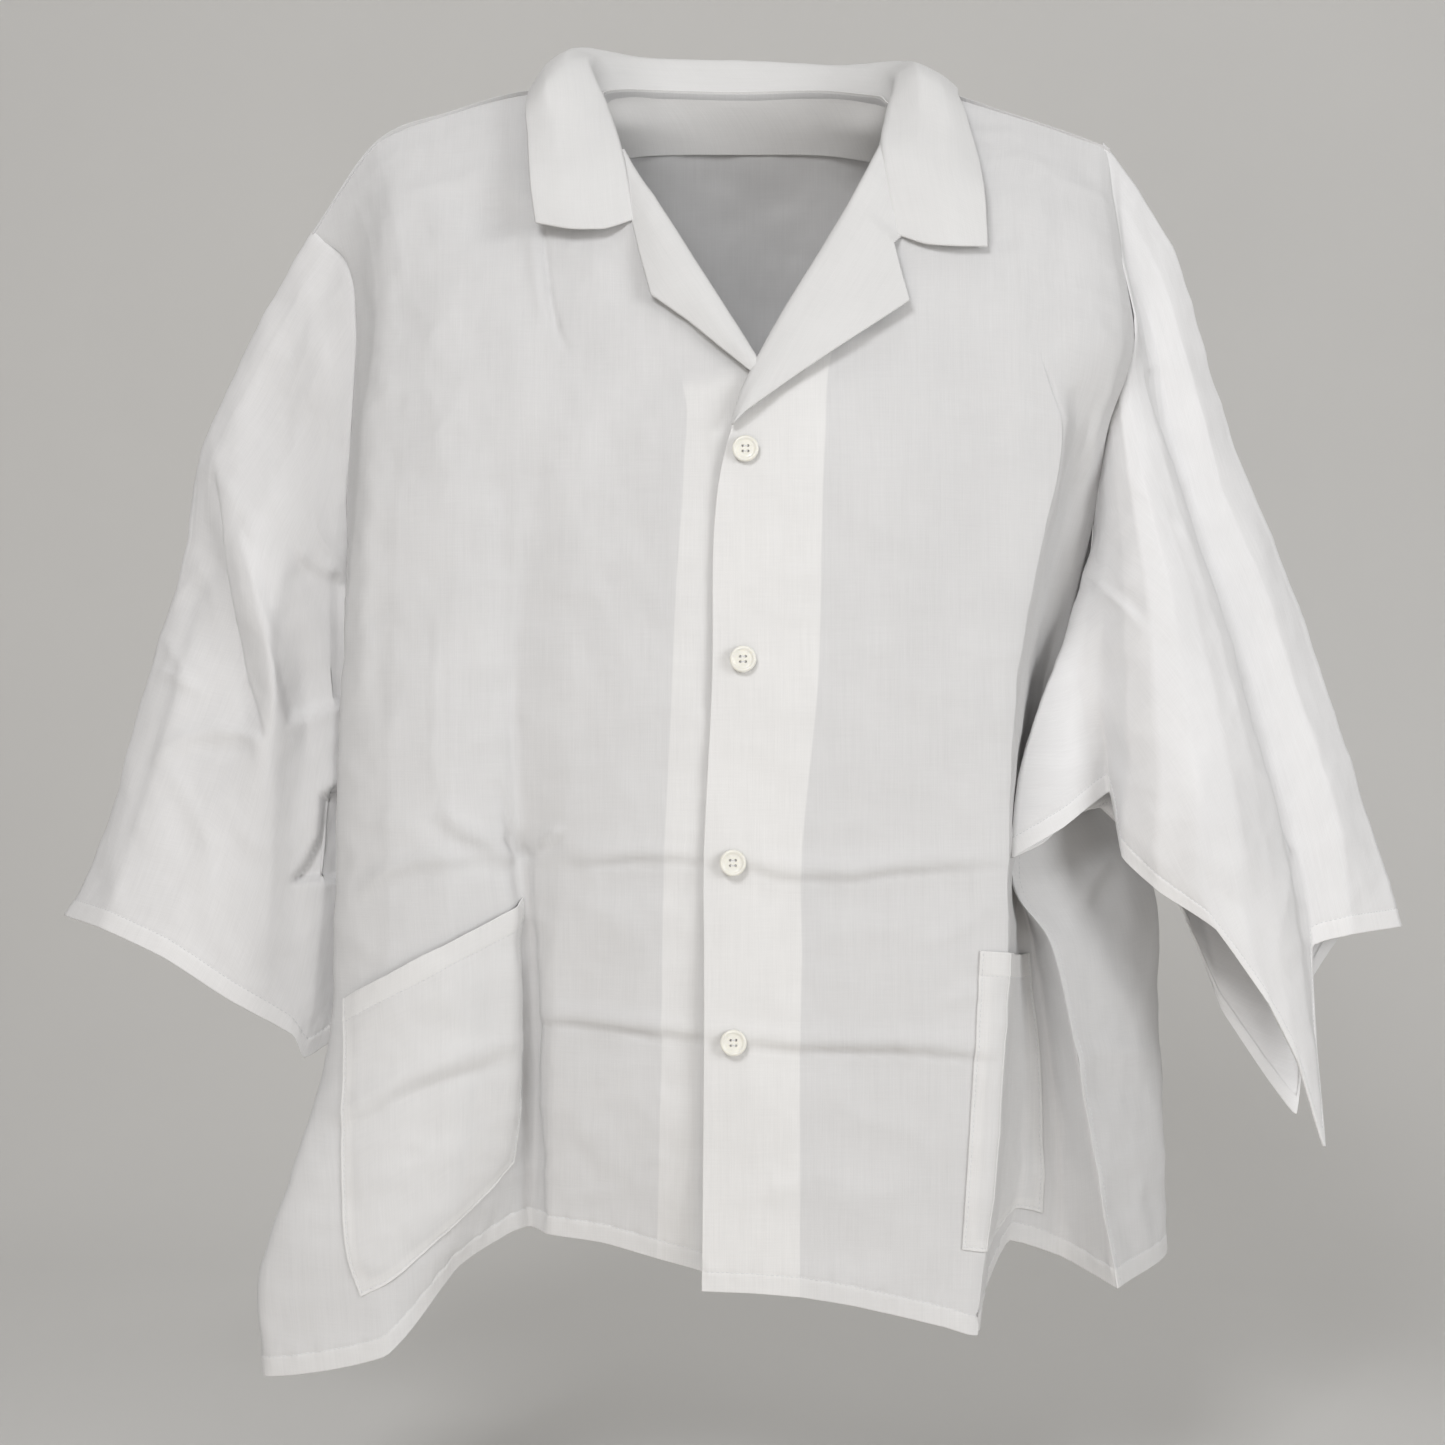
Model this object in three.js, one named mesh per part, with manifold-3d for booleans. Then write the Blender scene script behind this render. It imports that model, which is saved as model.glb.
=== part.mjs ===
// Short white work coat, laid out as it hangs: +X towards the wearer's left, -Y to the front,
// +Z up, in millimetres. The origin is on the flat inner face of the back neck facing, 14 mm
// below its top edge. Every cloth piece is a thin closed sheet that follows a control net.
// Places on a net are given in cells: u counts along its columns, v along its rows.
import * as THREE from 'three';
import { mergeVertices } from 'three/addons/utils/BufferGeometryUtils.js';
import Module from 'manifold-3d';

const wasm = await Module();
wasm.setup();

// ---- driving dimensions (mm) ----
const CLOTH = 1.0;               // body cloth thickness
const COLLAR_CLOTH = 0.8;        // collar and neck facing thickness
const INTERLINING_CLOTH = 0.4;
const INTERLINING_DEPTH = 1.15;  // interlining behind the front
const FACING_DEPTH = 2.3;        // facing behind the front
const POCKET_PROUD = 3.2;        // right patch pocket in front of the front
const BUTTON_RADIUS = 8.0;
const BUTTON_THICKNESS = 3.0;
const BUTTON_PROUD = 2.4;        // back of a button in front of the left front
const PASSAGE_RADIUS = 9.6;      // clearance for a button passing through the closing
const BUTTONS = [[2.2, -237.0], [0.7, -363.3], [-5.3, -485.3], [-5.0, -593.5]];  // x, z of each

const COLOUR = {
  body: 0xd9dbe0,
  front: 0xdddfe4,
  facing: 0xe6e7ea,
  interlining: 0xeeeeee,
  collar: 0xe9eaee,
  underCollar: 0xe2e3e8,
  pocket: 0xe0e2e6,
  button: 0xe4e2d6,
  thread: 0xd8d6cc,
  buttonhole: 0xcfd0d2,
};

// ---- control nets: each point is x, y, z (mm) ----
// Fronts: rows run down the garment, columns from the closing outwards.
const NET_FRONT_RIGHT = [
  [[-90, -58.6, -2.9], [-99.6, -56.6, 0.8], [-112.6, -54.6, 3.2], [-128.7, -53.6, 4],
   [-151.2, -52.6, 0.4], [-167.3, -52.6, -3.5], [-189.7, -52.6, -10.5], [-212.2, -52.6, -18.2],
   [-234.8, -51.6, -28.9], [-255.5, -50.6, -57], [-276.4, -48.6, -86.2]],
  [[-70.1, -116.6, -71.4], [-80.1, -114.6, -74.2], [-92.7, -110.6, -75.3], [-109.7, -106.6, -75.8],
   [-130.5, -102.6, -75], [-145.7, -99.6, -74.5], [-169.6, -97.6, -77.2], [-195, -94.6, -81.1],
   [-217.7, -88.6, -85], [-235.9, -78.6, -92.7], [-252, -62.6, -107.2]],
  [[-31.4, -142.6, -121.5], [-46.7, -140.6, -127.9], [-62, -138.6, -133.7], [-86.6, -135.6, -137.5],
   [-111.4, -130.6, -139.2], [-126.9, -128.6, -140.1], [-150.4, -126.6, -141.1],
   [-179.8, -121.6, -142.8], [-206.8, -112.6, -145.2], [-227.5, -100.6, -147.2],
   [-244.3, -72.6, -148.8]],
  [[9.3, -156.6, -181.9], [-11.9, -157.6, -191.1], [-35.5, -156.6, -197], [-66.4, -153.6, -200.9],
   [-98.1, -150.6, -203], [-117.8, -146.6, -203.7], [-141, -145.6, -204.8],
   [-170.7, -140.6, -205.5], [-205.4, -130.6, -206.8], [-232.6, -114.6, -207.5],
   [-247.1, -70.6, -209]],
  [[20.7, -163.6, -240], [-8.2, -164.6, -244.4], [-34.7, -164.6, -249.2], [-64.3, -161.6, -251.9],
   [-97.7, -157.6, -254.6], [-123.5, -151.6, -255.3], [-140.5, -151.6, -256.5],
   [-171.2, -148.6, -258.7], [-208.8, -138.6, -260.3], [-236.8, -120.6, -261.3],
   [-251.1, -64.6, -259.3]],
  [[20.1, -165.6, -315.5], [-10, -167.6, -318.6], [-39.5, -168.6, -321.6], [-67.2, -166.6, -322.8],
   [-100.6, -160.6, -324.3], [-132.1, -150.6, -325], [-142.9, -152.6, -325.7],
   [-173.8, -152.6, -328.2], [-211.4, -142.6, -330.2], [-243.9, -122.6, -331.8],
   [-249.7, -50.6, -322.5]],
  [[18.8, -166.6, -399.8], [-11.9, -168.6, -402.8], [-43.1, -168.6, -405.8], [-72, -166.6, -407],
   [-103.7, -159.6, -408.8], [-135.3, -148.6, -410.7], [-144.7, -152.6, -411.9],
   [-176.5, -156.6, -416.7], [-213.7, -148.6, -422.8], [-248, -124.6, -429.3],
   [-244.2, -43.6, -428.7]],
  [[17.1, -164.6, -478.1], [-15.5, -166.6, -479.2], [-46.8, -165.6, -481.6], [-76.4, -161.6, -483],
   [-108.9, -152.6, -484.7], [-134.8, -138.6, -487.2], [-143.8, -148.6, -489.7],
   [-176.3, -158.6, -501.3], [-214.5, -152.6, -515], [-249.9, -128.6, -528.9],
   [-246.8, -43.6, -519]],
  [[15.9, -160.6, -544.6], [-19.1, -162.6, -545.7], [-48.1, -160.6, -547.1],
   [-78.5, -154.6, -548.8], [-113.1, -143.6, -551], [-132.4, -128.6, -553.5],
   [-139.4, -142.6, -555.3], [-173.2, -158.6, -569], [-212.8, -156.6, -587.3],
   [-253.7, -136.6, -603], [-251.3, -48.6, -586.3]],
  [[14.8, -156.6, -611.6], [-21.5, -157.6, -611.4], [-48.8, -154.6, -611.8], [-80, -146.6, -612.8],
   [-116.1, -134.6, -615.5], [-131.4, -116.6, -618.4], [-138.3, -132.6, -619.4],
   [-172.8, -156.6, -634.5], [-217.1, -160.6, -654.5], [-271.5, -144.6, -667.9],
   [-262.8, -58.6, -649.3]],
  [[13.7, -150.6, -679.1], [-24, -150.6, -677.9], [-50.2, -144.6, -675.2], [-82.9, -136.6, -672.2],
   [-118.5, -124.6, -669.8], [-131.3, -108.6, -670.4], [-140.2, -122.6, -672.5],
   [-172.8, -150.6, -698.5], [-222, -160.6, -727], [-293.4, -144.6, -738], [-277, -70.6, -711.2]],
  [[13.2, -142.6, -748.1], [-25.3, -138.6, -736.1], [-51.7, -132.6, -729.9],
   [-85.8, -124.6, -721.5], [-119.1, -114.6, -718.4], [-132, -98.6, -716.3],
   [-144.9, -110.6, -718.5], [-173.9, -132.6, -734.8], [-215.2, -156.6, -784.6],
   [-291.6, -140.6, -800.4], [-281.8, -80.6, -772.7]],
];
const NET_FRONT_LEFT = [
  [[97.6, -58.6, -8], [105.4, -56.6, -2.4], [116.4, -54.6, 1.2], [131.2, -53.6, 1.5],
   [150.6, -52.6, -3.5], [169.9, -52.6, -9.2], [189.2, -51.6, -14.8], [205.3, -51.6, -20.6],
   [219.6, -50.6, -25.5], [229.8, -50.6, -28.7], [237.8, -48.6, -32.8]],
  [[86, -116.6, -64], [96.7, -114.6, -66.1], [110, -110.6, -67.8], [126.9, -108.6, -69.9],
   [148.9, -106.6, -72], [169.2, -102.6, -72.5], [187.1, -98.6, -72.4], [203.5, -92.6, -71.3],
   [217.1, -84.6, -69.2], [229.3, -73.6, -65.8], [238.1, -60.6, -60.8]],
  [[49.2, -142.6, -121.5], [63.2, -141.6, -122.6], [79.8, -139.6, -123.5], [103.2, -136.6, -124.2],
   [131.2, -131.6, -124.6], [159.4, -125.6, -124.3], [184.8, -119.6, -122.7],
   [205.4, -112.6, -119.1], [221.6, -102.6, -113.7], [233.9, -90.6, -108], [241.9, -74.6, -101.5]],
  [[12.9, -158.6, -177.3], [32.3, -157.6, -177.2], [54.8, -155.6, -176.9], [84, -152.6, -176.5],
   [117.8, -146.6, -175.7], [151.9, -139.6, -174.2], [183.2, -133.6, -172.8],
   [205.9, -128.6, -171.5], [223, -120.6, -169.8], [237, -108.6, -167.6], [247.4, -88.6, -163.7]],
  [[-8.2, -168.6, -231.5], [20, -168.6, -231.5], [50.1, -166.6, -231.3], [80.4, -162.6, -230.9],
   [114, -156.6, -230.3], [147.9, -150.6, -228.5], [196.3, -136.6, -224.6],
   [206.4, -114.6, -222.4], [215.1, -104.6, -220.7], [223.2, -100.6, -219.7],
   [231.9, -82.6, -216.6]],
  [[-16.6, -171.6, -285.8], [13.9, -172.6, -285.9], [48.1, -171.6, -285.8], [78.3, -168.6, -285.6],
   [113.5, -163.6, -285.2], [147.3, -156.6, -284.8], [184.4, -144.6, -283.9],
   [194.1, -103.6, -281.1], [203.1, -80.6, -279.6], [215.7, -70.6, -276.3],
   [226.5, -56.6, -272.2]],
  [[-17.8, -172.6, -375.8], [13.9, -174.6, -375.8], [45.6, -174.6, -375.8], [75.7, -171.6, -375.8],
   [110.3, -166.6, -375.7], [140.8, -161.6, -375.6], [167, -153.6, -375.5],
   [175.2, -110.6, -376.1], [184.2, -68.6, -376.8], [192.9, -58.6, -379.2],
   [198.6, -64.6, -381.8]],
  [[-22.7, -170.6, -477.8], [6.1, -171.6, -477.7], [36.2, -170.6, -477.8], [68.1, -168.6, -477.9],
   [104.3, -165.6, -478], [134.7, -162.6, -478.1], [161.2, -156.6, -478.4],
   [166.3, -118.6, -481.4], [174.4, -76.6, -485.8], [177.8, -68.6, -488.8], [169, -92.6, -491.4]],
  [[-22.7, -168.6, -538], [6.2, -169.6, -537.9], [36.2, -168.6, -538], [68.2, -166.6, -538.1],
   [102.6, -164.6, -538.3], [132.9, -162.6, -538.4], [161.2, -156.6, -538.9],
   [166.3, -118.6, -543.2], [176.5, -68.6, -548.6], [188.4, -58.6, -548.1],
   [195.3, -92.6, -541.6]],
  [[-22.7, -166.6, -598.3], [6.2, -166.6, -598.3], [35.1, -165.6, -599.6], [66.5, -163.6, -601],
   [100.4, -161.6, -602.5], [130.7, -159.6, -603.9], [157.2, -154.6, -605.7],
   [163.6, -114.6, -610.5], [179.3, -66.6, -615], [198, -58.6, -614.7], [211, -92.6, -610]],
  [[-23.3, -160.6, -671.4], [6.3, -160.6, -672.6], [35.3, -159.6, -674], [65.6, -157.6, -675.5],
   [98.4, -155.6, -678.3], [127.6, -153.6, -681], [151.6, -149.6, -682.9],
   [159.7, -110.6, -685.6], [178.2, -64.6, -684.2], [204.7, -56.6, -686.7], [224.2, -92.6, -686]],
  [[-24, -154.6, -745.7], [6.3, -154.6, -746.9], [35.4, -153.6, -749.5], [65.8, -152.6, -754.6],
   [96.2, -150.6, -761.7], [123.7, -148.6, -768.8], [143.5, -144.6, -774.5],
   [151.3, -106.6, -754.8], [170.8, -62.6, -731.7], [206.2, -54.6, -743.5],
   [237.1, -90.6, -756.7]],
];
// Back: rows run down, columns from the wearer's right to the left.
const NET_BACK = [
  [[-276, -42.6, -89.7], [-235.7, -44.6, -32], [-187.3, -44.6, -10.7], [-135.7, -44.6, 2.8],
   [-93.8, -44.6, 1.5], [-55.8, -16.6, 11.7], [0, -0.6, 12.6], [55.6, -16.6, 11.7],
   [95.2, -44.6, -1.1], [132, -44.6, 0.2], [170.7, -44.6, -10.7], [212.6, -44.6, -23.6],
   [236.7, -42.6, -34.2]],
  [[-258, -22.6, -104.6], [-231.4, 1.4, -82.2], [-192.9, 13.4, -63.5], [-140.2, 21.4, -52],
   [-97, 25.4, -47.9], [-56.9, 29.4, -45.1], [0.2, 31.4, -43.4], [57.3, 29.4, -45.1],
   [99.3, 25.4, -47.9], [137.2, 21.4, -52], [176.7, 15.4, -58.4], [215.2, 3.4, -69.9],
   [244.4, -10.6, -90.8]],
  [[-248.8, -2.6, -145.5], [-227.6, 25.4, -135], [-188.3, 35.4, -123.5], [-141.5, 39.4, -116.1],
   [-97.7, 41.4, -113.1], [-57.2, 42.4, -111.6], [0.3, 43.4, -110.1], [57.7, 42.4, -111.6],
   [100.3, 41.4, -113.1], [138.6, 39.4, -116.1], [178.8, 36.4, -122], [218.1, 27.4, -131.4],
   [242.1, 1.4, -141.7]],
  [[-246, 1.4, -201.2], [-224.9, 31.4, -198], [-188.7, 39.4, -193.7], [-141.7, 43.4, -189.9],
   [-97.8, 44.4, -188.5], [-57.2, 44.4, -187.1], [0.3, 44.4, -186.4], [57.8, 44.4, -187.1],
   [100.4, 44.4, -188.5], [138.9, 43.4, -189.9], [179.2, 40.4, -193], [220.9, 33.4, -197.8],
   [236, -4.6, -201.9]],
  [[-245.8, -10.6, -255.1], [-227.6, 25.4, -257.6], [-192, 38.4, -259.3], [-141.7, 43.4, -258.9],
   [-97.8, 44.4, -257.5], [-57.2, 44.4, -257.5], [0.3, 44.4, -256.1], [57.8, 44.4, -257.5],
   [100.4, 44.4, -257.5], [138.9, 43.4, -258.9], [182.7, 41.4, -260.4], [225.2, 25.4, -260.3],
   [231.5, -18.6, -242.6]],
  [[-249.7, -50.6, -322.5], [-230.1, 1.4, -326.9], [-194.9, 33.4, -332.3], [-141.7, 42.4, -332],
   [-97.8, 43.4, -330.6], [-57.2, 43.4, -329.2], [0.3, 43.4, -328.6], [57.8, 43.4, -329.2],
   [100.4, 43.4, -330.6], [145.6, 42.4, -332], [195.6, 36.4, -333.5], [227.7, 13.4, -327.7],
   [223.9, -46.6, -296.6]],
  [[-244.2, -43.6, -428.7], [-225.1, 3.4, -432.7], [-191.5, 33.4, -436.6], [-141.6, 41.4, -436.7],
   [-97.7, 42.4, -434.7], [-57.2, 42.4, -433.4], [0.3, 42.4, -433.4], [57.7, 42.4, -433.4],
   [101.7, 42.4, -434.7], [152.2, 40.4, -436.7], [209, 35.4, -437.3], [240.3, 17.4, -429.6],
   [198.6, -64.6, -381.8]],
  [[-246.8, -43.6, -519], [-226.4, 3.4, -528.7], [-193.3, 31.4, -534], [-141.5, 40.4, -534.6],
   [-97.7, 41.4, -533.3], [-57.2, 41.4, -532], [0.3, 41.4, -531.3], [57.7, 41.4, -532],
   [105, 41.4, -533.3], [158.8, 38.4, -534.5], [226.3, 33.4, -535.5], [273.4, 7.4, -511.1],
   [170.2, -92.6, -491.4]],
  [[-251.3, -48.6, -586.3], [-231.4, 1.4, -594.7], [-195.8, 29.4, -599.6], [-141.5, 39.4, -598.7],
   [-97.6, 40.4, -596.7], [-57.1, 40.4, -595.4], [0.3, 40.4, -595.4], [57.7, 40.4, -595.4],
   [106.9, 40.4, -596.7], [162, 37.4, -598.4], [232, 31.4, -594.5], [276.1, 3.4, -575],
   [195.3, -92.6, -541.6]],
  [[-262.8, -58.6, -649.3], [-238.8, -3.6, -655.5], [-201, 27.4, -657.8], [-144.8, 38.4, -654.5],
   [-97.6, 39.4, -650.6], [-57.1, 39.4, -649.3], [0.3, 39.4, -649.3], [57.6, 39.4, -649.3],
   [108.2, 39.4, -650.6], [165.3, 36.4, -652.2], [234.1, 31.4, -648.2], [278.8, 3.4, -637.9],
   [211, -92.6, -610]],
  [[-277, -70.6, -711.2], [-248.4, -10.6, -705.2], [-207.5, 25.4, -697.7], [-148.1, 37.4, -690.8],
   [-97.5, 38.4, -686.9], [-57.1, 38.4, -685.6], [0.3, 38.4, -685.6], [57.6, 38.4, -685.6],
   [109.5, 38.4, -686.9], [168.6, 35.4, -689.1], [236.8, 31.4, -695.3], [281.4, 3.4, -700.8],
   [224.2, -92.6, -686]],
  [[-281.8, -80.6, -772.7], [-253.9, -18.6, -749.6], [-211.3, 23.4, -735.5],
   [-151.4, 36.4, -725.7], [-97.5, 37.4, -721.8], [-57.1, 37.4, -720.5], [0.2, 37.4, -720.5],
   [57.5, 37.4, -720.5], [111.5, 37.4, -721.8], [169.8, 34.4, -724], [239.4, 31.4, -732.2],
   [281.8, 1.4, -748.8], [237.1, -90.6, -756.7]],
];
// Sleeves: rows run down the arm, columns run round it and close on themselves.
const NET_SLEEVE_RIGHT = [
  [[-276.4, -48.6, -86.2], [-265.9, -54.6, -95], [-255.7, -58.6, -102.7], [-247.2, -69.6, -126.2],
   [-244.2, -73.6, -161.7], [-247, -71.6, -209.1], [-251.2, -63.6, -259.3], [-252.8, -46.6, -299.8],
   [-247.9, -14.6, -258.7], [-245.7, -0.6, -198.1], [-249.4, -2.6, -145.5], [-258.5, -18.6, -106.5],
   [-269, -32.6, -91.9]],
  [[-303.7, -34.6, -126], [-291.2, -48.6, -135.8], [-279.3, -54.6, -146.3], [-266.7, -66.6, -163.9],
   [-255.7, -72.6, -193.3], [-252.2, -70.6, -228], [-251.3, -62.6, -278.3], [-250.8, -42.6, -315.7],
   [-250.5, -14.6, -281.6], [-256.6, 1.4, -224.4], [-268.4, 5.4, -177.6], [-284.1, -0.6, -142],
   [-296.4, -14.6, -127.5]],
  [[-327.5, -24.6, -171.4], [-316, -38.6, -182.9], [-301.5, -48.6, -196.9], [-282.9, -60.6, -214.3],
   [-265.2, -68.6, -234.2], [-255.8, -67.6, -259.6], [-251.6, -60.6, -300.6],
   [-248.2, -42.6, -338.3], [-254.2, -16.6, -311.2], [-267.5, -0.6, -267.5], [-286.6, 7.4, -227.1],
   [-305.1, 7.4, -190.6], [-319.7, -4.6, -174.2]],
  [[-353.8, -16.6, -228], [-346.2, -32.6, -238.6], [-330.7, -50.6, -258.2], [-307.5, -66.6, -272.2],
   [-280.1, -70.6, -285.2], [-260.4, -66.6, -304.1], [-251.2, -58.6, -335.7],
   [-247.2, -40.6, -373.8], [-259.1, -14.6, -353.7], [-277.7, 1.4, -316.9], [-302.4, 11.4, -283.2],
   [-326, 13.4, -253.2], [-344.2, 3.4, -232.8]],
  [[-365.7, -12.6, -294.6], [-349.2, -30.6, -298.9], [-327.1, -56.6, -321.5], [-307.5, -74.6, -321],
   [-281.1, -72.6, -331.1], [-260.4, -66.6, -351.9], [-251.5, -56.6, -380.4],
   [-247.4, -38.6, -419.1], [-261.3, -12.6, -402.9], [-281.3, 3.4, -373.1], [-307.4, 13.4, -346.3],
   [-334.6, 16.4, -322.9], [-354.9, 7.4, -303.4]],
  [[-383.5, -8.6, -354.9], [-361.7, -36.6, -362.1], [-314.6, -58.6, -381.7],
   [-295.4, -78.6, -376.9], [-277.5, -62.6, -386.9], [-259.4, -64.6, -406], [-251.1, -54.6, -428.5],
   [-246.1, -38.6, -464.4], [-262.9, -10.6, -452.2], [-286.3, 5.4, -432.7], [-316.4, 15.4, -409.6],
   [-347.1, 19.4, -386.2], [-370.9, 11.4, -363]],
  [[-407.2, -5.6, -435.8], [-383.3, -38.6, -441.1], [-336, -60.6, -450.8], [-304.3, -70.6, -455.6],
   [-280.7, -66.6, -463.4], [-262.9, -66.6, -476.1], [-252, -52.6, -489.6], [-246.4, -36.6, -516.2],
   [-264.5, -8.6, -511.4], [-291.9, 7.4, -499.1], [-326.7, 17.4, -483], [-360.8, 21.4, -463.1],
   [-392.6, 13.4, -444.9]],
  [[-428.7, -3.6, -499.9], [-402.3, -40.6, -505.7], [-358.8, -58.6, -520], [-320.3, -66.6, -538.6],
   [-288.4, -66.6, -562.1], [-271.5, -64.6, -568.7], [-255.5, -50.6, -553.9], [-249.2, -34.6, -552],
   [-268.7, -6.6, -567.5], [-298.8, 9.4, -565.6], [-336.4, 19.4, -543.2], [-375.9, 23.4, -523.4],
   [-411.7, 15.4, -507.5]],
  [[-445.2, -3.6, -528.2], [-412.6, -40.6, -534.1], [-368.4, -58.6, -552], [-325.3, -66.6, -578.1],
   [-285.7, -67.6, -599.6], [-278, -63.6, -614.7], [-259, -48.6, -602.4], [-252.1, -32.6, -587.9],
   [-272.6, -6.6, -610.3], [-301.5, 9.4, -604.2], [-341.7, 19.4, -581.2], [-385.3, 23.4, -552.2],
   [-423, 15.4, -534.2]],
];
const NET_SLEEVE_LEFT = [
  [[237.8, -48.6, -32.8], [238.1, -60.6, -60.8], [241.9, -74.6, -101.5], [244.9, -79.6, -118.2],
   [247.4, -84.6, -133.5], [249.6, -86.6, -146.4], [248.3, -86.6, -159], [244.2, -84.6, -173.9],
   [238.7, -83.6, -190.2], [233.3, -81.6, -208.9], [230.4, -74.6, -228.4], [228, -64.6, -251.7],
   [226.7, -54.6, -270.7], [229.5, -28.6, -250], [232, -14.6, -225.9], [235.1, -6.6, -198.8],
   [237.7, -1.6, -171.8], [240.1, 1.4, -145], [242.5, -0.6, -115.5], [243.1, -10.6, -87.5],
   [241.2, -28.6, -58]],
  [[278.7, -38.6, -91.6], [268.4, -50.6, -110.4], [262.6, -50.6, -142.5], [262, -54.6, -162.3],
   [259.5, -62.6, -171.1], [256.1, -72.6, -178.7], [251.1, -80.6, -187.3], [245.2, -86.6, -198.1],
   [239.9, -88.6, -210.9], [235.4, -84.6, -226.9], [231.4, -76.6, -246.3], [228.6, -64.6, -267],
   [225.2, -56.6, -285.6], [230.2, -28.6, -276], [234.8, -13.6, -261.9], [240.6, -4.6, -241.4],
   [248, 1.4, -221], [255.2, 5.4, -194.1], [264.1, 7.4, -160.8], [270.9, -0.6, -125.5],
   [276.3, -16.6, -99.7]],
  [[297.8, -32.6, -143.8], [290.3, -50.6, -174.7], [278.1, -54.6, -213.6], [276.4, -60.6, -224.5],
   [272.6, -72.6, -233.3], [266, -86.6, -237.1], [259.1, -94.6, -242.9], [251.9, -100.6, -250.9],
   [244.4, -100.6, -260.9], [237.8, -94.6, -273], [231.6, -84.6, -286.1], [225.6, -72.6, -298.1],
   [218.7, -62.6, -307.1], [230.7, -34.6, -308.8], [240.9, -16.6, -304.7], [251.8, -4.6, -290.8],
   [259.6, 3.4, -273.8], [272.1, 7.4, -247], [284.3, 9.4, -213.6], [293, 5.4, -180.9],
   [296.9, -10.6, -156.5]],
  [[325.3, -24.6, -228.1], [313.8, -48.6, -251.6], [302.7, -56.6, -284.3], [301, -62.6, -297.5],
   [296.1, -76.6, -307.8], [288.3, -92.6, -311.8], [278.8, -104.6, -316.1], [266.3, -112.6, -320.2],
   [252.6, -112.6, -325.2], [240.1, -104.6, -331.1], [228.3, -90.6, -338.1], [218, -82.6, -344.1],
   [205.5, -76.6, -347.7], [218.5, -48.6, -353.3], [235.9, -24.6, -357.2], [253.9, -8.6, -350.3],
   [268.5, 5.4, -340], [285.7, 9.4, -319.9], [302.6, 11.4, -293.2], [313.6, 9.4, -260.1],
   [321.7, -4.6, -238.1]],
  [[349.9, -18.6, -282.5], [339.9, -46.6, -315.9], [327.4, -54.6, -358], [326.3, -60.6, -374.1],
   [321.8, -74.6, -390.2], [311.8, -94.6, -394.7], [296.4, -110.6, -397.2], [276.4, -118.6, -398.5],
   [256.3, -116.6, -396], [239.8, -106.6, -391], [225, -86.6, -383.3], [207.6, -84.6, -388.3],
   [187.6, -94.6, -388.4], [204, -72.6, -400.9], [230.9, -42.6, -413.9], [255, -18.6, -416],
   [278.4, 5.4, -409.5], [302.3, 9.4, -396.3], [322.9, 13.4, -373], [336.2, 13.4, -333],
   [345.2, 1.4, -297.1]],
  [[379.3, -12.6, -360.2], [364.6, -42.6, -390], [346.6, -48.6, -435], [346.7, -54.6, -460.6],
   [345.4, -70.6, -482.3], [329.7, -92.6, -476.3], [309.7, -112.6, -468], [283.2, -122.6, -458.4],
   [259.1, -118.6, -446.1], [241.3, -104.6, -429.6], [231.2, -78.6, -413.6], [204.6, -88.6, -423.6],
   [173.6, -108.6, -427.7], [192, -88.6, -442.5], [227, -52.6, -451], [259.7, -22.6, -468.2],
   [291, 1.4, -479], [324.4, 3.4, -482.4], [346.8, 9.4, -459.4], [366.6, 15.4, -409.6],
   [375.6, 7.4, -379.7]],
  [[409.6, -6.6, -447.7], [388, -38.6, -470.8], [364.5, -36.6, -503.3], [364.8, -44.6, -551.2],
   [364.5, -64.6, -600.6], [339.7, -86.6, -552.2], [314.3, -104.6, -521.3], [283.3, -114.6, -498.9],
   [256.9, -112.6, -480.4], [238.8, -100.6, -457.2], [233.3, -72.6, -430.2], [201.6, -92.6, -446.8],
   [167.6, -118.6, -462.8], [187.6, -94.6, -466.2], [235.4, -56.6, -454.8], [282.2, -20.6, -512],
   [309.4, -14.6, -553.7], [358.9, -22.6, -608.5], [372.2, -2.6, -538.2], [396.1, 13.4, -486.1],
   [405.2, 9.4, -462.7]],
  [[436, -3.6, -535.5], [396.7, -34.6, -538.4], [371.2, -32.6, -546.4], [370.8, -46.6, -609],
   [373.2, -62.6, -674.3], [352.3, -80.6, -615.9], [330.6, -94.6, -577.2], [295.2, -106.6, -529.3],
   [261.3, -104.6, -507], [239.4, -96.6, -486.1], [235.1, -68.6, -444.9], [201.4, -94.6, -467.4],
   [166.1, -120.6, -485], [189.9, -96.6, -476.1], [236.1, -56.6, -439.4], [293.6, -18.6, -530.5],
   [315.6, -16.6, -589.6], [360.4, -34.6, -656.5], [372.7, -12.6, -573.6], [401.5, 7.4, -537.6],
   [424.7, 7.4, -533.6]],
];
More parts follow.
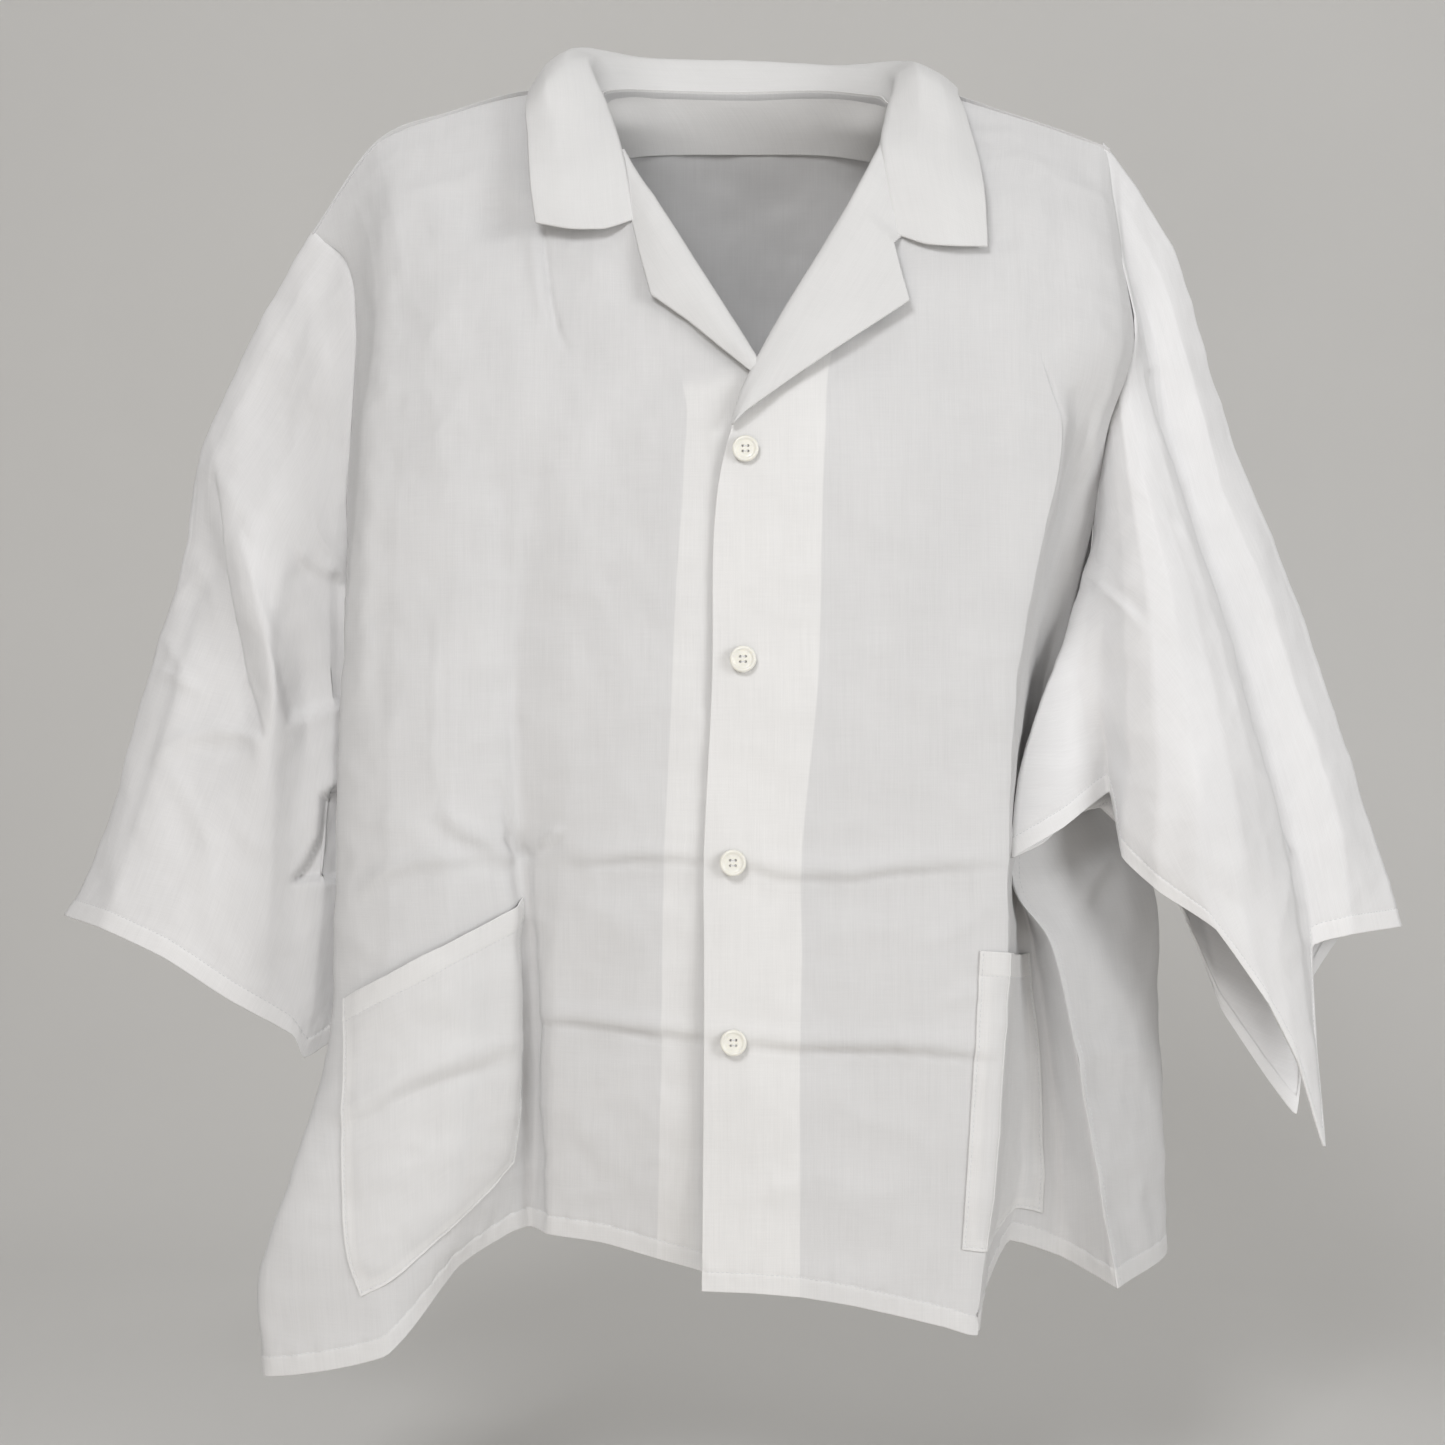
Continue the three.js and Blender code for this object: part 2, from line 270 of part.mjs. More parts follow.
// Lapels: rows run down, columns outwards.
const NET_LAPEL_LEFT = [
  [[85.7, -110.6, -46.7], [86.3, -111.6, -48.1], [86.8, -113.6, -49.8], [87.3, -115.6, -52]],
  [[75.7, -124.6, -66.8], [80.5, -127.6, -72.3], [84.7, -129.6, -77], [88.3, -129.6, -81.3]],
  [[61.5, -138.6, -97.6], [72.3, -142.6, -103.2], [82.7, -143.6, -107], [92.5, -141.6, -110.4]],
  [[42.8, -149.6, -129.9], [64.4, -156.6, -135.9], [85, -156.6, -140.1], [101.5, -153.6, -143.3]],
  [[24.4, -157.6, -159], [38.7, -164.6, -169.7], [55.6, -165.6, -175.2], [72.6, -162.6, -165.2]],
  [[11, -163.6, -180.4], [20.6, -170.6, -189.7], [31.3, -171.6, -194], [42.2, -169.6, -188.4]],
  [[1.4, -168.6, -206.3], [6.1, -174.6, -209.4], [12.1, -175.6, -210.7], [18.1, -174.6, -207]],
  [[-5.3, -171.6, -224.6], [-3.5, -175.6, -224.4], [-1.1, -176.6, -223.3], [1.3, -176.6, -220.9]],
];
const NET_LAPEL_RIGHT = [
  [[-70.5, -104.6, -53], [-70.4, -107.6, -56], [-70.3, -109.6, -58.9], [-70.2, -111.6, -61.8]],
  [[-60.1, -120.6, -72.2], [-61.2, -124.6, -78.5], [-63, -126.6, -84.4], [-64.8, -125.6, -89.8]],
  [[-46.2, -132.6, -95.3], [-52.2, -138.6, -103.7], [-57.1, -139.6, -110], [-61.4, -137.6, -115.8]],
  [[-31.4, -142.6, -120.3], [-38.6, -148.6, -132.2], [-45.9, -149.6, -139.7], [-53.2, -147.6, -143]],
  [[-17.9, -150.6, -139.8], [-25.2, -156.6, -151.6], [-33.6, -157.6, -157.8],
   [-40.9, -155.6, -153.9]],
  [[-4.6, -156.6, -159.5], [-11.9, -161.6, -168.7], [-19.1, -162.6, -172.4],
   [-25.1, -160.6, -167.9]],
  [[3.8, -160.6, -173.4], [-0.4, -164.6, -180.5], [-4.6, -165.6, -184.3], [-9.4, -163.6, -182.2]],
  [[9.3, -162.6, -182.7], [6.2, -165.6, -187.9], [3.8, -166.6, -190.4], [1.4, -165.6, -190.9]],
];
// Collar: rows run round the neck from right to left, columns up the stand and down the fall.
const NET_COLLAR = [
  [[-68, -124.6, -89], [-67.9, -125.6, -89.8], [-67.2, -128.6, -91.6],
   [-84.3, -131.6, -97.6], [-105.2, -131.6, -97.6], [-126.4, -126.6, -93]],
  [[-76.8, -102.6, -51.3], [-75.4, -105.6, -50.7], [-74, -110.6, -50.4],
   [-91, -118.6, -61.9], [-110.7, -120.6, -66], [-130, -118.6, -68.1]],
  [[-87.4, -72.6, -18.7], [-84.8, -75.6, -14.2], [-85.2, -80.6, -11.5],
   [-101, -92.6, -17.9], [-117.6, -98.6, -25.5], [-133.4, -96.6, -32.6]],
  [[-92, -54.6, -0.1], [-93.9, -55.6, 11.9], [-97.5, -60.6, 21],
   [-111.6, -72.6, 15.6], [-123.8, -80.6, 4.9], [-135.4, -76.6, -6.8]],
  [[-79.5, -30.6, 8.5], [-83.4, -28.6, 22], [-88.8, -24.6, 32.1],
   [-104.3, -28.6, 37.6], [-117.2, -30.6, 28], [-126.8, -32.6, 10.7]],
  [[-49.4, -8.6, 12.2], [-51.5, -2.6, 26.7], [-52.9, 3.4, 37.3],
   [-56.4, 11.4, 37.9], [-59.9, 17.4, 26], [-62.7, 21.4, 13.5]],
  [[0, -1.6, 12.4], [0, 4.4, 27], [0.1, 10.4, 37.7],
   [0.1, 19.4, 37.1], [0.2, 25.4, 22.4], [0.2, 29.4, 8.6]],
  [[49.3, -8.6, 12.2], [51.5, -2.6, 24.1], [53, 3.4, 33.4],
   [57.3, 11.4, 33.9], [61.5, 17.4, 22], [64.3, 21.4, 9.5]],
  [[81.7, -30.6, 5.3], [87, -28.6, 14.2], [92.5, -24.6, 22.9],
   [105.4, -26.6, 29], [120.1, -30.6, 20.2], [131.5, -34.6, 10.2]],
  [[94.6, -54.6, -3.3], [97.7, -56.6, 5.3], [99.9, -62.6, 10.3],
   [112.7, -70.6, 12.3], [126.6, -72.6, 5.5], [139, -68.6, -3.8]],
  [[91.5, -74.6, -24.2], [92, -77.6, -19.7], [93.5, -83.6, -16],
   [112.2, -96.6, -23.8], [130.5, -102.6, -33.8], [147.1, -98.6, -43]],
  [[86.6, -106.6, -49.6], [87.6, -109.6, -48.4], [88.6, -114.6, -47.5],
   [109.1, -122.6, -61.5], [129.9, -125.6, -69.4], [150, -120.6, -73.4]],
  [[94.7, -126.6, -99.2], [95.2, -127.6, -100], [95.7, -130.6, -101.1],
   [113.2, -134.6, -107.3], [131.5, -135.6, -108.7], [151.1, -128.6, -108.2]],
];

// ---- surfaces over the nets ----
const clamp = (value, low, high) => Math.max(low, Math.min(high, value));

// A net point; past an open end the row carries on in a straight line.
function pointAt(row, i, closed) {
  const n = row.length;
  if (closed) return row[((i % n) + n) % n];
  if (i < 0) return row[0].map((c, k) => 2 * c - row[1][k]);
  if (i >= n) return row[n - 1].map((c, k) => 2 * c - row[n - 2][k]);
  return row[i];
}

// Catmull-Rom curve through the points of a row.
function curve(row, u, closed) {
  const i = closed ? Math.floor(u) : clamp(Math.floor(u), 0, row.length - 2);
  const t = u - i;
  const weights = [
    (-t + 2 * t * t - t * t * t) / 2,
    (2 - 5 * t * t + 3 * t * t * t) / 2,
    (t + 4 * t * t - 3 * t * t * t) / 2,
    (-t * t + t * t * t) / 2,
  ];
  const points = weights.map((_, k) => pointAt(row, i - 1 + k, closed));
  return [0, 1, 2].map((axis) => weights.reduce((sum, w, k) => sum + w * points[k][axis], 0));
}

const smooth = (net, closed = false) => (u, v) =>
  curve(net.map((row) => curve(row, u, closed)), v, false);

// The same net with straight cells, for layers that lie on a panel.
const faceted = (net) => (u, v) => {
  const i = clamp(Math.floor(u), 0, net[0].length - 2);
  const j = clamp(Math.floor(v), 0, net.length - 2);
  const a = u - i;
  const b = v - j;
  return [0, 1, 2].map((k) => (1 - a) * (1 - b) * net[j][i][k] + a * (1 - b) * net[j][i + 1][k]
    + a * b * net[j + 1][i + 1][k] + (1 - a) * b * net[j + 1][i][k]);
};

// Both ends, every whole net line between them, and any extra places.
function stations(start, end, extra = []) {
  const list = [start, ...extra, end];
  for (let line = Math.floor(start) + 1; line < end; line++) list.push(line);
  return list.sort((a, b) => a - b);
}

// ---- solids ----
// Indexed geometry holding only the vertices its triangles use.
function usedGeometry(points, triangles) {
  const renumbered = new Map();
  const positions = [];
  const index = triangles.map((k) => {
    if (!renumbered.has(k)) {
      renumbered.set(k, renumbered.size);
      positions.push(...points[k].toArray());
    }
    return renumbered.get(k);
  });
  return indexedGeometry(positions, index);
}

function indexedGeometry(positions, index) {
  const geometry = new THREE.BufferGeometry();
  geometry.setAttribute('position', new THREE.Float32BufferAttribute(positions, 3));
  geometry.setIndex(index);
  return geometry;
}

// Thin closed sheet over the cells kept by keep(i, j). The offset is measured towards the
// outer side; flip turns that side round.
function sheet(surface, columns, rows, options = {}) {
  const { offset = 0, thickness = CLOTH, closed = false, flip = false } = options;
  const { keep = () => true } = options;
  const width = columns.length;
  const across = closed ? width : width - 1;
  const down = rows.length - 1;
  const points = rows.flatMap((v) => columns.map((u) => new THREE.Vector3(...surface(u, v))));
  const id = (i, j) => j * width + (closed ? i % width : i);
  const isKept = (i, j) => j >= 0 && j < down && (closed || (i >= 0 && i < across))
    && keep((i + across) % across, j);

  const cells = [];
  for (let j = 0; j < down; j++) {
    for (let i = 0; i < across; i++) {
      if (!isKept(i, j)) continue;
      cells.push({ i, j, corners: [id(i, j), id(i + 1, j), id(i + 1, j + 1), id(i, j + 1)] });
    }
  }

  const normals = points.map(() => new THREE.Vector3());
  for (const { corners: [a, b, c, d] } of cells) {
    const normal = points[c].clone().sub(points[a]);
    normal.cross(points[d].clone().sub(points[b])).normalize();
    for (const k of [a, b, c, d]) normals[k].add(normal);
  }
  normals.forEach((normal) => normal.normalize().multiplyScalar(flip ? -1 : 1));
  const shifted = (distance) => points.map((p, k) => p.clone().addScaledVector(normals[k], distance));
  const skins = [...shifted(offset + thickness / 2), ...shifted(offset - thickness / 2)];

  const triangles = [];
  const triangle = (a, b, c) => triangles.push(...(flip ? [a, c, b] : [a, b, c]));
  const quad = (a, b, c, d) => {
    triangle(a, b, c);
    triangle(a, c, d);
  };
  const m = points.length;   // index step from the outer skin to the inner
  const neighbours = [[0, -1], [1, 0], [0, 1], [-1, 0]];
  for (const { i, j, corners } of cells) {
    const [a, b, c, d] = corners;
    quad(a, b, c, d);
    quad(m + c, m + b, m + a, m + d);
    neighbours.forEach(([di, dj], k) => {
      const from = corners[k];
      const to = corners[(k + 1) % 4];
      if (!isKept(i + di, j + dj)) quad(to, from, m + from, m + to);
    });
  }
  return usedGeometry(skins, triangles);
}

function toSolid(geometry) {
  geometry.deleteAttribute('normal');
  geometry.deleteAttribute('uv');
  const merged = mergeVertices(geometry, 1e-4);
  return new wasm.Manifold(new wasm.Mesh({
    numProp: 3,
    vertProperties: new Float32Array(merged.getAttribute('position').array),
    triVerts: new Uint32Array(merged.getIndex().array),
  }));
}

function fromSolid(solid) {
  const mesh = solid.getMesh();
  return indexedGeometry(mesh.vertProperties, Array.from(mesh.triVerts));
}

// Cylinder along Y, centred at x, y, z.
function rodY(radius, length, [x, y, z], segments) {
  return new THREE.CylinderGeometry(radius, radius, length, segments).translate(x, y, z);
}

// Cuts the button passages through a layer of the closing.
function punch(geometry) {
  const closingY = -172;
  let solid = toSolid(geometry);
  for (const [x, z] of BUTTONS) {
    solid = solid.subtract(toSolid(rodY(PASSAGE_RADIUS, 40, [x, closingY, z], 24)));
  }
  return fromSolid(solid);
}

// ---- scene ----
const coat = new THREE.Group();
coat.name = 'coat';

function add(name, geometry, color, roughness = 0.9) {
  const material = new THREE.MeshStandardMaterial({ color, roughness, metalness: 0 });
  const mesh = new THREE.Mesh(geometry, material);
  mesh.name = name;
  coat.add(mesh);
}

const back = smooth(NET_BACK);
const frontRight = smooth(NET_FRONT_RIGHT);
const frontLeft = smooth(NET_FRONT_LEFT);
const facetsRight = faceted(NET_FRONT_RIGHT);
const facetsLeft = faceted(NET_FRONT_LEFT);

function addBody() {
  const backColumns = stations(0.10, 11.90, [4.5, 5.6, 6.4, 7.5]);
  add('back_panel', sheet(back, backColumns, stations(0.05, 11)), COLOUR.body);
  const right = sheet(frontRight, stations(0, 9.94), stations(0.10, 11));
  add('front_panel_right', right, COLOUR.front);
}

// The left front is split by a slot across the chest and down the side fold.
function addLeftFront() {
  const chestRow = 2.45;
  const chestSlot = 0.10;
  const foldColumn = 6;
  const foldSlot = 0.22;
  const slotEnd = foldColumn + foldSlot;
  const columns = [...stations(0, foldColumn), slotEnd, ...stations(7, 9.94)];
  const rows = [...stations(0.10, chestRow - chestSlot), ...stations(chestRow, 11)];
  const slotCellColumn = columns.indexOf(slotEnd) - 1;
  const slotCellRow = rows.indexOf(chestRow) - 1;
  const part = (keep) => sheet(frontLeft, columns, rows, { flip: true, keep });
  const panel = part((i, j) => i < slotCellColumn && j > slotCellRow);
  add('front_panel_left', punch(panel), COLOUR.front);
  const side = part((i, j) => j < slotCellRow || i > slotCellColumn);
  add('front_left_side', side, COLOUR.front);
}

// Facing and interlining behind one front edge; their tops are net rows.
function addEdgeLayers(side, surface, { facingTop, interliningTop, flip, finish }) {
  const facing = sheet(surface, stations(0.03, 1.97), stations(facingTop, 10.93),
    { offset: -FACING_DEPTH, flip });
  add('facing_' + side, finish(facing), COLOUR.facing);
  const interlining = sheet(surface, stations(0.06, 1.9), stations(interliningTop, 10),
    { offset: -INTERLINING_DEPTH, thickness: INTERLINING_CLOTH, flip });
  add('interlining_' + side, finish(interlining), COLOUR.interlining);
}

// Back neck facing: a flat middle through the origin, with wings that follow the back.
function addNeckFacing() {
  const inward = [0, -0.883, -0.47];
  const downward = [0, 0.47, -0.883];
  const halfWidth = 18;
  const edges = [-14, 26];   // top and lower edge, measured down from the origin
  const wingInset = 7.5;
  const wingColumns = [4.35, 5.05, null, null, 6.95, 7.65];   // null: flat middle
  const wingRows = [0.12, 0.52];
  const surface = (u, v) => {
    if (wingColumns[u] === null) {
      const x = u === 2 ? -halfWidth : halfWidth;
      return [x, downward[1] * edges[v], downward[2] * edges[v]];
    }
    return back(wingColumns[u], wingRows[v]).map((c, k) => c + wingInset * inward[k]);
  };
  const options = { offset: COLLAR_CLOTH / 2, thickness: COLLAR_CLOTH };
  add('back_neck_facing', sheet(surface, stations(0, 5), [0, 1], options), COLOUR.facing);
}

// Collar: a stand, and a fall of two layers in a right leaf, a back and a left leaf.
function addCollar() {
  const collar = smooth(NET_COLLAR);
  const rightSplit = 3.55;
  const leftSplit = 8.45;
  const gap = 0.06;
  const runs = [
    ['leaf_right', 0.08, rightSplit - gap],
    ['back', rightSplit + gap, leftSplit - gap],
    ['leaf_left', leftSplit + gap, 11.92],
  ];
  const thickness = COLLAR_CLOTH;
  const stand = sheet(collar, stations(0.18, 1.8), stations(1.1, 10.9), { thickness });
  add('collar_stand', stand, COLOUR.collar);
  for (const [name, start, end] of runs) {
    const fall = (offset) => sheet(collar, stations(2.2, 5), stations(start, end),
      { offset, thickness, flip: true });
    add('upper_collar_' + name, fall(0.95), COLOUR.collar);
    add('under_collar_' + name, fall(-0.45), COLOUR.underCollar);
  }
}

function addLapel(side, net, options) {
  const lapel = sheet(smooth(net), stations(0.08, 3), stations(0.12, 6.9), options);
  add('lapel_' + side, lapel, COLOUR.collar);
}

// Left sleeve net with its inner fold eased off the side of the body.
function easedLeftSleeve() {
  const upperRows = [
    { shift: 1.5, first: 11, last: 12 },
    { shift: 3, first: 11, last: 12 },
  ];
  const lowerRows = { shift: 6, first: 10, last: 13 };
  return NET_SLEEVE_LEFT.map((row, j) => {
    const { shift, first, last } = upperRows[j] ?? lowerRows;
    return row.map(([x, y, z], i) => [i >= first && i <= last ? x + shift : x, y, z]);
  });
}

function addSleeve(side, net, start, flip) {
  const columns = stations(0, net[0].length - 1);
  const rows = stations(start, net.length - 1);
  add('sleeve_' + side, sheet(smooth(net, true), columns, rows, { closed: true, flip }), COLOUR.body);
}

// Right pocket: its mouth and hem slant, so each row has a net row at either side edge.
function addRightPocket() {
  const first = 6;
  const last = 8.8;
  const rows = [[7.32, 7.56], [8, 8], [9, 9], [9.95, 9.95], [10.0, 10.28]];
  const surface = (u, v) => {
    const [start, end] = rows[v];
    return facetsRight(u, start + (end - start) * (u - first) / (last - first));
  };
  const pocket = sheet(surface, stations(first, last), stations(0, 4), { offset: POCKET_PROUD });
  add('pocket_right', pocket, COLOUR.pocket);
}

function addLeftPocket() {
  const main = sheet(facetsLeft, stations(6.36, 8.55), stations(8, 10.42),
    { offset: POCKET_PROUD * 0.85, flip: true });
  add('pocket_left', main, COLOUR.pocket);
  const edge = sheet(facetsLeft, stations(5.38, 5.9), stations(8.02, 10.45),
    { offset: POCKET_PROUD * 0.6, flip: true });
  add('pocket_left_edge', edge, COLOUR.pocket);
}

// ---- closing ----
// y of a front's outer face at x, z, by damped steps over the net.
function outerY(surface, x, z) {
  const step = 0.01;
  const damping = 0.6;
  let u = 0.5;
  let v = 4;
  for (let k = 0; k < 60; k++) {
    const here = surface(u, v);
    const slopeX = (surface(u + step, v)[0] - here[0]) / step;
    const slopeZ = (surface(u, v + step)[2] - here[2]) / step;
    u = clamp(u + (x - here[0]) / slopeX * damping, -0.5, 3);
    v = clamp(v + (z - here[2]) / slopeZ * damping, 2, 10.9);
  }
  return surface(u, v)[1] - CLOTH / 2;
}

// Turned disc with a raised rim and four thread holes; its back is at y = 0.
function buttonGeometry() {
  const profile = [   // radius, distance in front of the back
    [0, 0], [BUTTON_RADIUS * 0.8, 0], [BUTTON_RADIUS, 0.9], [BUTTON_RADIUS, 2.2],
    [BUTTON_RADIUS * 0.9, BUTTON_THICKNESS], [BUTTON_RADIUS * 0.66, 2.2], [0, 1.9],
  ].map(([radius, height]) => new THREE.Vector2(radius, height));
  let solid = toSolid(new THREE.LatheGeometry(profile, 24).rotateX(Math.PI));
  const spread = 1.6;
  for (const [sx, sz] of [[1, 1], [-1, 1], [1, -1], [-1, -1]]) {
    const centre = [sx * spread, -BUTTON_THICKNESS / 2, sz * spread];
    solid = solid.subtract(toSolid(rodY(0.75, 10, centre, 8)));
  }
  return fromSolid(solid);
}

// Thread shank from inside the button back to just in front of the right front.
function shankGeometry(x, z, buttonBack) {
  const radius = 1.4;
  const frontEnd = buttonBack + 0.6;
  const rearEnd = outerY(frontRight, x, z) - 0.4;
  return rodY(radius, rearEnd - frontEnd, [x, (rearEnd + frontEnd) / 2, z], 10);
}

// The stitched end of the buttonhole that shows beside the button.
function buttonholeGeometry(x, z) {
  const y = outerY(frontLeft, x + 15, z) - 0.75;
  return new THREE.BoxGeometry(5.5, 0.6, 3.2).translate(x + 12.9, y, z);
}

function addClosing([x, z], number) {
  const buttonBack = outerY(frontLeft, x, z) - BUTTON_PROUD;
  const button = buttonGeometry().translate(x, buttonBack, z);
  add('button_' + number, button, COLOUR.button, 0.35);
  add('button_thread_' + number, shankGeometry(x, z, buttonBack), COLOUR.thread);
  add('buttonhole_' + number, buttonholeGeometry(x, z), COLOUR.buttonhole);
}

// ---- assembly ----
addBody();
addLeftFront();
addEdgeLayers('right', facetsRight,
  { facingTop: 3.05, interliningTop: 3.1, flip: false, finish: (geometry) => geometry });
addEdgeLayers('left', facetsLeft,
  { facingTop: 3.35, interliningTop: 3.4, flip: true, finish: punch });
addNeckFacing();
addCollar();
addLapel('right', NET_LAPEL_RIGHT, { offset: 1.8 });
addLapel('left', NET_LAPEL_LEFT, { offset: 1.2, flip: true });
addSleeve('right', NET_SLEEVE_RIGHT, 0.12, true);
addSleeve('left', easedLeftSleeve(), 0.10, false);
addRightPocket();
addLeftPocket();
BUTTONS.forEach((place, i) => addClosing(place, i + 1));

export default coat;
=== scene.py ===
# White lab coat: fine cloth pieces, seams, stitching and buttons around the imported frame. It
# hangs upright: +Z up, the neck near Z = 0 and the hem near Z = -750, the front facing -Y,
# and the wearer's right side at -X.
import math
from collections import namedtuple

import bmesh
import bpy
import numpy as np
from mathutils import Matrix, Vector

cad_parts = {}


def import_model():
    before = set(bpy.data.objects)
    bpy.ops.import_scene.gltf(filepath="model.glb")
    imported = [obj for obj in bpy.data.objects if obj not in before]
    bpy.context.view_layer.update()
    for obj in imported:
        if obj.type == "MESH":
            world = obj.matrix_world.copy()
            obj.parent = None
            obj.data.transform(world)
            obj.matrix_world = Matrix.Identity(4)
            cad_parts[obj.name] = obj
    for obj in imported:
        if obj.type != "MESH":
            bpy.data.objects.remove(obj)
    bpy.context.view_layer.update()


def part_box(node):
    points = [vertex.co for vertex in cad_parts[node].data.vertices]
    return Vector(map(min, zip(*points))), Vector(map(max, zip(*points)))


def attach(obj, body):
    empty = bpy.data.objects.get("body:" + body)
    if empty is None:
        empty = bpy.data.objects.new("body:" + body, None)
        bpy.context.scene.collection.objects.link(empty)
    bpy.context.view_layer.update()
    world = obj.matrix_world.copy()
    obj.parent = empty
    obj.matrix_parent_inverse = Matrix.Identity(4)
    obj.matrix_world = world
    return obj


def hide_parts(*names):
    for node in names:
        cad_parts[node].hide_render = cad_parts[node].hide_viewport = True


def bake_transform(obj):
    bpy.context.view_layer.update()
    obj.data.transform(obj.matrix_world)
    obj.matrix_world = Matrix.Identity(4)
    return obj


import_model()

MM = 1000.0                 # millimetres in a metre

# The camera looks along +Y. The view plane is the plane it is focused on in this script:
# creases are drawn on it, and a point (x, y, z) is carried to it along its sight line.
VIEW_X, VIEW_Z = -11.55, -401.26
VIEW_PLANE_Y = -58.6
VIEW_DISTANCE = 1800.0      # camera to view plane
VIEW_WIDTH = 924.8          # width seen on the view plane

SPACING = 2.8         # grid spacing of the body cloth
TRIM_SPACING = 2.2    # grid spacing of collar and lapels
BACK_SPACING = max(SPACING, 4.0)

# distances from an edge at which extra grid lines run
EDGE = (0.0, 0.4, 1.0, 2.0, 3.5)
HEM_STITCH = 12.0
HEM = (0.0, 0.5, 1.3, 3.0, 5.5, 8.5, 10.6, 11.4, HEM_STITCH, 12.6, 13.4, 15.0, 18.0)
POCKET_STITCH = 1.9
POCKET_EDGE = (0.0, 0.5, 1.2, 2.0, 2.8, 4.0)
MOUTH_STITCH = 14.6
POCKET_MOUTH = (0.0, 0.5, 1.3, 3.0, 6.0, 10.0, 13.0, 13.9, MOUTH_STITCH, 15.3, 16.2, 18.0)
COLLAR_RIM = (0, 0.5, 1.2, 2.2, 3.6, 5.5)
COLLAR_END = (0, 0.5, 1.2, 2.5)
LAPEL_RIM = (0, 0.5, 1.2, 2.2, 3.6)
LAPEL_END = (0, 0.5, 1.2)

LEVEL_Z = -420.0            # height at which the cross threads are level
COLLAR_TENSION = 0.45

STITCH_PITCH = 3.1
STITCH_LENGTH = 2.3
STITCH_WIDTH = 0.5
STITCH_HEIGHT = 0.34

# ------------------------------------------------------------------ nets
# Each net is a list of rows of (x, y, z) points. A place on a net is (column, row).

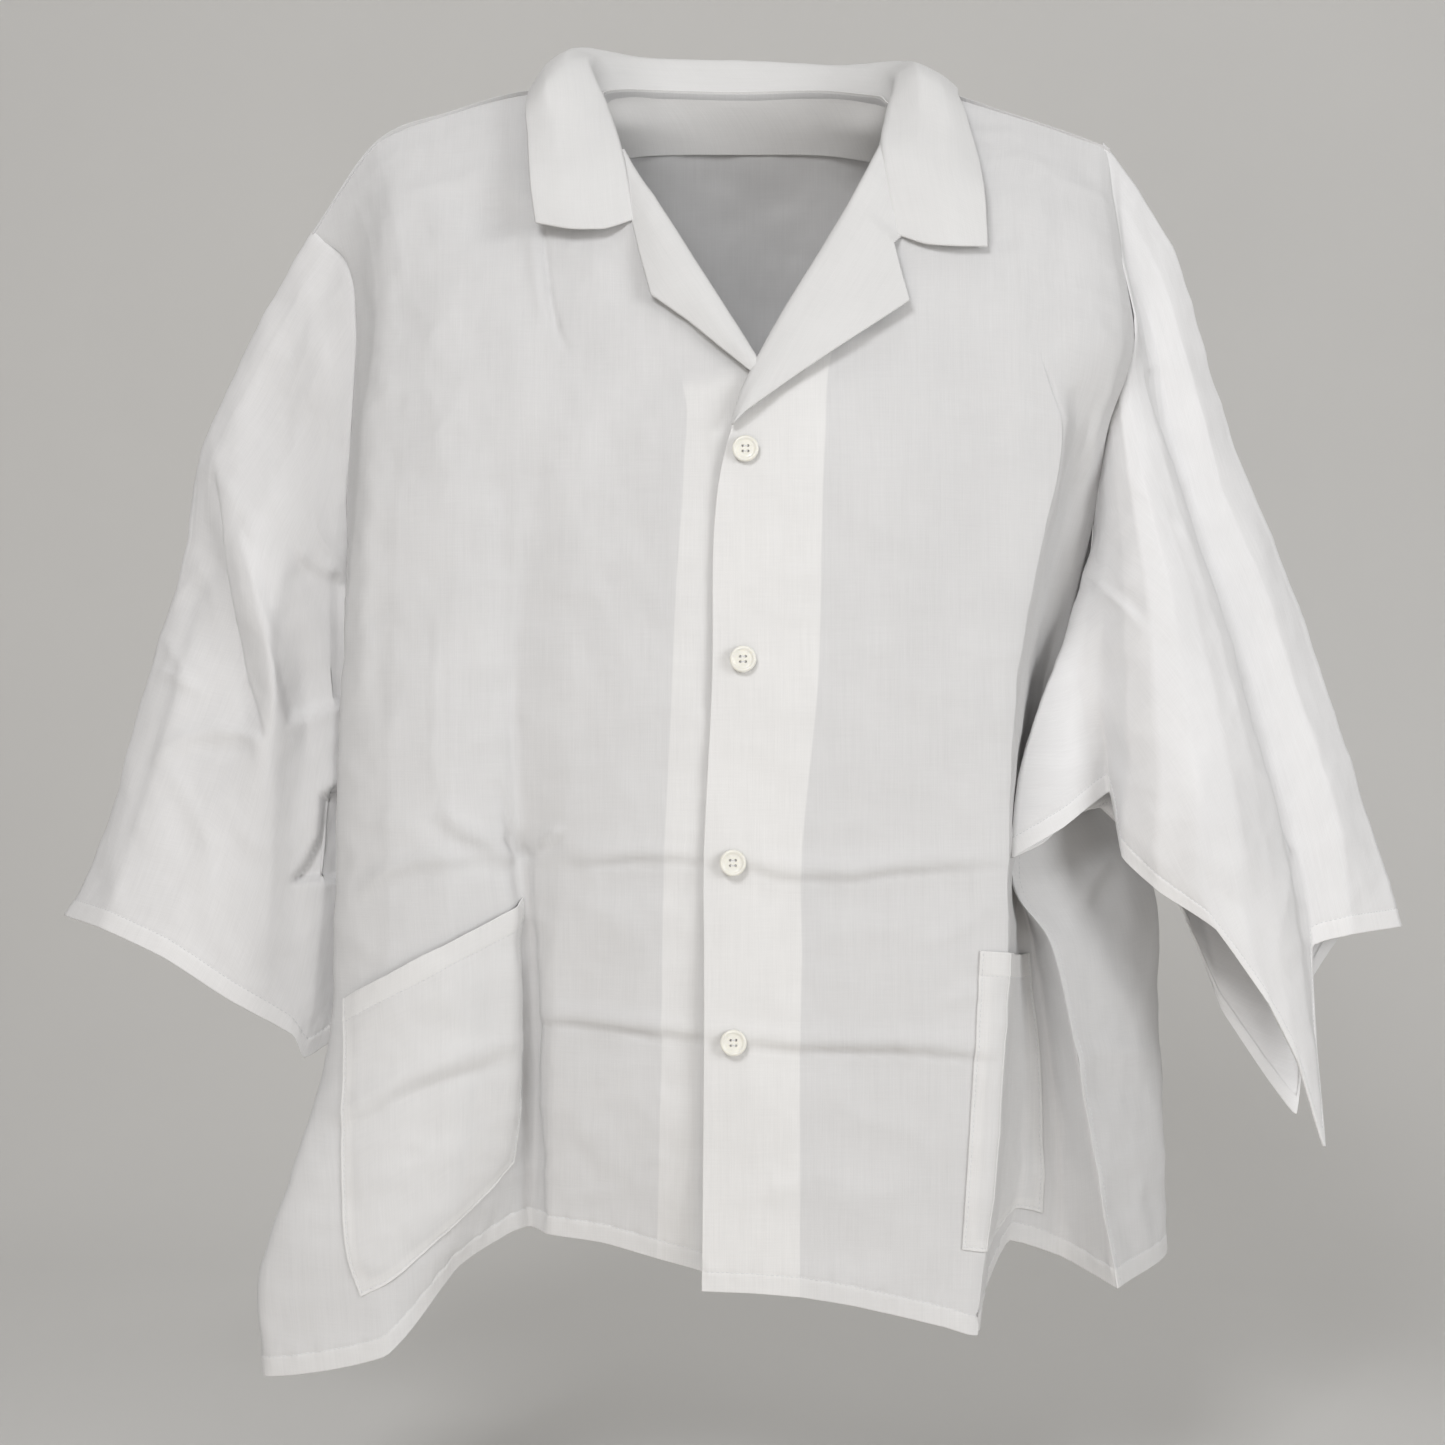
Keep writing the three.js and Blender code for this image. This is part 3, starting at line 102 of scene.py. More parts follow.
# rows run down, columns from the closing to the side
FRONT_RIGHT = [
    [(-89.95,-58.6,-2.86), (-99.65,-56.6,0.79), (-112.57,-54.6,3.16), (-128.67,-53.6,4.02),
     (-151.21,-52.6,0.39), (-167.27,-52.6,-3.46), (-189.74,-52.6,-10.52), (-212.22,-52.6,-18.23),
     (-234.81,-51.6,-28.94), (-255.51,-50.6,-57.02), (-276.37,-48.6,-86.24)],
    [(-70.08,-116.6,-71.44), (-80.07,-114.6,-74.16), (-92.66,-110.6,-75.28), (-109.66,-106.6,-75.78),
     (-130.49,-102.6,-75.03), (-145.7,-99.6,-74.48), (-169.65,-97.6,-77.24), (-195.01,-94.6,-81.07),
     (-217.66,-88.6,-85.02), (-235.91,-78.6,-92.73), (-251.97,-62.6,-107.19)],
    [(-31.38,-142.6,-121.51), (-46.67,-140.6,-127.91), (-62,-138.6,-133.7), (-86.6,-135.6,-137.53),
     (-111.39,-130.6,-139.22), (-126.88,-128.6,-140.15), (-150.42,-126.6,-141.08),
     (-179.85,-121.6,-142.79), (-206.79,-112.6,-145.18), (-227.51,-100.6,-147.17),
     (-244.29,-72.6,-148.84)],
    [(9.33,-156.6,-181.89), (-11.85,-157.6,-191.09), (-35.45,-156.6,-197.02), (-66.41,-153.6,-200.9),
     (-98.09,-150.6,-202.98), (-117.77,-146.6,-203.73), (-140.98,-145.6,-204.84),
     (-170.67,-140.6,-205.48), (-205.39,-130.6,-206.8), (-232.61,-114.6,-207.48),
     (-247.09,-70.6,-208.95)],
    [(20.69,-163.6,-240.05), (-8.24,-164.6,-244.36), (-34.74,-164.6,-249.18), (-64.35,-161.6,-251.92),
     (-97.73,-157.6,-254.6), (-123.53,-151.6,-255.29), (-140.52,-151.6,-256.51),
     (-171.15,-148.6,-258.68), (-208.78,-138.6,-260.3), (-236.79,-120.6,-261.29),
     (-251.07,-64.6,-259.33)],
    [(20.05,-165.6,-315.48), (-10.05,-167.6,-318.59), (-39.49,-168.6,-321.64), (-67.2,-166.6,-322.75),
     (-100.6,-160.6,-324.28), (-132.1,-150.6,-325.05), (-142.87,-152.6,-325.74),
     (-173.81,-152.6,-328.17), (-211.37,-142.6,-330.18), (-243.94,-122.6,-331.82),
     (-249.72,-50.6,-322.51)],
    [(18.83,-166.6,-399.76), (-11.85,-168.6,-402.76), (-43.1,-168.6,-405.77), (-72.01,-166.6,-406.98),
     (-103.67,-159.6,-408.81), (-135.28,-148.6,-410.68), (-144.69,-152.6,-411.88),
     (-176.45,-156.6,-416.69), (-213.71,-148.6,-422.84), (-247.99,-124.6,-429.31),
     (-244.19,-43.6,-428.69)],
    [(17.06,-164.6,-478.05), (-15.46,-166.6,-479.17), (-46.76,-165.6,-481.62), (-76.41,-161.6,-483.02),
     (-108.91,-152.6,-484.66), (-134.78,-138.6,-487.18), (-143.79,-148.6,-489.72),
     (-176.26,-158.6,-501.3), (-214.45,-152.6,-514.99), (-249.91,-128.6,-528.9),
     (-246.77,-43.6,-519.03)],
    [(15.92,-160.6,-544.65), (-19.09,-162.6,-545.68), (-48.08,-160.6,-547.06), (-78.5,-154.6,-548.79),
     (-113.08,-143.6,-550.96), (-132.42,-128.6,-553.5), (-139.37,-142.6,-555.32),
     (-173.24,-158.6,-568.99), (-212.76,-156.6,-587.35), (-253.7,-136.6,-603),
     (-251.27,-48.6,-586.28)],
    [(14.77,-156.6,-611.55), (-21.53,-157.6,-611.43), (-48.81,-154.6,-611.8), (-80.03,-146.6,-612.79),
     (-116.06,-134.6,-615.5), (-131.4,-116.6,-618.35), (-138.28,-132.6,-619.43),
     (-172.82,-156.6,-634.55), (-217.12,-160.6,-654.53), (-271.47,-144.6,-667.88),
     (-262.75,-58.6,-649.26)],
    [(13.65,-150.6,-679.09), (-24,-150.6,-677.88), (-50.25,-144.6,-675.2), (-82.88,-136.6,-672.19),
     (-118.52,-124.6,-669.76), (-131.33,-108.6,-670.37), (-140.25,-122.6,-672.54),
     (-172.79,-150.6,-698.53), (-221.95,-160.6,-726.97), (-293.41,-144.6,-737.97),
     (-276.97,-70.6,-711.18)],
    [(13.16,-142.6,-748.12), (-25.31,-138.6,-736.09), (-51.75,-132.6,-729.89), (-85.84,-124.6,-721.55),
     (-119.14,-114.6,-718.44), (-132.01,-98.6,-716.34), (-144.86,-110.6,-718.54),
     (-173.87,-132.6,-734.8), (-215.18,-156.6,-784.63), (-291.62,-140.6,-800.45),
     (-281.81,-80.6,-772.66)],
]

# rows run down, columns from the closing to the side
FRONT_LEFT = [
    [(97.57,-58.6,-7.98), (105.38,-56.6,-2.42), (116.41,-54.6,1.23), (131.25,-53.6,1.46),
     (150.59,-52.6,-3.46), (169.85,-52.6,-9.24), (189.23,-51.6,-14.8), (205.29,-51.6,-20.59),
     (219.55,-50.6,-25.52), (229.84,-50.6,-28.73), (237.83,-48.6,-32.82)],
    [(86,-116.6,-64.01), (96.66,-114.6,-66.1), (109.96,-110.6,-67.82), (126.89,-108.6,-69.93),
     (148.86,-106.6,-72.04), (169.2,-102.6,-72.54), (187.13,-98.6,-72.41), (203.51,-92.6,-71.29),
     (217.1,-84.6,-69.17), (229.31,-73.6,-65.84), (238.09,-60.6,-60.84)],
    [(49.16,-142.6,-121.51), (63.23,-141.6,-122.57), (79.82,-139.6,-123.47), (103.25,-136.6,-124.21),
     (131.22,-131.6,-124.63), (159.44,-125.6,-124.29), (184.76,-119.6,-122.71),
     (205.42,-112.6,-119.11), (221.65,-102.6,-113.74), (233.93,-90.6,-108.01),
     (241.86,-74.6,-101.55)],
    [(12.93,-158.6,-177.31), (32.3,-157.6,-177.18), (54.75,-155.6,-176.92), (83.99,-152.6,-176.52),
     (117.8,-146.6,-175.73), (151.95,-139.6,-174.2), (183.18,-133.6,-172.79),
     (205.89,-128.6,-171.52), (222.96,-120.6,-169.84), (237.03,-108.6,-167.62),
     (247.42,-88.6,-163.69)],
    [(-8.25,-168.6,-231.51), (20,-168.6,-231.51), (50.11,-166.6,-231.31), (80.41,-162.6,-230.91),
     (114.02,-156.6,-230.3), (147.86,-150.6,-228.49), (196.31,-136.6,-224.62),
     (206.41,-114.6,-222.36), (215.14,-104.6,-220.71), (223.16,-100.6,-219.68),
     (231.88,-82.6,-216.56)],
    [(-16.65,-171.6,-285.79), (13.93,-172.6,-285.86), (48.13,-171.6,-285.79), (78.28,-168.6,-285.59),
     (113.5,-163.6,-285.25), (147.3,-156.6,-284.77), (184.38,-144.6,-283.95),
     (194.06,-103.6,-281.14), (203.07,-80.6,-279.57), (215.72,-70.6,-276.34),
     (226.47,-56.6,-272.16)],
    [(-17.84,-172.6,-375.78), (13.9,-174.6,-375.81), (45.63,-174.6,-375.81), (75.72,-171.6,-375.77),
     (110.27,-166.6,-375.69), (140.8,-161.6,-375.62), (166.98,-153.6,-375.5),
     (175.21,-110.6,-376.09), (184.16,-68.6,-376.76), (192.93,-58.6,-379.18),
     (198.63,-64.6,-381.81)],
    [(-22.65,-170.6,-477.78), (6.14,-171.6,-477.74), (36.16,-170.6,-477.78), (68.07,-168.6,-477.87),
     (104.33,-165.6,-478.01), (134.68,-162.6,-478.15), (161.22,-156.6,-478.42),
     (166.32,-118.6,-481.38), (174.41,-76.6,-485.85), (177.79,-68.6,-488.77),
     (168.97,-92.6,-491.37)],
    [(-22.67,-168.6,-537.96), (6.17,-169.6,-537.88), (36.22,-168.6,-537.96), (68.16,-166.6,-538.12),
     (102.59,-164.6,-538.29), (132.87,-162.6,-538.45), (161.22,-156.6,-538.93),
     (166.32,-118.6,-543.24), (176.52,-68.6,-548.6), (188.45,-58.6,-548.14),
     (195.35,-92.6,-541.6)],
    [(-22.68,-166.6,-598.28), (6.2,-166.6,-598.28), (35.1,-165.6,-599.6), (66.5,-163.6,-601.04),
     (100.38,-161.6,-602.49), (130.71,-159.6,-603.93), (157.18,-154.6,-605.74),
     (163.63,-114.6,-610.54), (179.28,-66.6,-615.03), (198.05,-58.6,-614.7),
     (211.04,-92.6,-610.04)],
    [(-23.32,-160.6,-671.43), (6.26,-160.6,-672.64), (35.27,-159.6,-674.01), (65.56,-157.6,-675.54),
     (98.35,-155.6,-678.28), (127.58,-153.6,-681.03), (151.6,-149.6,-682.9),
     (159.68,-110.6,-685.6), (178.22,-64.6,-684.15), (204.69,-56.6,-686.7),
     (224.23,-92.6,-686.02)],
    [(-23.97,-154.6,-745.7), (6.32,-154.6,-746.91), (35.43,-153.6,-749.53), (65.79,-152.6,-754.59),
     (96.24,-150.6,-761.69), (123.73,-148.6,-768.8), (143.55,-144.6,-774.53),
     (151.35,-106.6,-754.77), (170.76,-62.6,-731.72), (206.21,-54.6,-743.46),
     (237.07,-90.6,-756.75)],
]

# rows run down, columns from the right side seam to the left one
BACK = [
    [(-276.37,-48.6,-86.24), (-234.88,-51.1,-28.83), (-186.58,-52.1,-9.45), (-135.13,-53.1,3.81),
     (-89.99,-57.6,-2), (-55.76,-16.6,11.68), (0.01,-0.6,12.62), (55.58,-16.6,11.68),
     (96.99,-57.6,-7.12), (131.29,-53.1,1.57), (169.9,-52.1,-9.13), (211.84,-50.6,-22.62),
     (237.83,-48.6,-32.82)],
    [(-257.98,-22.6,-104.56), (-231.44,1.4,-82.17), (-192.93,13.4,-63.47), (-140.23,21.4,-52),
     (-96.96,25.4,-47.91), (-56.86,29.4,-45.14), (0.21,31.4,-43.42), (57.26,29.4,-45.14),
     (99.31,25.4,-47.91), (137.18,21.4,-52), (176.68,15.4,-58.44), (215.2,3.4,-69.91),
     (244.38,-10.6,-90.8)],
    [(-248.79,-2.6,-145.54), (-227.58,25.4,-134.99), (-188.32,35.4,-123.47), (-141.46,39.4,-116.14),
     (-97.68,41.4,-113.14), (-57.17,42.4,-111.63), (0.28,43.4,-110.13), (57.73,42.4,-111.63),
     (100.25,41.4,-113.14), (138.6,39.4,-116.14), (178.79,36.4,-121.98), (218.12,27.4,-131.35),
     (242.07,1.4,-141.69)],
    [(-245.99,1.4,-201.21), (-224.91,31.4,-197.98), (-188.7,39.4,-193.75), (-141.73,43.4,-189.93),
     (-97.82,44.4,-188.46), (-57.22,44.4,-187.11), (0.29,44.4,-186.43), (57.8,44.4,-187.11),
     (100.43,44.4,-188.46), (138.92,43.4,-189.93), (179.19,40.4,-192.96), (220.87,33.4,-197.76),
     (235.98,-4.6,-201.85)],
    [(-245.79,-10.6,-255.06), (-227.58,25.4,-257.57), (-191.98,38.4,-259.28), (-141.73,43.4,-258.91),
     (-97.82,44.4,-257.48), (-57.22,44.4,-257.48), (0.29,44.4,-256.12), (57.8,44.4,-257.48),
     (100.43,44.4,-257.48), (138.92,43.4,-258.91), (182.67,41.4,-260.41), (225.25,25.4,-260.25),
     (231.49,-18.6,-242.61)],
    [(-249.72,-50.6,-322.51), (-230.12,1.4,-326.86), (-194.86,33.4,-332.31), (-141.66,42.4,-331.98),
     (-97.77,43.4,-330.59), (-57.2,43.4,-329.24), (0.28,43.4,-328.56), (57.77,43.4,-329.24),
     (100.37,43.4,-330.59), (145.6,42.4,-331.98), (195.64,36.4,-333.55), (227.73,13.4,-327.71),
     (223.93,-46.6,-296.57)],
    [(-244.19,-43.6,-428.69), (-225.06,3.4,-432.71), (-191.5,33.4,-436.58), (-141.59,41.4,-436.73),
     (-97.73,42.4,-434.72), (-57.17,42.4,-433.37), (0.28,42.4,-433.37), (57.73,42.4,-433.37),
     (101.67,42.4,-434.72), (152.19,40.4,-436.71), (209,35.4,-437.29), (240.25,17.4,-429.61),
     (198.63,-64.6,-381.81)],
    [(-246.77,-43.6,-519.03), (-226.38,3.4,-528.7), (-193.33,31.4,-533.98), (-141.53,40.4,-534.61),
     (-97.68,41.4,-533.33), (-57.15,41.4,-531.98), (0.27,41.4,-531.3), (57.69,41.4,-531.98),
     (104.98,41.4,-533.33), (158.76,38.4,-534.47), (226.25,33.4,-535.47), (273.41,7.4,-511.06),
     (170.23,-92.6,-491.37)],
    [(-251.27,-48.6,-586.28), (-231.44,1.4,-594.7), (-195.82,29.4,-599.63), (-141.46,39.4,-598.65),
     (-97.64,40.4,-596.73), (-57.13,40.4,-595.38), (0.27,40.4,-595.38), (57.66,40.4,-595.38),
     (106.95,40.4,-596.73), (162.04,37.4,-598.44), (232.05,31.4,-594.46), (276.11,3.4,-575.05),
     (195.35,-92.6,-541.6)],
    [(-262.75,-58.6,-649.26), (-238.77,-3.6,-655.52), (-200.99,27.4,-657.76), (-144.76,38.4,-654.53),
     (-97.59,39.4,-650.62), (-57.1,39.4,-649.27), (0.26,39.4,-649.27), (57.62,39.4,-649.27),
     (108.23,39.4,-650.62), (165.32,36.4,-652.24), (234.07,31.4,-648.22), (278.76,3.4,-637.94),
     (211.04,-92.6,-610.04)],
    [(-276.97,-70.6,-711.18), (-248.42,-10.6,-705.15), (-207.49,25.4,-697.68), (-148.06,37.4,-690.8),
     (-97.55,38.4,-686.91), (-57.08,38.4,-685.56), (0.25,38.4,-685.56), (57.59,38.4,-685.56),
     (109.52,38.4,-686.91), (168.59,35.4,-689.15), (236.75,31.4,-695.26), (281.4,3.4,-700.84),
     (224.23,-92.6,-686.02)],
    [(-281.81,-80.6,-772.66), (-253.94,-18.6,-749.63), (-211.29,23.4,-735.5), (-151.36,36.4,-725.68),
     (-97.5,37.4,-721.81), (-57.05,37.4,-720.46), (0.25,37.4,-720.46), (57.55,37.4,-720.46),
     (111.48,37.4,-721.81), (169.84,34.4,-724), (239.44,31.4,-732.22), (281.75,1.4,-748.79),
     (237.07,-90.6,-756.75)],
]

# each row is a closed loop round the sleeve; rows run from the armhole to the cuff
SLEEVE_RIGHT = [
    [(-276.37,-48.6,-86.24), (-265.87,-54.6,-94.98), (-255.71,-58.6,-102.7), (-247.22,-69.6,-126.15),
     (-244.16,-73.6,-161.67), (-246.96,-71.6,-209.06), (-251.2,-63.6,-259.26),
     (-252.83,-46.6,-299.79), (-247.91,-14.6,-258.66), (-245.74,-0.6,-198.12),
     (-249.45,-2.6,-145.54), (-258.52,-18.6,-106.53), (-268.98,-32.6,-91.9)],
    [(-303.71,-34.6,-125.96), (-291.17,-48.6,-135.79), (-279.34,-54.6,-146.29),
     (-266.73,-66.6,-163.92), (-255.72,-72.6,-193.29), (-252.18,-70.6,-228.02),
     (-251.34,-62.6,-278.33), (-250.78,-42.6,-315.71), (-250.53,-14.6,-281.6),
     (-256.57,1.4,-224.35), (-268.37,5.4,-177.58), (-284.06,-0.6,-141.97), (-296.43,-14.6,-127.53)],
    [(-327.49,-24.6,-171.4), (-316.02,-38.6,-182.86), (-301.47,-48.6,-196.93),
     (-282.93,-60.6,-214.27), (-265.17,-68.6,-234.19), (-255.76,-67.6,-259.57),
     (-251.6,-60.6,-300.57), (-248.19,-42.6,-338.31), (-254.2,-16.6,-311.21),
     (-267.54,-0.6,-267.48), (-286.56,7.4,-227.1), (-305.13,7.4,-190.61), (-319.73,-4.6,-174.17)],
    [(-353.75,-16.6,-228.03), (-346.24,-32.6,-238.62), (-330.72,-50.6,-258.23),
     (-307.51,-66.6,-272.24), (-280.15,-70.6,-285.24), (-260.36,-66.6,-304.09),
     (-251.23,-58.6,-335.66), (-247.16,-40.6,-373.79), (-259.06,-14.6,-353.73),
     (-277.74,1.4,-316.94), (-302.44,11.4,-283.24), (-326.05,13.4,-253.16), (-344.23,3.4,-232.77)],
    [(-365.65,-12.6,-294.6), (-349.2,-30.6,-298.89), (-327.1,-56.6,-321.49),
     (-307.46,-74.6,-321.02), (-281.12,-72.6,-331.09), (-260.36,-66.6,-351.88),
     (-251.5,-56.6,-380.44), (-247.42,-38.6,-419.06), (-261.29,-12.6,-402.9),
     (-281.33,3.4,-373.12), (-307.41,13.4,-346.35), (-334.55,16.4,-322.93), (-354.89,7.4,-303.4)],
    [(-383.52,-8.6,-354.89), (-361.7,-36.6,-362.07), (-314.59,-58.6,-381.74),
     (-295.4,-78.6,-376.89), (-277.52,-62.6,-386.89), (-259.36,-64.6,-406.04),
     (-251.12,-54.6,-428.52), (-246.13,-38.6,-464.35), (-262.88,-10.6,-452.18),
     (-286.26,5.4,-432.74), (-316.39,15.4,-409.59), (-347.09,19.4,-386.24), (-370.92,11.4,-363.03)],
    [(-407.19,-5.6,-435.85), (-383.32,-38.6,-441.06), (-335.99,-60.6,-450.8),
     (-304.31,-70.6,-455.62), (-280.75,-66.6,-463.38), (-262.91,-66.6,-476.13),
     (-252.03,-52.6,-489.55), (-246.39,-36.6,-516.25), (-264.47,-8.6,-511.44),
     (-291.86,7.4,-499.12), (-326.72,17.4,-482.97), (-360.81,21.4,-463.09), (-392.61,13.4,-444.86)],
    [(-428.72,-3.6,-499.86), (-402.3,-40.6,-505.65), (-358.75,-58.6,-519.98),
     (-320.25,-66.6,-538.57), (-288.39,-66.6,-562.14), (-271.48,-64.6,-568.7),
     (-255.51,-50.6,-553.94), (-249.24,-34.6,-552.04), (-268.69,-6.6,-567.53),
     (-298.81,9.4,-565.64), (-336.4,19.4,-543.15), (-375.91,23.4,-523.38), (-411.67,15.4,-507.54)],
    [(-445.21,-3.6,-528.22), (-412.64,-40.6,-534.1), (-368.35,-58.6,-551.98),
     (-325.35,-66.6,-578.07), (-285.69,-67.6,-599.62), (-278.01,-63.6,-614.75),
     (-259,-48.6,-602.37), (-252.1,-32.6,-587.92), (-272.64,-6.6,-610.33),
     (-301.46,9.4,-604.17), (-341.74,19.4,-581.21), (-385.27,23.4,-552.15), (-423,15.4,-534.19)],
]

# laid out like SLEEVE_RIGHT
SLEEVE_LEFT = [
    [(237.83,-48.6,-32.82), (238.09,-60.6,-60.84), (241.86,-74.6,-101.55), (244.94,-79.6,-118.2),
     (247.38,-84.6,-133.5), (249.6,-86.6,-146.41), (248.34,-86.6,-159.01), (244.22,-84.6,-173.87),
     (238.69,-83.6,-190.15), (233.28,-81.6,-208.87), (230.44,-74.6,-228.41), (227.97,-64.6,-251.68),
     (226.74,-54.6,-270.73), (229.52,-28.6,-249.98), (232.02,-14.6,-225.88), (235.05,-6.6,-198.77),
     (237.7,-1.6,-171.82), (240.09,1.4,-144.99), (242.46,-0.6,-115.54), (243.06,-10.6,-87.51),
     (241.23,-28.6,-58.03)],
    [(278.68,-38.6,-91.62), (268.41,-50.6,-110.37), (262.62,-50.6,-142.52), (262.02,-54.6,-162.33),
     (259.53,-62.6,-171.05), (256.11,-72.6,-178.68), (251.12,-80.6,-187.27), (245.19,-86.6,-198.07),
     (239.87,-88.6,-210.89), (235.39,-84.6,-226.86), (231.44,-76.6,-246.34), (228.61,-64.6,-266.99),
     (225.19,-56.6,-285.61), (230.17,-28.6,-276.01), (234.78,-13.6,-261.86), (240.59,-4.6,-241.4),
     (248.02,1.4,-221.05), (255.21,5.4,-194.15), (264.12,7.4,-160.75), (270.87,-0.6,-125.45),
     (276.29,-16.6,-99.66)],
    [(297.81,-32.6,-143.83), (290.27,-50.6,-174.66), (278.05,-54.6,-213.64), (276.45,-60.6,-224.5),
     (272.62,-72.6,-233.3), (265.98,-86.6,-237.13), (259.09,-94.6,-242.89), (251.92,-100.6,-250.93),
     (244.41,-100.6,-260.93), (237.76,-94.6,-273), (231.61,-84.6,-286.15), (225.63,-72.6,-298.07),
     (218.66,-62.6,-307.07), (230.68,-34.6,-308.84), (240.93,-16.6,-304.66), (251.8,-4.6,-290.84),
     (259.56,3.4,-273.82), (272.08,7.4,-247), (284.34,9.4,-213.63), (292.99,5.4,-180.89),
     (296.94,-10.6,-156.5)],
    [(325.25,-24.6,-228.13), (313.77,-48.6,-251.63), (302.72,-56.6,-284.33), (301.03,-62.6,-297.49),
     (296.06,-76.6,-307.8), (288.28,-92.6,-311.78), (278.76,-104.6,-316.13), (266.26,-112.6,-320.25),
     (252.6,-112.6,-325.21), (240.09,-104.6,-331.1), (228.27,-90.6,-338.08), (217.99,-82.6,-344.11),
     (205.46,-76.6,-347.72), (218.52,-48.6,-353.32), (235.92,-24.6,-357.24), (253.86,-8.6,-350.28),
     (268.46,5.4,-339.96), (285.67,9.4,-319.9), (302.61,11.4,-293.22), (313.57,9.4,-260.12),
     (321.68,-4.6,-238.11)],
    [(349.91,-18.6,-282.52), (339.9,-46.6,-315.89), (327.44,-54.6,-357.96), (326.31,-60.6,-374.09),
     (321.78,-74.6,-390.16), (311.77,-94.6,-394.67), (296.41,-110.6,-397.22), (276.44,-118.6,-398.48),
     (256.33,-116.6,-396), (239.8,-106.6,-390.98), (225.03,-86.6,-383.3), (207.64,-84.6,-388.33),
     (187.59,-94.6,-388.4), (204.04,-72.6,-400.94), (230.91,-42.6,-413.85), (255.05,-18.6,-415.98),
     (278.41,5.4,-409.54), (302.27,9.4,-396.28), (322.91,13.4,-372.97), (336.23,13.4,-333.04),
     (345.24,1.4,-297.1)],
    [(379.31,-12.6,-360.24), (364.56,-42.6,-389.96), (346.59,-48.6,-435.05), (346.68,-54.6,-460.59),
     (345.41,-70.6,-482.32), (329.72,-92.6,-476.3), (309.71,-112.6,-468), (283.18,-122.6,-458.36),
     (259.12,-118.6,-446.11), (241.34,-104.6,-429.64), (231.16,-78.6,-413.6), (204.63,-88.6,-423.6),
     (173.56,-108.6,-427.7), (192.04,-88.6,-442.48), (227,-52.6,-451.03), (259.69,-22.6,-468.17),
     (291.01,1.4,-478.97), (324.44,3.4,-482.36), (346.77,9.4,-459.38), (366.58,15.4,-409.59),
     (375.58,7.4,-379.7)],
    [(409.55,-6.6,-447.68), (388.04,-38.6,-470.82), (364.51,-36.6,-503.29), (364.79,-44.6,-551.22),
     (364.47,-64.6,-600.59), (339.7,-86.6,-552.16), (314.3,-104.6,-521.31), (283.3,-114.6,-498.92),
     (256.95,-112.6,-480.41), (238.79,-100.6,-457.2), (233.25,-72.6,-430.15), (201.63,-92.6,-446.78),
     (167.55,-118.6,-462.82), (187.59,-94.6,-466.18), (235.44,-56.6,-454.76), (282.2,-20.6,-512.03),
     (309.39,-14.6,-553.7), (358.91,-22.6,-608.52), (372.19,-2.6,-538.19), (396.13,13.4,-486.12),
     (405.22,9.4,-462.7)],
    [(435.96,-3.6,-535.48), (396.7,-34.6,-538.42), (371.18,-32.6,-546.37), (370.82,-46.6,-609.04),
     (373.19,-62.6,-674.25), (352.27,-80.6,-615.88), (330.59,-94.6,-577.19), (295.24,-106.6,-529.27),
     (261.29,-104.6,-506.97), (239.36,-96.6,-486.15), (235.07,-68.6,-444.86), (201.38,-94.6,-467.43),
     (166.11,-120.6,-484.99), (189.87,-96.6,-476.13), (236.08,-56.6,-439.38), (293.64,-18.6,-530.47),
     (315.59,-16.6,-589.55), (360.38,-34.6,-656.46), (372.75,-12.6,-573.55), (401.46,7.4,-537.6),
     (424.68,7.4,-533.62)],
]

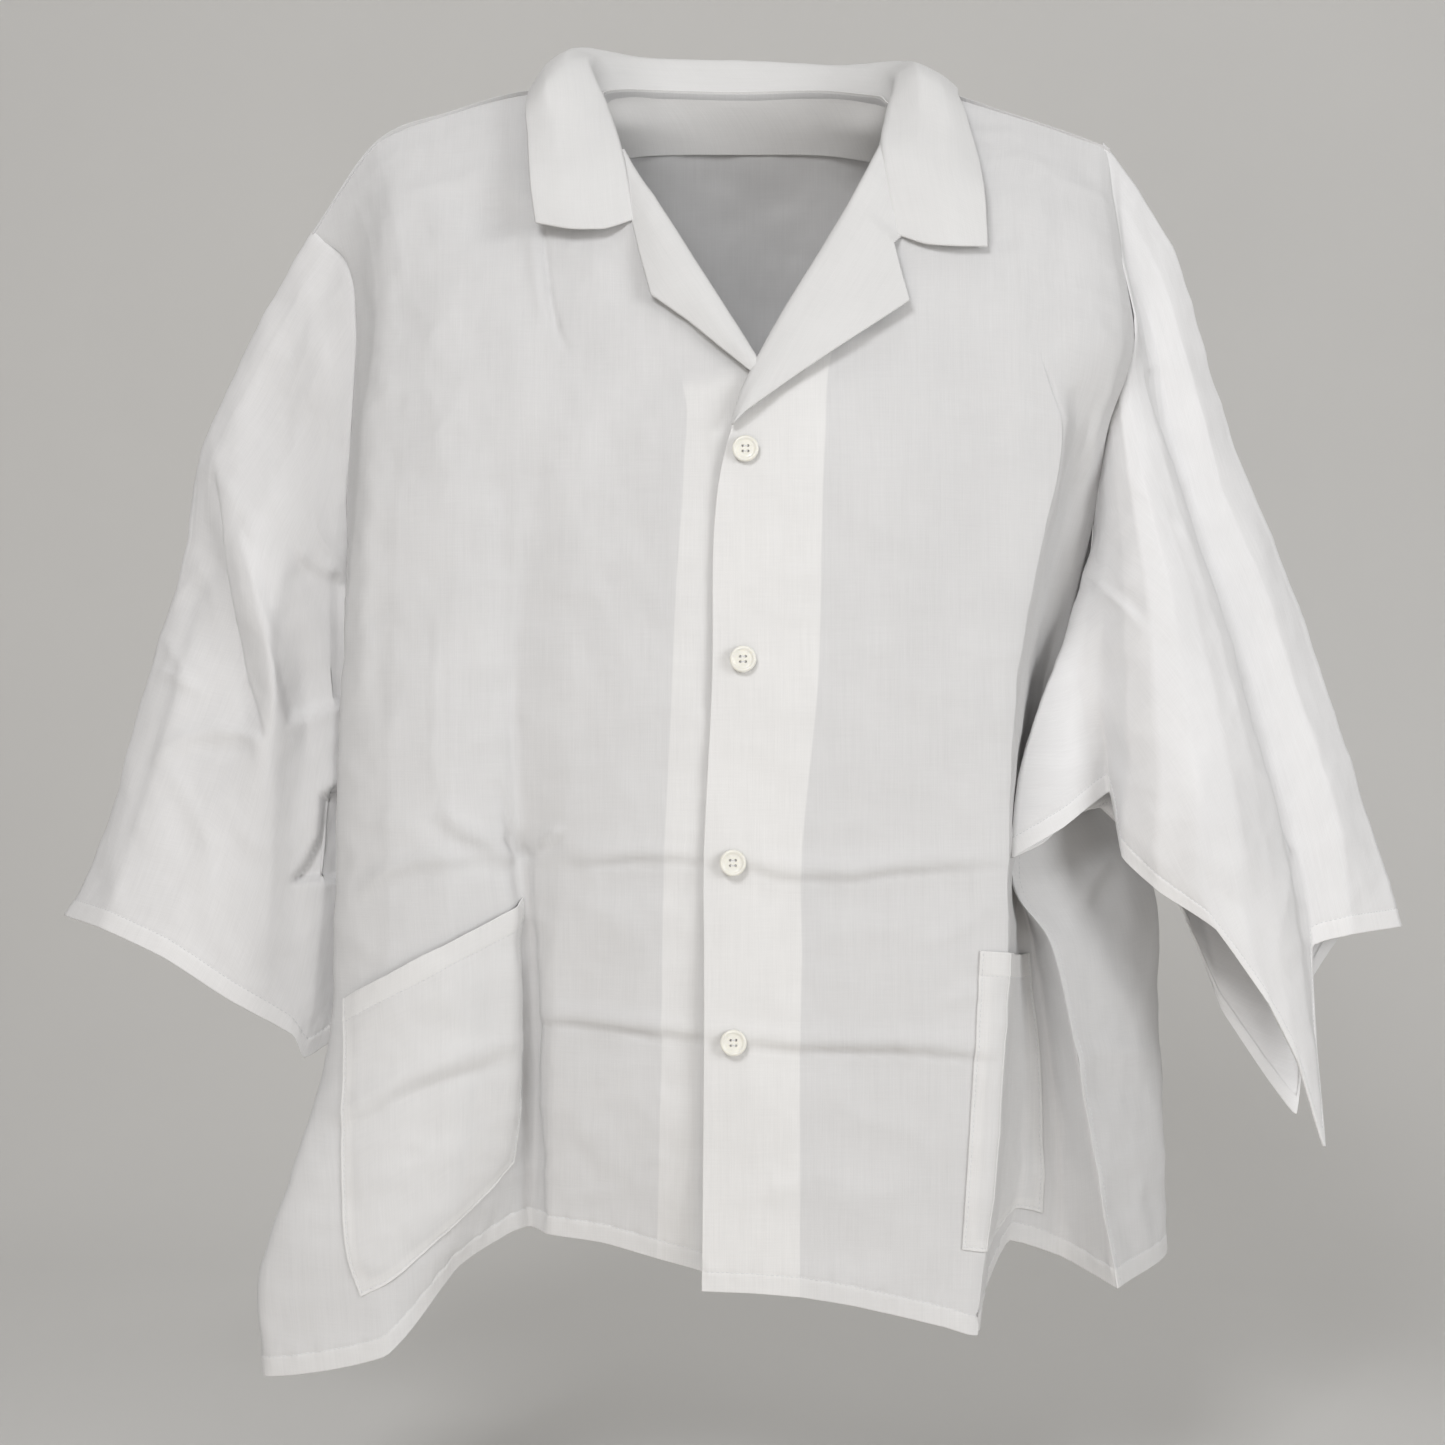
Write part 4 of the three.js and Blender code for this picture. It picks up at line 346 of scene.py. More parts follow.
# {row number: points across}; rows run down, columns from the inner edge to the outer one.
# fill_rows works out the rows between.
LAPEL_LEFT_ROWS = {
    0: [(93.74,-96.36,-33.15), (92.34,-97.63,-33.41), (90.97,-100.09,-33.74), (91.27,-102.3,-34.39),
        (92.63,-103.4,-35.52), (93.92,-104.4,-37.07), (95.41,-104.49,-38.59),
        (96.94,-103.93,-39.97), (98.26,-103.2,-41.09), (99.27,-102.6,-41.94)],
    3: [(91.63,-99.61,-37.85), (90.03,-101.06,-38.15), (88.48,-103.88,-38.54), (88.82,-106.4,-39.25),
        (90.34,-107.62,-40.56), (91.77,-108.71,-42.37), (93.42,-108.76,-44.14),
        (95.11,-108.07,-45.76), (96.57,-107.19,-47.07), (97.69,-106.46,-48.07)],
    4: [(90.91,-100.74,-39.42), (89.26,-102.24,-39.73), (87.66,-105.14,-40.14),
        (88.01,-107.74,-40.86), (89.58,-109,-42.23), (91.05,-110.11,-44.12), (92.76,-110.15,-45.97),
        (94.51,-109.42,-47.68), (96.01,-108.5,-49.06), (97.17,-107.74,-50.11)],
    7: [(88.54,-104.6,-44.22), (86.9,-106.1,-44.53), (85.31,-109,-44.93), (85.66,-111.6,-45.65),
        (87.33,-112.86,-47.17), (88.94,-113.97,-49.29), (90.8,-114,-51.41), (92.7,-113.28,-53.37),
        (94.34,-112.36,-54.99), (95.6,-111.6,-56.21)],
    16: [(80.43,-116.6,-60.91), (78.8,-118.1,-61.2), (77.23,-121,-61.59), (77.59,-123.6,-62.28),
         (80.31,-124.5,-64.08), (83.49,-125.07,-66.63), (87.1,-124.5,-69.24), (90.75,-123.18,-71.7),
         (93.88,-121.75,-73.74), (96.28,-120.6,-75.29)],
    29: [(72.66,-123.6,-75.85), (71.04,-125.1,-76.13), (69.49,-128,-76.49), (69.86,-130.6,-77.16),
         (73.73,-131.74,-80.4), (78.66,-132.67,-85.1), (84.19,-132.5,-90.1), (89.77,-131.58,-94.97),
         (94.53,-130.49,-99.06), (98.18,-129.6,-102.18)],
    33: [(68.81,-126.6,-83.19), (67.21,-128.1,-83.46), (65.66,-131,-83.81), (66.04,-133.6,-84.47),
         (69.76,-135.46,-87.46), (74.46,-137.47,-91.79), (79.73,-138.5,-96.38),
         (85.04,-138.78,-100.83), (89.56,-138.71,-104.56), (93.03,-138.6,-107.41)],
    47: [(54.88,-136.6,-107.68), (53.29,-138.1,-107.93), (51.78,-141,-108.25), (52.17,-143.6,-108.87),
         (57.99,-145.1,-110.95), (65.82,-146.57,-113.94), (74.56,-147,-117.06),
         (83.34,-146.68,-120.05), (90.83,-146.1,-122.54), (96.56,-145.6,-124.44)],
    63: [(38.06,-146.6,-135.56), (36.5,-148.1,-135.79), (35.02,-151,-136.06), (35.43,-153.6,-136.64),
         (43.85,-154.86,-137.86), (55.59,-155.97,-139.55), (68.66,-156,-141.25),
         (81.78,-155.28,-142.84), (92.95,-154.36,-144.14), (101.51,-153.6,-145.13)],
    74: [(29.44,-150.6,-150.15), (27.89,-152.1,-150.37), (26.43,-155,-150.61), (26.85,-157.6,-151.18),
         (34.17,-159.1,-152.12), (44.24,-160.57,-153.42), (55.45,-161,-154.69),
         (66.69,-160.68,-155.85), (76.26,-160.1,-156.8), (83.59,-159.6,-157.51)],
    90: [(19.63,-155.6,-167.84), (18.09,-157.1,-168.04), (16.65,-160,-168.26), (17.09,-162.6,-168.79),
         (22.51,-164.22,-169.67), (29.74,-165.87,-170.87), (37.78,-166.5,-172.04),
         (45.85,-166.38,-173.1), (52.72,-165.97,-173.97), (57.98,-165.6,-174.62)],
    105: [(11.72,-158.6,-182.75), (10.19,-160.1,-182.95), (8.77,-163,-183.14), (9.22,-165.6,-183.65),
          (12.61,-167.34,-184.78), (16.8,-169.17,-186.36), (21.47,-170,-187.97),
          (26.15,-170.08,-189.48), (30.14,-169.84,-190.73), (33.19,-169.6,-191.67)],
    116: [(3.83,-162.6,-199.55), (2.31,-164.1,-199.73), (0.9,-167,-199.89), (1.36,-169.6,-200.38),
          (3.6,-171.34,-201.02), (6.07,-173.17,-201.88), (8.81,-174,-202.7), (11.57,-174.08,-203.43),
          (13.91,-173.84,-204.01), (15.71,-173.6,-204.45)],
    118: [(2.61,-163.49,-202.87), (1.1,-164.99,-203.04), (-0.31,-167.89,-203.2),
          (0.15,-170.49,-203.69), (2.19,-172.2,-204.19), (4.34,-173.99,-204.86),
          (6.74,-174.78,-205.45), (9.15,-174.81,-205.96), (11.2,-174.53,-206.36),
          (12.77,-174.27,-206.66)],
    119: [(1.91,-164.19,-204.56), (0.47,-165.61,-204.72), (-0.86,-168.36,-204.86),
          (-0.42,-170.83,-205.33), (1.48,-172.47,-205.76), (3.48,-174.21,-206.32),
          (5.71,-174.99,-206.81), (7.94,-175.06,-207.22), (9.85,-174.83,-207.53),
          (11.3,-174.6,-207.76)],
    121: [(0.41,-165.86,-207.96), (-0.79,-167.05,-208.1), (-1.9,-169.35,-208.18),
          (-1.53,-171.41,-208.6), (0.07,-172.87,-208.87), (1.76,-174.44,-209.22),
          (3.65,-175.24,-209.5), (5.53,-175.44,-209.71), (7.14,-175.37,-209.86),
          (8.37,-175.27,-209.97)],
    123: [(-1.07,-167.49,-211.35), (-2.04,-168.46,-211.46), (-2.94,-170.32,-211.49),
          (-2.64,-172,-211.86), (-1.34,-173.28,-211.99), (0.05,-174.71,-212.13),
          (1.58,-175.52,-212.19), (3.12,-175.84,-212.2), (4.43,-175.91,-212.18),
          (5.43,-175.93,-212.17)],
    125: [(-2.52,-169.05,-214.73), (-3.29,-169.82,-214.82), (-4,-171.29,-214.8),
          (-3.76,-172.62,-215.13), (-2.74,-173.74,-215.11), (-1.67,-175.02,-215.03),
          (-0.48,-175.84,-214.88), (0.71,-176.26,-214.69), (1.73,-176.47,-214.51),
          (2.5,-176.6,-214.37)],
    126: [(-3.17,-169.65,-216.6), (-3.84,-170.31,-216.67), (-4.45,-171.59,-216.63),
          (-4.25,-172.73,-216.94), (-3.38,-173.75,-216.85), (-2.49,-174.94,-216.69),
          (-1.49,-175.73,-216.44), (-0.49,-176.18,-216.16), (0.36,-176.43,-215.91),
          (1.01,-176.6,-215.72)],
    127: [(-3.81,-170.2,-218.46), (-4.38,-170.77,-218.52), (-4.91,-171.87,-218.46),
          (-4.74,-172.86,-218.75), (-4.03,-173.79,-218.6), (-3.3,-174.88,-218.34),
          (-2.5,-175.64,-218), (-1.69,-176.12,-217.64), (-1.01,-176.4,-217.31),
          (-0.49,-176.6,-217.06)],
    128: [(-4.42,-170.69,-220.32), (-4.93,-171.18,-220.37), (-5.39,-172.15,-220.29),
          (-5.23,-173.02,-220.57), (-4.67,-173.86,-220.35), (-4.12,-174.88,-220),
          (-3.51,-175.61,-219.57), (-2.9,-176.08,-219.11), (-2.38,-176.39,-218.72),
          (-1.98,-176.6,-218.41)],
    129: [(-5,-171.07,-222.16), (-5.46,-171.53,-222.21), (-5.88,-172.42,-222.12),
          (-5.74,-173.21,-222.38), (-5.31,-174,-222.11), (-4.94,-174.95,-221.67),
          (-4.52,-175.64,-221.15), (-4.1,-176.1,-220.6), (-3.75,-176.39,-220.12),
          (-3.48,-176.6,-219.75)],
}

# laid out like LAPEL_LEFT_ROWS
LAPEL_RIGHT_ROWS = {
    0: [(-75.91,-96.85,-42.65), (-74.7,-97.98,-42.88), (-73.54,-100.15,-43.13),
        (-73.85,-102.1,-43.71), (-74.96,-102.86,-44.77), (-75.95,-103.43,-46.23),
        (-77.09,-103.15,-47.67), (-78.24,-102.31,-49), (-79.23,-101.36,-50.09),
        (-79.99,-100.6,-50.91)],
    3: [(-73.55,-99.86,-47.81), (-72.2,-101.11,-48.07), (-70.92,-103.53,-48.36),
        (-71.26,-105.7,-48.99), (-72.59,-106.55,-50.09), (-73.81,-107.17,-51.61),
        (-75.21,-106.87,-53.09), (-76.64,-105.93,-54.46), (-77.86,-104.88,-55.57),
        (-78.79,-104.03,-56.41)],
    7: [(-70.43,-103.82,-54.67), (-68.89,-105.26,-54.96), (-67.43,-108.03,-55.32),
        (-67.83,-110.51,-55.99), (-69.43,-111.48,-57.15), (-70.97,-112.2,-58.75),
        (-72.72,-111.85,-60.29), (-74.5,-110.78,-61.7), (-76.03,-109.57,-62.84),
        (-77.19,-108.6,-63.7)],
    8: [(-69.49,-104.89,-56.4), (-67.89,-106.39,-56.69), (-66.36,-109.29,-57.07),
        (-66.78,-111.89,-57.77), (-68.5,-112.87,-58.94), (-70.17,-113.57,-60.55),
        (-72.06,-113.15,-62.1), (-73.98,-111.96,-63.5), (-75.63,-110.66,-64.64),
        (-76.89,-109.6,-65.5)],
    14: [(-63.39,-112.6,-66.96), (-61.79,-114.1,-67.25), (-60.28,-117,-67.62),
         (-60.71,-119.6,-68.3), (-62.93,-120.38,-69.49), (-65.37,-120.77,-71.12),
         (-68.11,-120,-72.7), (-70.88,-118.48,-74.15), (-73.25,-116.88,-75.32),
         (-75.07,-115.6,-76.21)],
    20: [(-57.02,-118.6,-76.15), (-55.44,-120.1,-76.43), (-53.94,-123,-76.79),
         (-54.37,-125.6,-77.46), (-57.04,-126.5,-79.03), (-60.13,-127.07,-81.24),
         (-63.59,-126.5,-83.48), (-67.08,-125.18,-85.58), (-70.06,-123.75,-87.31),
         (-72.35,-122.6,-88.63)],
    23: [(-53.86,-121.6,-81.65), (-52.28,-123.1,-81.93), (-50.79,-126,-82.28),
         (-51.22,-128.6,-82.94), (-53.62,-129.74,-84.26), (-56.31,-130.67,-86.09),
         (-59.32,-130.5,-87.9), (-62.36,-129.58,-89.58), (-64.95,-128.49,-90.95),
         (-66.94,-127.6,-91.99)],
    34: [(-44.44,-129.6,-97.26), (-42.88,-131.1,-97.53), (-41.41,-134,-97.85),
         (-41.86,-136.6,-98.49), (-44.76,-137.98,-100.64), (-48.2,-139.27,-103.73),
         (-52.04,-139.5,-106.95), (-55.91,-138.98,-110.04), (-59.2,-138.23,-112.62),
         (-61.73,-137.6,-114.58)],
    47: [(-32.04,-138.6,-118.42), (-30.49,-140.1,-118.66), (-29.06,-143,-118.96),
         (-29.52,-145.6,-119.57), (-33.07,-147.22,-122.32), (-37.48,-148.87,-126.3),
         (-42.39,-149.5,-130.54), (-47.31,-149.38,-134.65), (-51.51,-148.97,-138.1),
         (-54.72,-148.6,-140.73)],
    61: [(-19.77,-145.6,-138.45), (-18.24,-147.1,-138.68), (-16.84,-150,-138.94),
         (-17.31,-152.6,-139.52), (-19.66,-154.22,-141.84), (-22.27,-155.87,-145.2),
         (-25.17,-156.5,-148.74), (-28.07,-156.38,-152.18), (-30.55,-155.97,-155.05),
         (-32.44,-155.6,-157.24)],
    74: [(-6.39,-151.6,-160), (-4.88,-153.1,-160.22), (-3.5,-156,-160.44), (-3.99,-158.6,-160.99),
         (-5.84,-160.22,-162.53), (-7.69,-161.87,-164.71), (-9.74,-162.5,-166.97),
         (-11.79,-162.38,-169.13), (-13.53,-161.97,-170.92), (-14.87,-161.6,-172.28)],
    78: [(-2.52,-153.6,-166.35), (-1.01,-155.1,-166.56), (0.36,-158,-166.77), (-0.14,-160.6,-167.31),
         (-1.72,-162.12,-168.68), (-3.19,-163.63,-170.62), (-4.8,-164.1,-172.62),
         (-6.42,-163.82,-174.51), (-7.79,-163.27,-176.07), (-8.84,-162.8,-177.26)],
    79: [(-1.54,-154.12,-167.94), (-0.04,-155.62,-168.14), (1.32,-158.5,-168.35),
         (0.82,-161.09,-168.89), (-0.7,-162.58,-170.22), (-2.06,-164.05,-172.1),
         (-3.57,-164.49,-174.02), (-5.07,-164.17,-175.85), (-6.35,-163.59,-177.36),
         (-7.33,-163.1,-178.51)],
    84: [(3.7,-157.78,-176), (4.84,-158.93,-176.15), (5.88,-161.14,-176.26), (5.49,-163.13,-176.7),
         (4.44,-164.26,-177.79), (3.56,-165.38,-179.35), (2.6,-165.7,-180.96),
         (1.63,-165.44,-182.49), (0.82,-164.99,-183.76), (0.2,-164.6,-184.73)],
    89: [(8.9,-160.9,-183.65), (9.71,-161.71,-183.76), (10.44,-163.28,-183.78),
         (10.16,-164.68,-184.14), (9.39,-165.47,-184.89), (8.73,-166.24,-185.96),
         (8,-166.44,-187.07), (7.28,-166.23,-188.13), (6.67,-165.89,-189), (6.21,-165.6,-189.67)],
}

# rows run round the neck from the right front to the left front;
# columns from the foot of the stand over the roll to the free edge
COLLAR = [
    [(-67.96,-124.6,-88.99), (-67.93,-125.6,-89.78), (-67.22,-128.6,-91.55),
     (-84.31,-131.6,-97.62), (-105.19,-131.6,-97.62), (-126.4,-126.6,-93.04)],
    [(-76.8,-102.6,-51.31), (-75.44,-105.6,-50.66), (-74.01,-110.6,-50.42),
     (-91.05,-118.6,-61.92), (-110.73,-120.6,-66.02), (-130.02,-118.6,-68.11)],
    [(-87.44,-72.6,-18.66), (-84.77,-75.6,-14.23), (-85.2,-80.6,-11.52),
     (-101.03,-92.6,-17.92), (-117.62,-98.6,-25.48), (-133.4,-96.6,-32.57)],
    [(-92.05,-54.6,-0.05), (-93.93,-55.6,11.91), (-97.53,-60.6,20.99),
     (-111.57,-72.6,15.63), (-123.76,-80.6,4.91), (-135.42,-76.6,-6.84)],
    [(-79.47,-30.6,8.54), (-83.45,-28.6,22), (-88.82,-24.6,32.05),
     (-104.27,-28.6,37.61), (-117.17,-30.6,28.04), (-126.79,-32.6,10.69)],
    [(-49.37,-8.6,12.15), (-51.47,-2.6,26.69), (-52.93,3.4,37.34),
     (-56.43,11.4,37.9), (-59.91,17.4,25.97), (-62.69,21.4,13.51)],
    [(0,-1.6,12.4), (0.04,4.4,26.98), (0.08,10.4,37.66),
     (0.14,19.4,37.11), (0.17,25.4,22.43), (0.2,29.4,8.56)],
    [(49.29,-8.6,12.15), (51.47,-2.6,24.05), (53,3.4,33.37),
     (57.27,11.4,33.91), (61.49,17.4,21.97), (64.32,21.4,9.5)],
    [(81.72,-30.6,5.29), (87.03,-28.6,14.19), (92.46,-24.6,22.92),
     (105.37,-26.6,28.98), (120.07,-30.6,20.24), (131.45,-34.6,10.23)],
    [(94.61,-54.6,-3.26), (97.69,-56.6,5.27), (99.88,-62.6,10.3),
     (112.74,-70.6,12.28), (126.57,-72.6,5.47), (138.97,-68.6,-3.8)],
    [(91.53,-74.6,-24.16), (91.99,-77.6,-19.73), (93.53,-83.6,-15.97),
     (112.18,-96.6,-23.8), (130.49,-102.6,-33.83), (147.08,-98.6,-43)],
    [(86.56,-106.6,-49.61), (87.64,-109.6,-48.35), (88.59,-114.6,-47.5),
     (109.12,-122.6,-61.47), (129.86,-125.6,-69.45), (150.05,-120.6,-73.43)],
    [(94.68,-126.6,-99.2), (95.23,-127.6,-99.99), (95.66,-130.6,-101.13),
     (113.19,-134.6,-107.34), (131.5,-135.6,-108.73), (151.15,-128.6,-108.16)],
]

# pocket corners as (column, row) on the front nets:
# mouth at -X, mouth at +X, foot at +X, foot at -X
POCKET_RIGHT = [(8.768, 7.565), (5.016, 7.313), (6.000, 10.000), (8.134, 10.311)]
POCKET_LEFT_FRONT = [(5.367, 8.010), (6.160, 8.030), (6.160, 10.451), (5.339, 10.451)]
POCKET_LEFT_SIDE = [(6.0, 8.030), (8.6, 8.00), (8.6, 10.55), (6.0, 10.451)]

# Creases, drawn on the view plane with its centre as origin:
# kind, (x, z) points along the line, width, height outwards. See crease_field for the kinds.
CREASES = {
    "front_right": [
        ("press", [(-114.9, 320.3), (-112.3, 289.6), (-109.8, 267.2), (-104.0, 248.0),
                   (-98.2, 237.1)], 2.2, -3.6),
        ("ridge", [(-121.3, 317.8), (-118.1, 283.2), (-113.6, 254.4)], 6, 2.6),
        ("dimple", [(-147.5, 325.4)], 15, -8.0),
        ("dimple", [(-168.0, 337.0)], 9, -1.5),
        ("fold", [(-184.0, -54.7), (-161.6, -70.1), (-129.6, -86.1)], 6, 3.2),
        ("press", [(-140.5, -72.6), (-132.2, -81.6), (-120.6, -89.3)], 2.6, -3.0),
        ("pleat", [(-142.4, -36.8), (-136.6, -63.7), (-130.2, -79.0), (-121.9, -86.7)], 9, -3.8),
        ("press", [(-116.8, -80.3), (-111.0, -73.9), (-105.9, -68.2), (-105.3, -73.3)], 2.6, 3.2),
        ("press", [(-115.5, -82.9), (-109.1, -79.0), (-104.0, -73.9)], 2.6, -2.6),
        ("ridge", [(-235.2, -111.0), (-216.0, -96.3), (-196.8, -88.0), (-161.6, -85.4),
                   (-126.4, -86.7)], 5, 2.6),
        ("ridge", [(-232.0, -116.8), (-212.8, -104.0), (-187.2, -95.7), (-142.4, -91.8)], 6, -0.9),
        ("press", [(-120.6, -191.7), (-78.4, -196.8), (-46.4, -201.3), (-0.3, -205.8)], 3.2, -3.9),
        ("ridge", [(-120.6, -203.2), (-78.4, -208.3), (-46.4, -212.8), (-0.3, -217.3)], 13, -1.8),
        ("ridge", [(-120.6, -185.3), (-78.4, -189.8), (-46.4, -194.9), (-0.3, -198.7)], 8, 3.6),
        ("ridge", [(-120.6, -209.6), (-78.4, -214.7), (-6.7, -222.4)], 9, 0.7),
        ("press", [(-104.0, -93.1), (-52.8, -89.9), (-0.3, -91.2)], 3.0, -2.8),
        ("ridge", [(-104.0, -105.9), (-52.8, -102.7), (-0.3, -104.6)], 14, -1.8),
        ("ridge", [(-104.0, -85.4), (-52.8, -83.5), (-0.3, -84.2)], 8, 2.8),
        ("ridge", [(-251.2, -255.7), (-203.2, -227.5), (-168.0, -213.4), (-126.4, -200.6)], 7, 2.8),
        ("ridge", [(-251.2, -267.2), (-203.2, -240.3), (-168.0, -226.2), (-126.4, -213.4)], 7, -2.4),
        ("ridge", [(-241.6, -299.2), (-206.4, -285.1), (-161.6, -273.6), (-129.6, -272.3)], 8, 0.9),
        ("ridge", [(-251.2, -190.4), (-193.6, -179.5), (-136.0, -168.0)], 9, 0.8),
        ("pleat", [(-129.6, -68.8), (-123.2, -113.6), (-118.1, -190.4), (-120.0, -235.2),
                   (-117.4, -273.6), (-115.5, -328.6)], 9, -5.0),
        ("ridge", [(-134.7, -88.0), (-134.7, -152.0), (-137.3, -216.0), (-137.3, -280.0)], 7, 1.3),
        ("ridge", [(-205.1, 366.4), (-211.5, 315.2), (-215.4, 251.2), (-216.6, 174.4)], 9, 1.5),
        ("ridge", [(-224.3, 238.4), (-225.0, 155.2), (-228.2, 65.6), (-230.7, -11.2)], 7, 1.3),
        ("press", [(-241.6, 14.4), (-244.2, -49.6), (-246.1, -113.6), (-247.4, -177.6)], 5, 1.0),
        ("ridge", [(-177.6, 270.4), (-180.8, 174.4), (-183.4, 65.6)], 16, 1.3),
        ("press", [(-182.1, 74.6), (-183.4, 1.6), (-184.6, -53.4)], 3, 1.5),
        ("ridge", [(-143.7, 180.8), (-139.2, 78.4), (-136.6, -49.6)], 8, -2.4),
        ("ridge", [(-72.0, 206.4), (-74.6, 104.0), (-78.4, -24.0)], 18, -0.9),
        ("ridge", [(-113.6, -235.2), (-91.2, -254.4), (-65.6, -283.2)], 9, 0.9),
        ("ridge", [(-110.4, -267.2), (-78.4, -289.6), (-52.8, -305.6)], 9, -0.8),
        ("ridge", [(-289.6, -350.4), (-251.2, -337.6), (-212.8, -344.0)], 12, 1.0),
    ],
    "front_left": [
        ("dimple", [(180.8, 313.9)], 13, -4.4),
        ("dimple", [(116.8, 297.3)], 10, -1.8),
        ("press", [(189.1, 366.4), (192.3, 289.6), (191.0, 206.4), (185.3, 129.6)], 6, 1.5),
        ("ridge", [(216.0, 360.0), (217.3, 296.0), (213.4, 232.0)], 9, -1.3),
        ("press", [(-17.6, -203.2), (14.4, -207.7), (49.6, -210.9), (113.6, -211.5),
                   (177.6, -217.3)], 3.2, -4.0),
        ("ridge", [(-17.6, -214.7), (14.4, -218.6), (49.6, -221.8), (113.6, -222.4),
                   (177.6, -228.2)], 13, -2.2),
        ("ridge", [(-17.6, -196.8), (14.4, -200.6), (49.6, -203.8), (113.6, -204.5),
                   (177.6, -209.6)], 8, 3.8),
        ("ridge", [(-13.1, -223.7), (49.6, -228.8), (113.6, -228.8), (174.4, -232.6)], 10, 0.7),
        ("press", [(-17.6, -90.6), (11.2, -93.1), (36.8, -100.8), (81.6, -102.1),
                   (113.6, -97.6), (180.8, -93.1)], 3.2, -3.4),
        ("ridge", [(-17.6, -103.4), (11.2, -105.9), (36.8, -113.0), (81.6, -114.2),
                   (113.6, -109.1), (180.8, -104.6)], 15, -2.6),
        ("ridge", [(-17.6, -83.5), (11.2, -86.1), (36.8, -93.8), (81.6, -95.0),
                   (113.6, -90.6), (180.8, -86.1)], 9, 3.4),
        ("ridge", [(116.8, 276.8), (121.3, 193.6), (125.1, 104.0)], 20, 0.9),
        ("ridge", [(81.6, 142.4), (86.7, 14.4), (89.3, -113.6)], 22, -0.8),
        ("ridge", [(164.8, 104.0), (155.8, 40.0), (152.0, -24.0)], 14, 1.0),
        ("fold", [(174.4, -110.4), (152.0, -132.8), (129.6, -142.4)], 5, 1.2),
        ("fold", [(174.4, -168.0), (152.0, -177.6), (136.0, -180.2)], 5, 0.9),
        ("ridge", [(-4.8, -292.8), (49.6, -300.5), (132.8, -305.6)], 10, 0.8),
    ],
    "back": [
        ("ridge", [(-104.0, 270.4), (-109.1, 78.4), (-111.7, -273.6)], 26, 2.6),
        ("ridge", [(116.8, 270.4), (123.2, 46.4), (129.6, -273.6)], 28, 2.4),
        ("ridge", [(11.2, 219.2), (9.9, 14.4), (12.5, -273.6)], 30, -2.0),
        ("ridge", [(-46.4, 142.4), (-52.8, -49.6), (-46.4, -241.6)], 12, -1.2),
        ("ridge", [(62.4, 155.2), (70.1, -49.6), (66.2, -241.6)], 12, 1.3),
        ("press", [(-180.8, -193.0), (11.2, -196.8), (216.0, -193.0)], 3.4, -1.8),
        ("ridge", [(-180.8, -186.6), (11.2, -190.4), (216.0, -186.6)], 8, 1.2),
        ("press", [(-174.4, -88.0), (11.2, -91.8), (209.6, -88.0)], 3.2, -1.5),
        ("ridge", [(-174.4, -81.6), (11.2, -85.4), (209.6, -81.6)], 8, 0.9),
    ],
    "side_back": [
        ("press", [(231.4, -118.7), (235.2, -103.4), (241.6, -93.1), (249.3, -80.3)], 3, 2.6),
        ("ridge", [(239.0, -123.2), (244.2, -107.2), (255.7, -89.3)], 6, -1.6),
        ("ridge", [(222.4, -217.3), (248.0, -209.6), (283.2, -213.4)], 8, 2.4),
        ("ridge", [(227.5, -241.6), (254.4, -235.2), (283.2, -236.5)], 8, -1.8),
        ("ridge", [(238.4, -292.8), (260.8, -280.0), (283.2, -273.6)], 9, 2.0),
        ("ridge", [(241.6, -318.4), (267.2, -305.6), (285.1, -303.0)], 7, -1.4),
    ],
    "sleeve_right": [
        ("press", [(-330.6, 111.7), (-348.5, 79.7), (-354.9, 69.4), (-361.9, 45.1),
                   (-380.5, -22.1), (-395.2, -92.5), (-409.9, -116.8)], 4, 2.0),
        ("ridge", [(-324.2, 109.1), (-340.8, 75.2), (-348.5, 40.0), (-369.0, -27.2),
                   (-385.6, -93.1)], 5, -1.6),
        ("pleat", [(-326.7, 161.6), (-320.3, 104.0), (-312.6, 59.2), (-305.6, 28.5),
                   (-293.4, -12.5)], 17, -7.0),
        ("ridge", [(-317.8, 155.2), (-308.8, 104.0), (-301.1, 52.8), (-292.2, 20.8)], 6, 1.8),
        ("press", [(-308.8, 124.5), (-301.1, 97.6), (-292.8, 65.6), (-287.0, 52.8)], 4, 2.6),
        ("ridge", [(-302.4, 121.9), (-294.7, 94.4), (-285.8, 62.4)], 6, -2.0),
        ("pit", [(-274.9, 113.0), (-256.3, 100.2), (-237.1, 91.2), (-237.1, 11.8), (-256.3, 6.7),
                 (-278.1, -2.2), (-287.0, 29.8), (-289.6, 57.9)], 12, -4.5),
        ("press", [(-279.4, -3.5), (-262.7, 2.9), (-241.6, 12.5)], 4, 2.6),
        ("press", [(-262.1, 143.0), (-259.5, 123.2), (-253.1, 111.7), (-238.4, 101.4)], 3.0, 2.0),
        ("press", [(-274.2, 113.0), (-267.2, 102.7), (-248.6, 95.0)], 3.0, 2.2),
        ("dimple", [(-268.5, 105.9)], 4, 2.0),
        ("dimple", [(-250.6, 96.3)], 4, 1.8),
        ("press", [(-361.3, 34.9), (-347.2, 27.2), (-331.2, 18.2)], 3.4, 3.0),
        ("press", [(-358.7, 57.9), (-349.1, 40.0), (-340.8, 23.4)], 3.4, 2.6),
        ("press", [(-366.4, -25.3), (-344.6, -9.9), (-328.0, -4.8), (-308.8, -7.4),
                   (-289.6, -13.1)], 3.6, 3.6),
        ("press", [(-331.2, 2.9), (-315.2, -3.5), (-292.2, -12.5)], 3.0, 1.8),
        ("ridge", [(-350.4, -25.3), (-334.4, -16.3), (-299.2, -18.9)], 5, -1.4),
        ("ridge", [(-320.3, -49.6), (-326.7, -88.0), (-333.1, -126.4)], 9, 1.2),
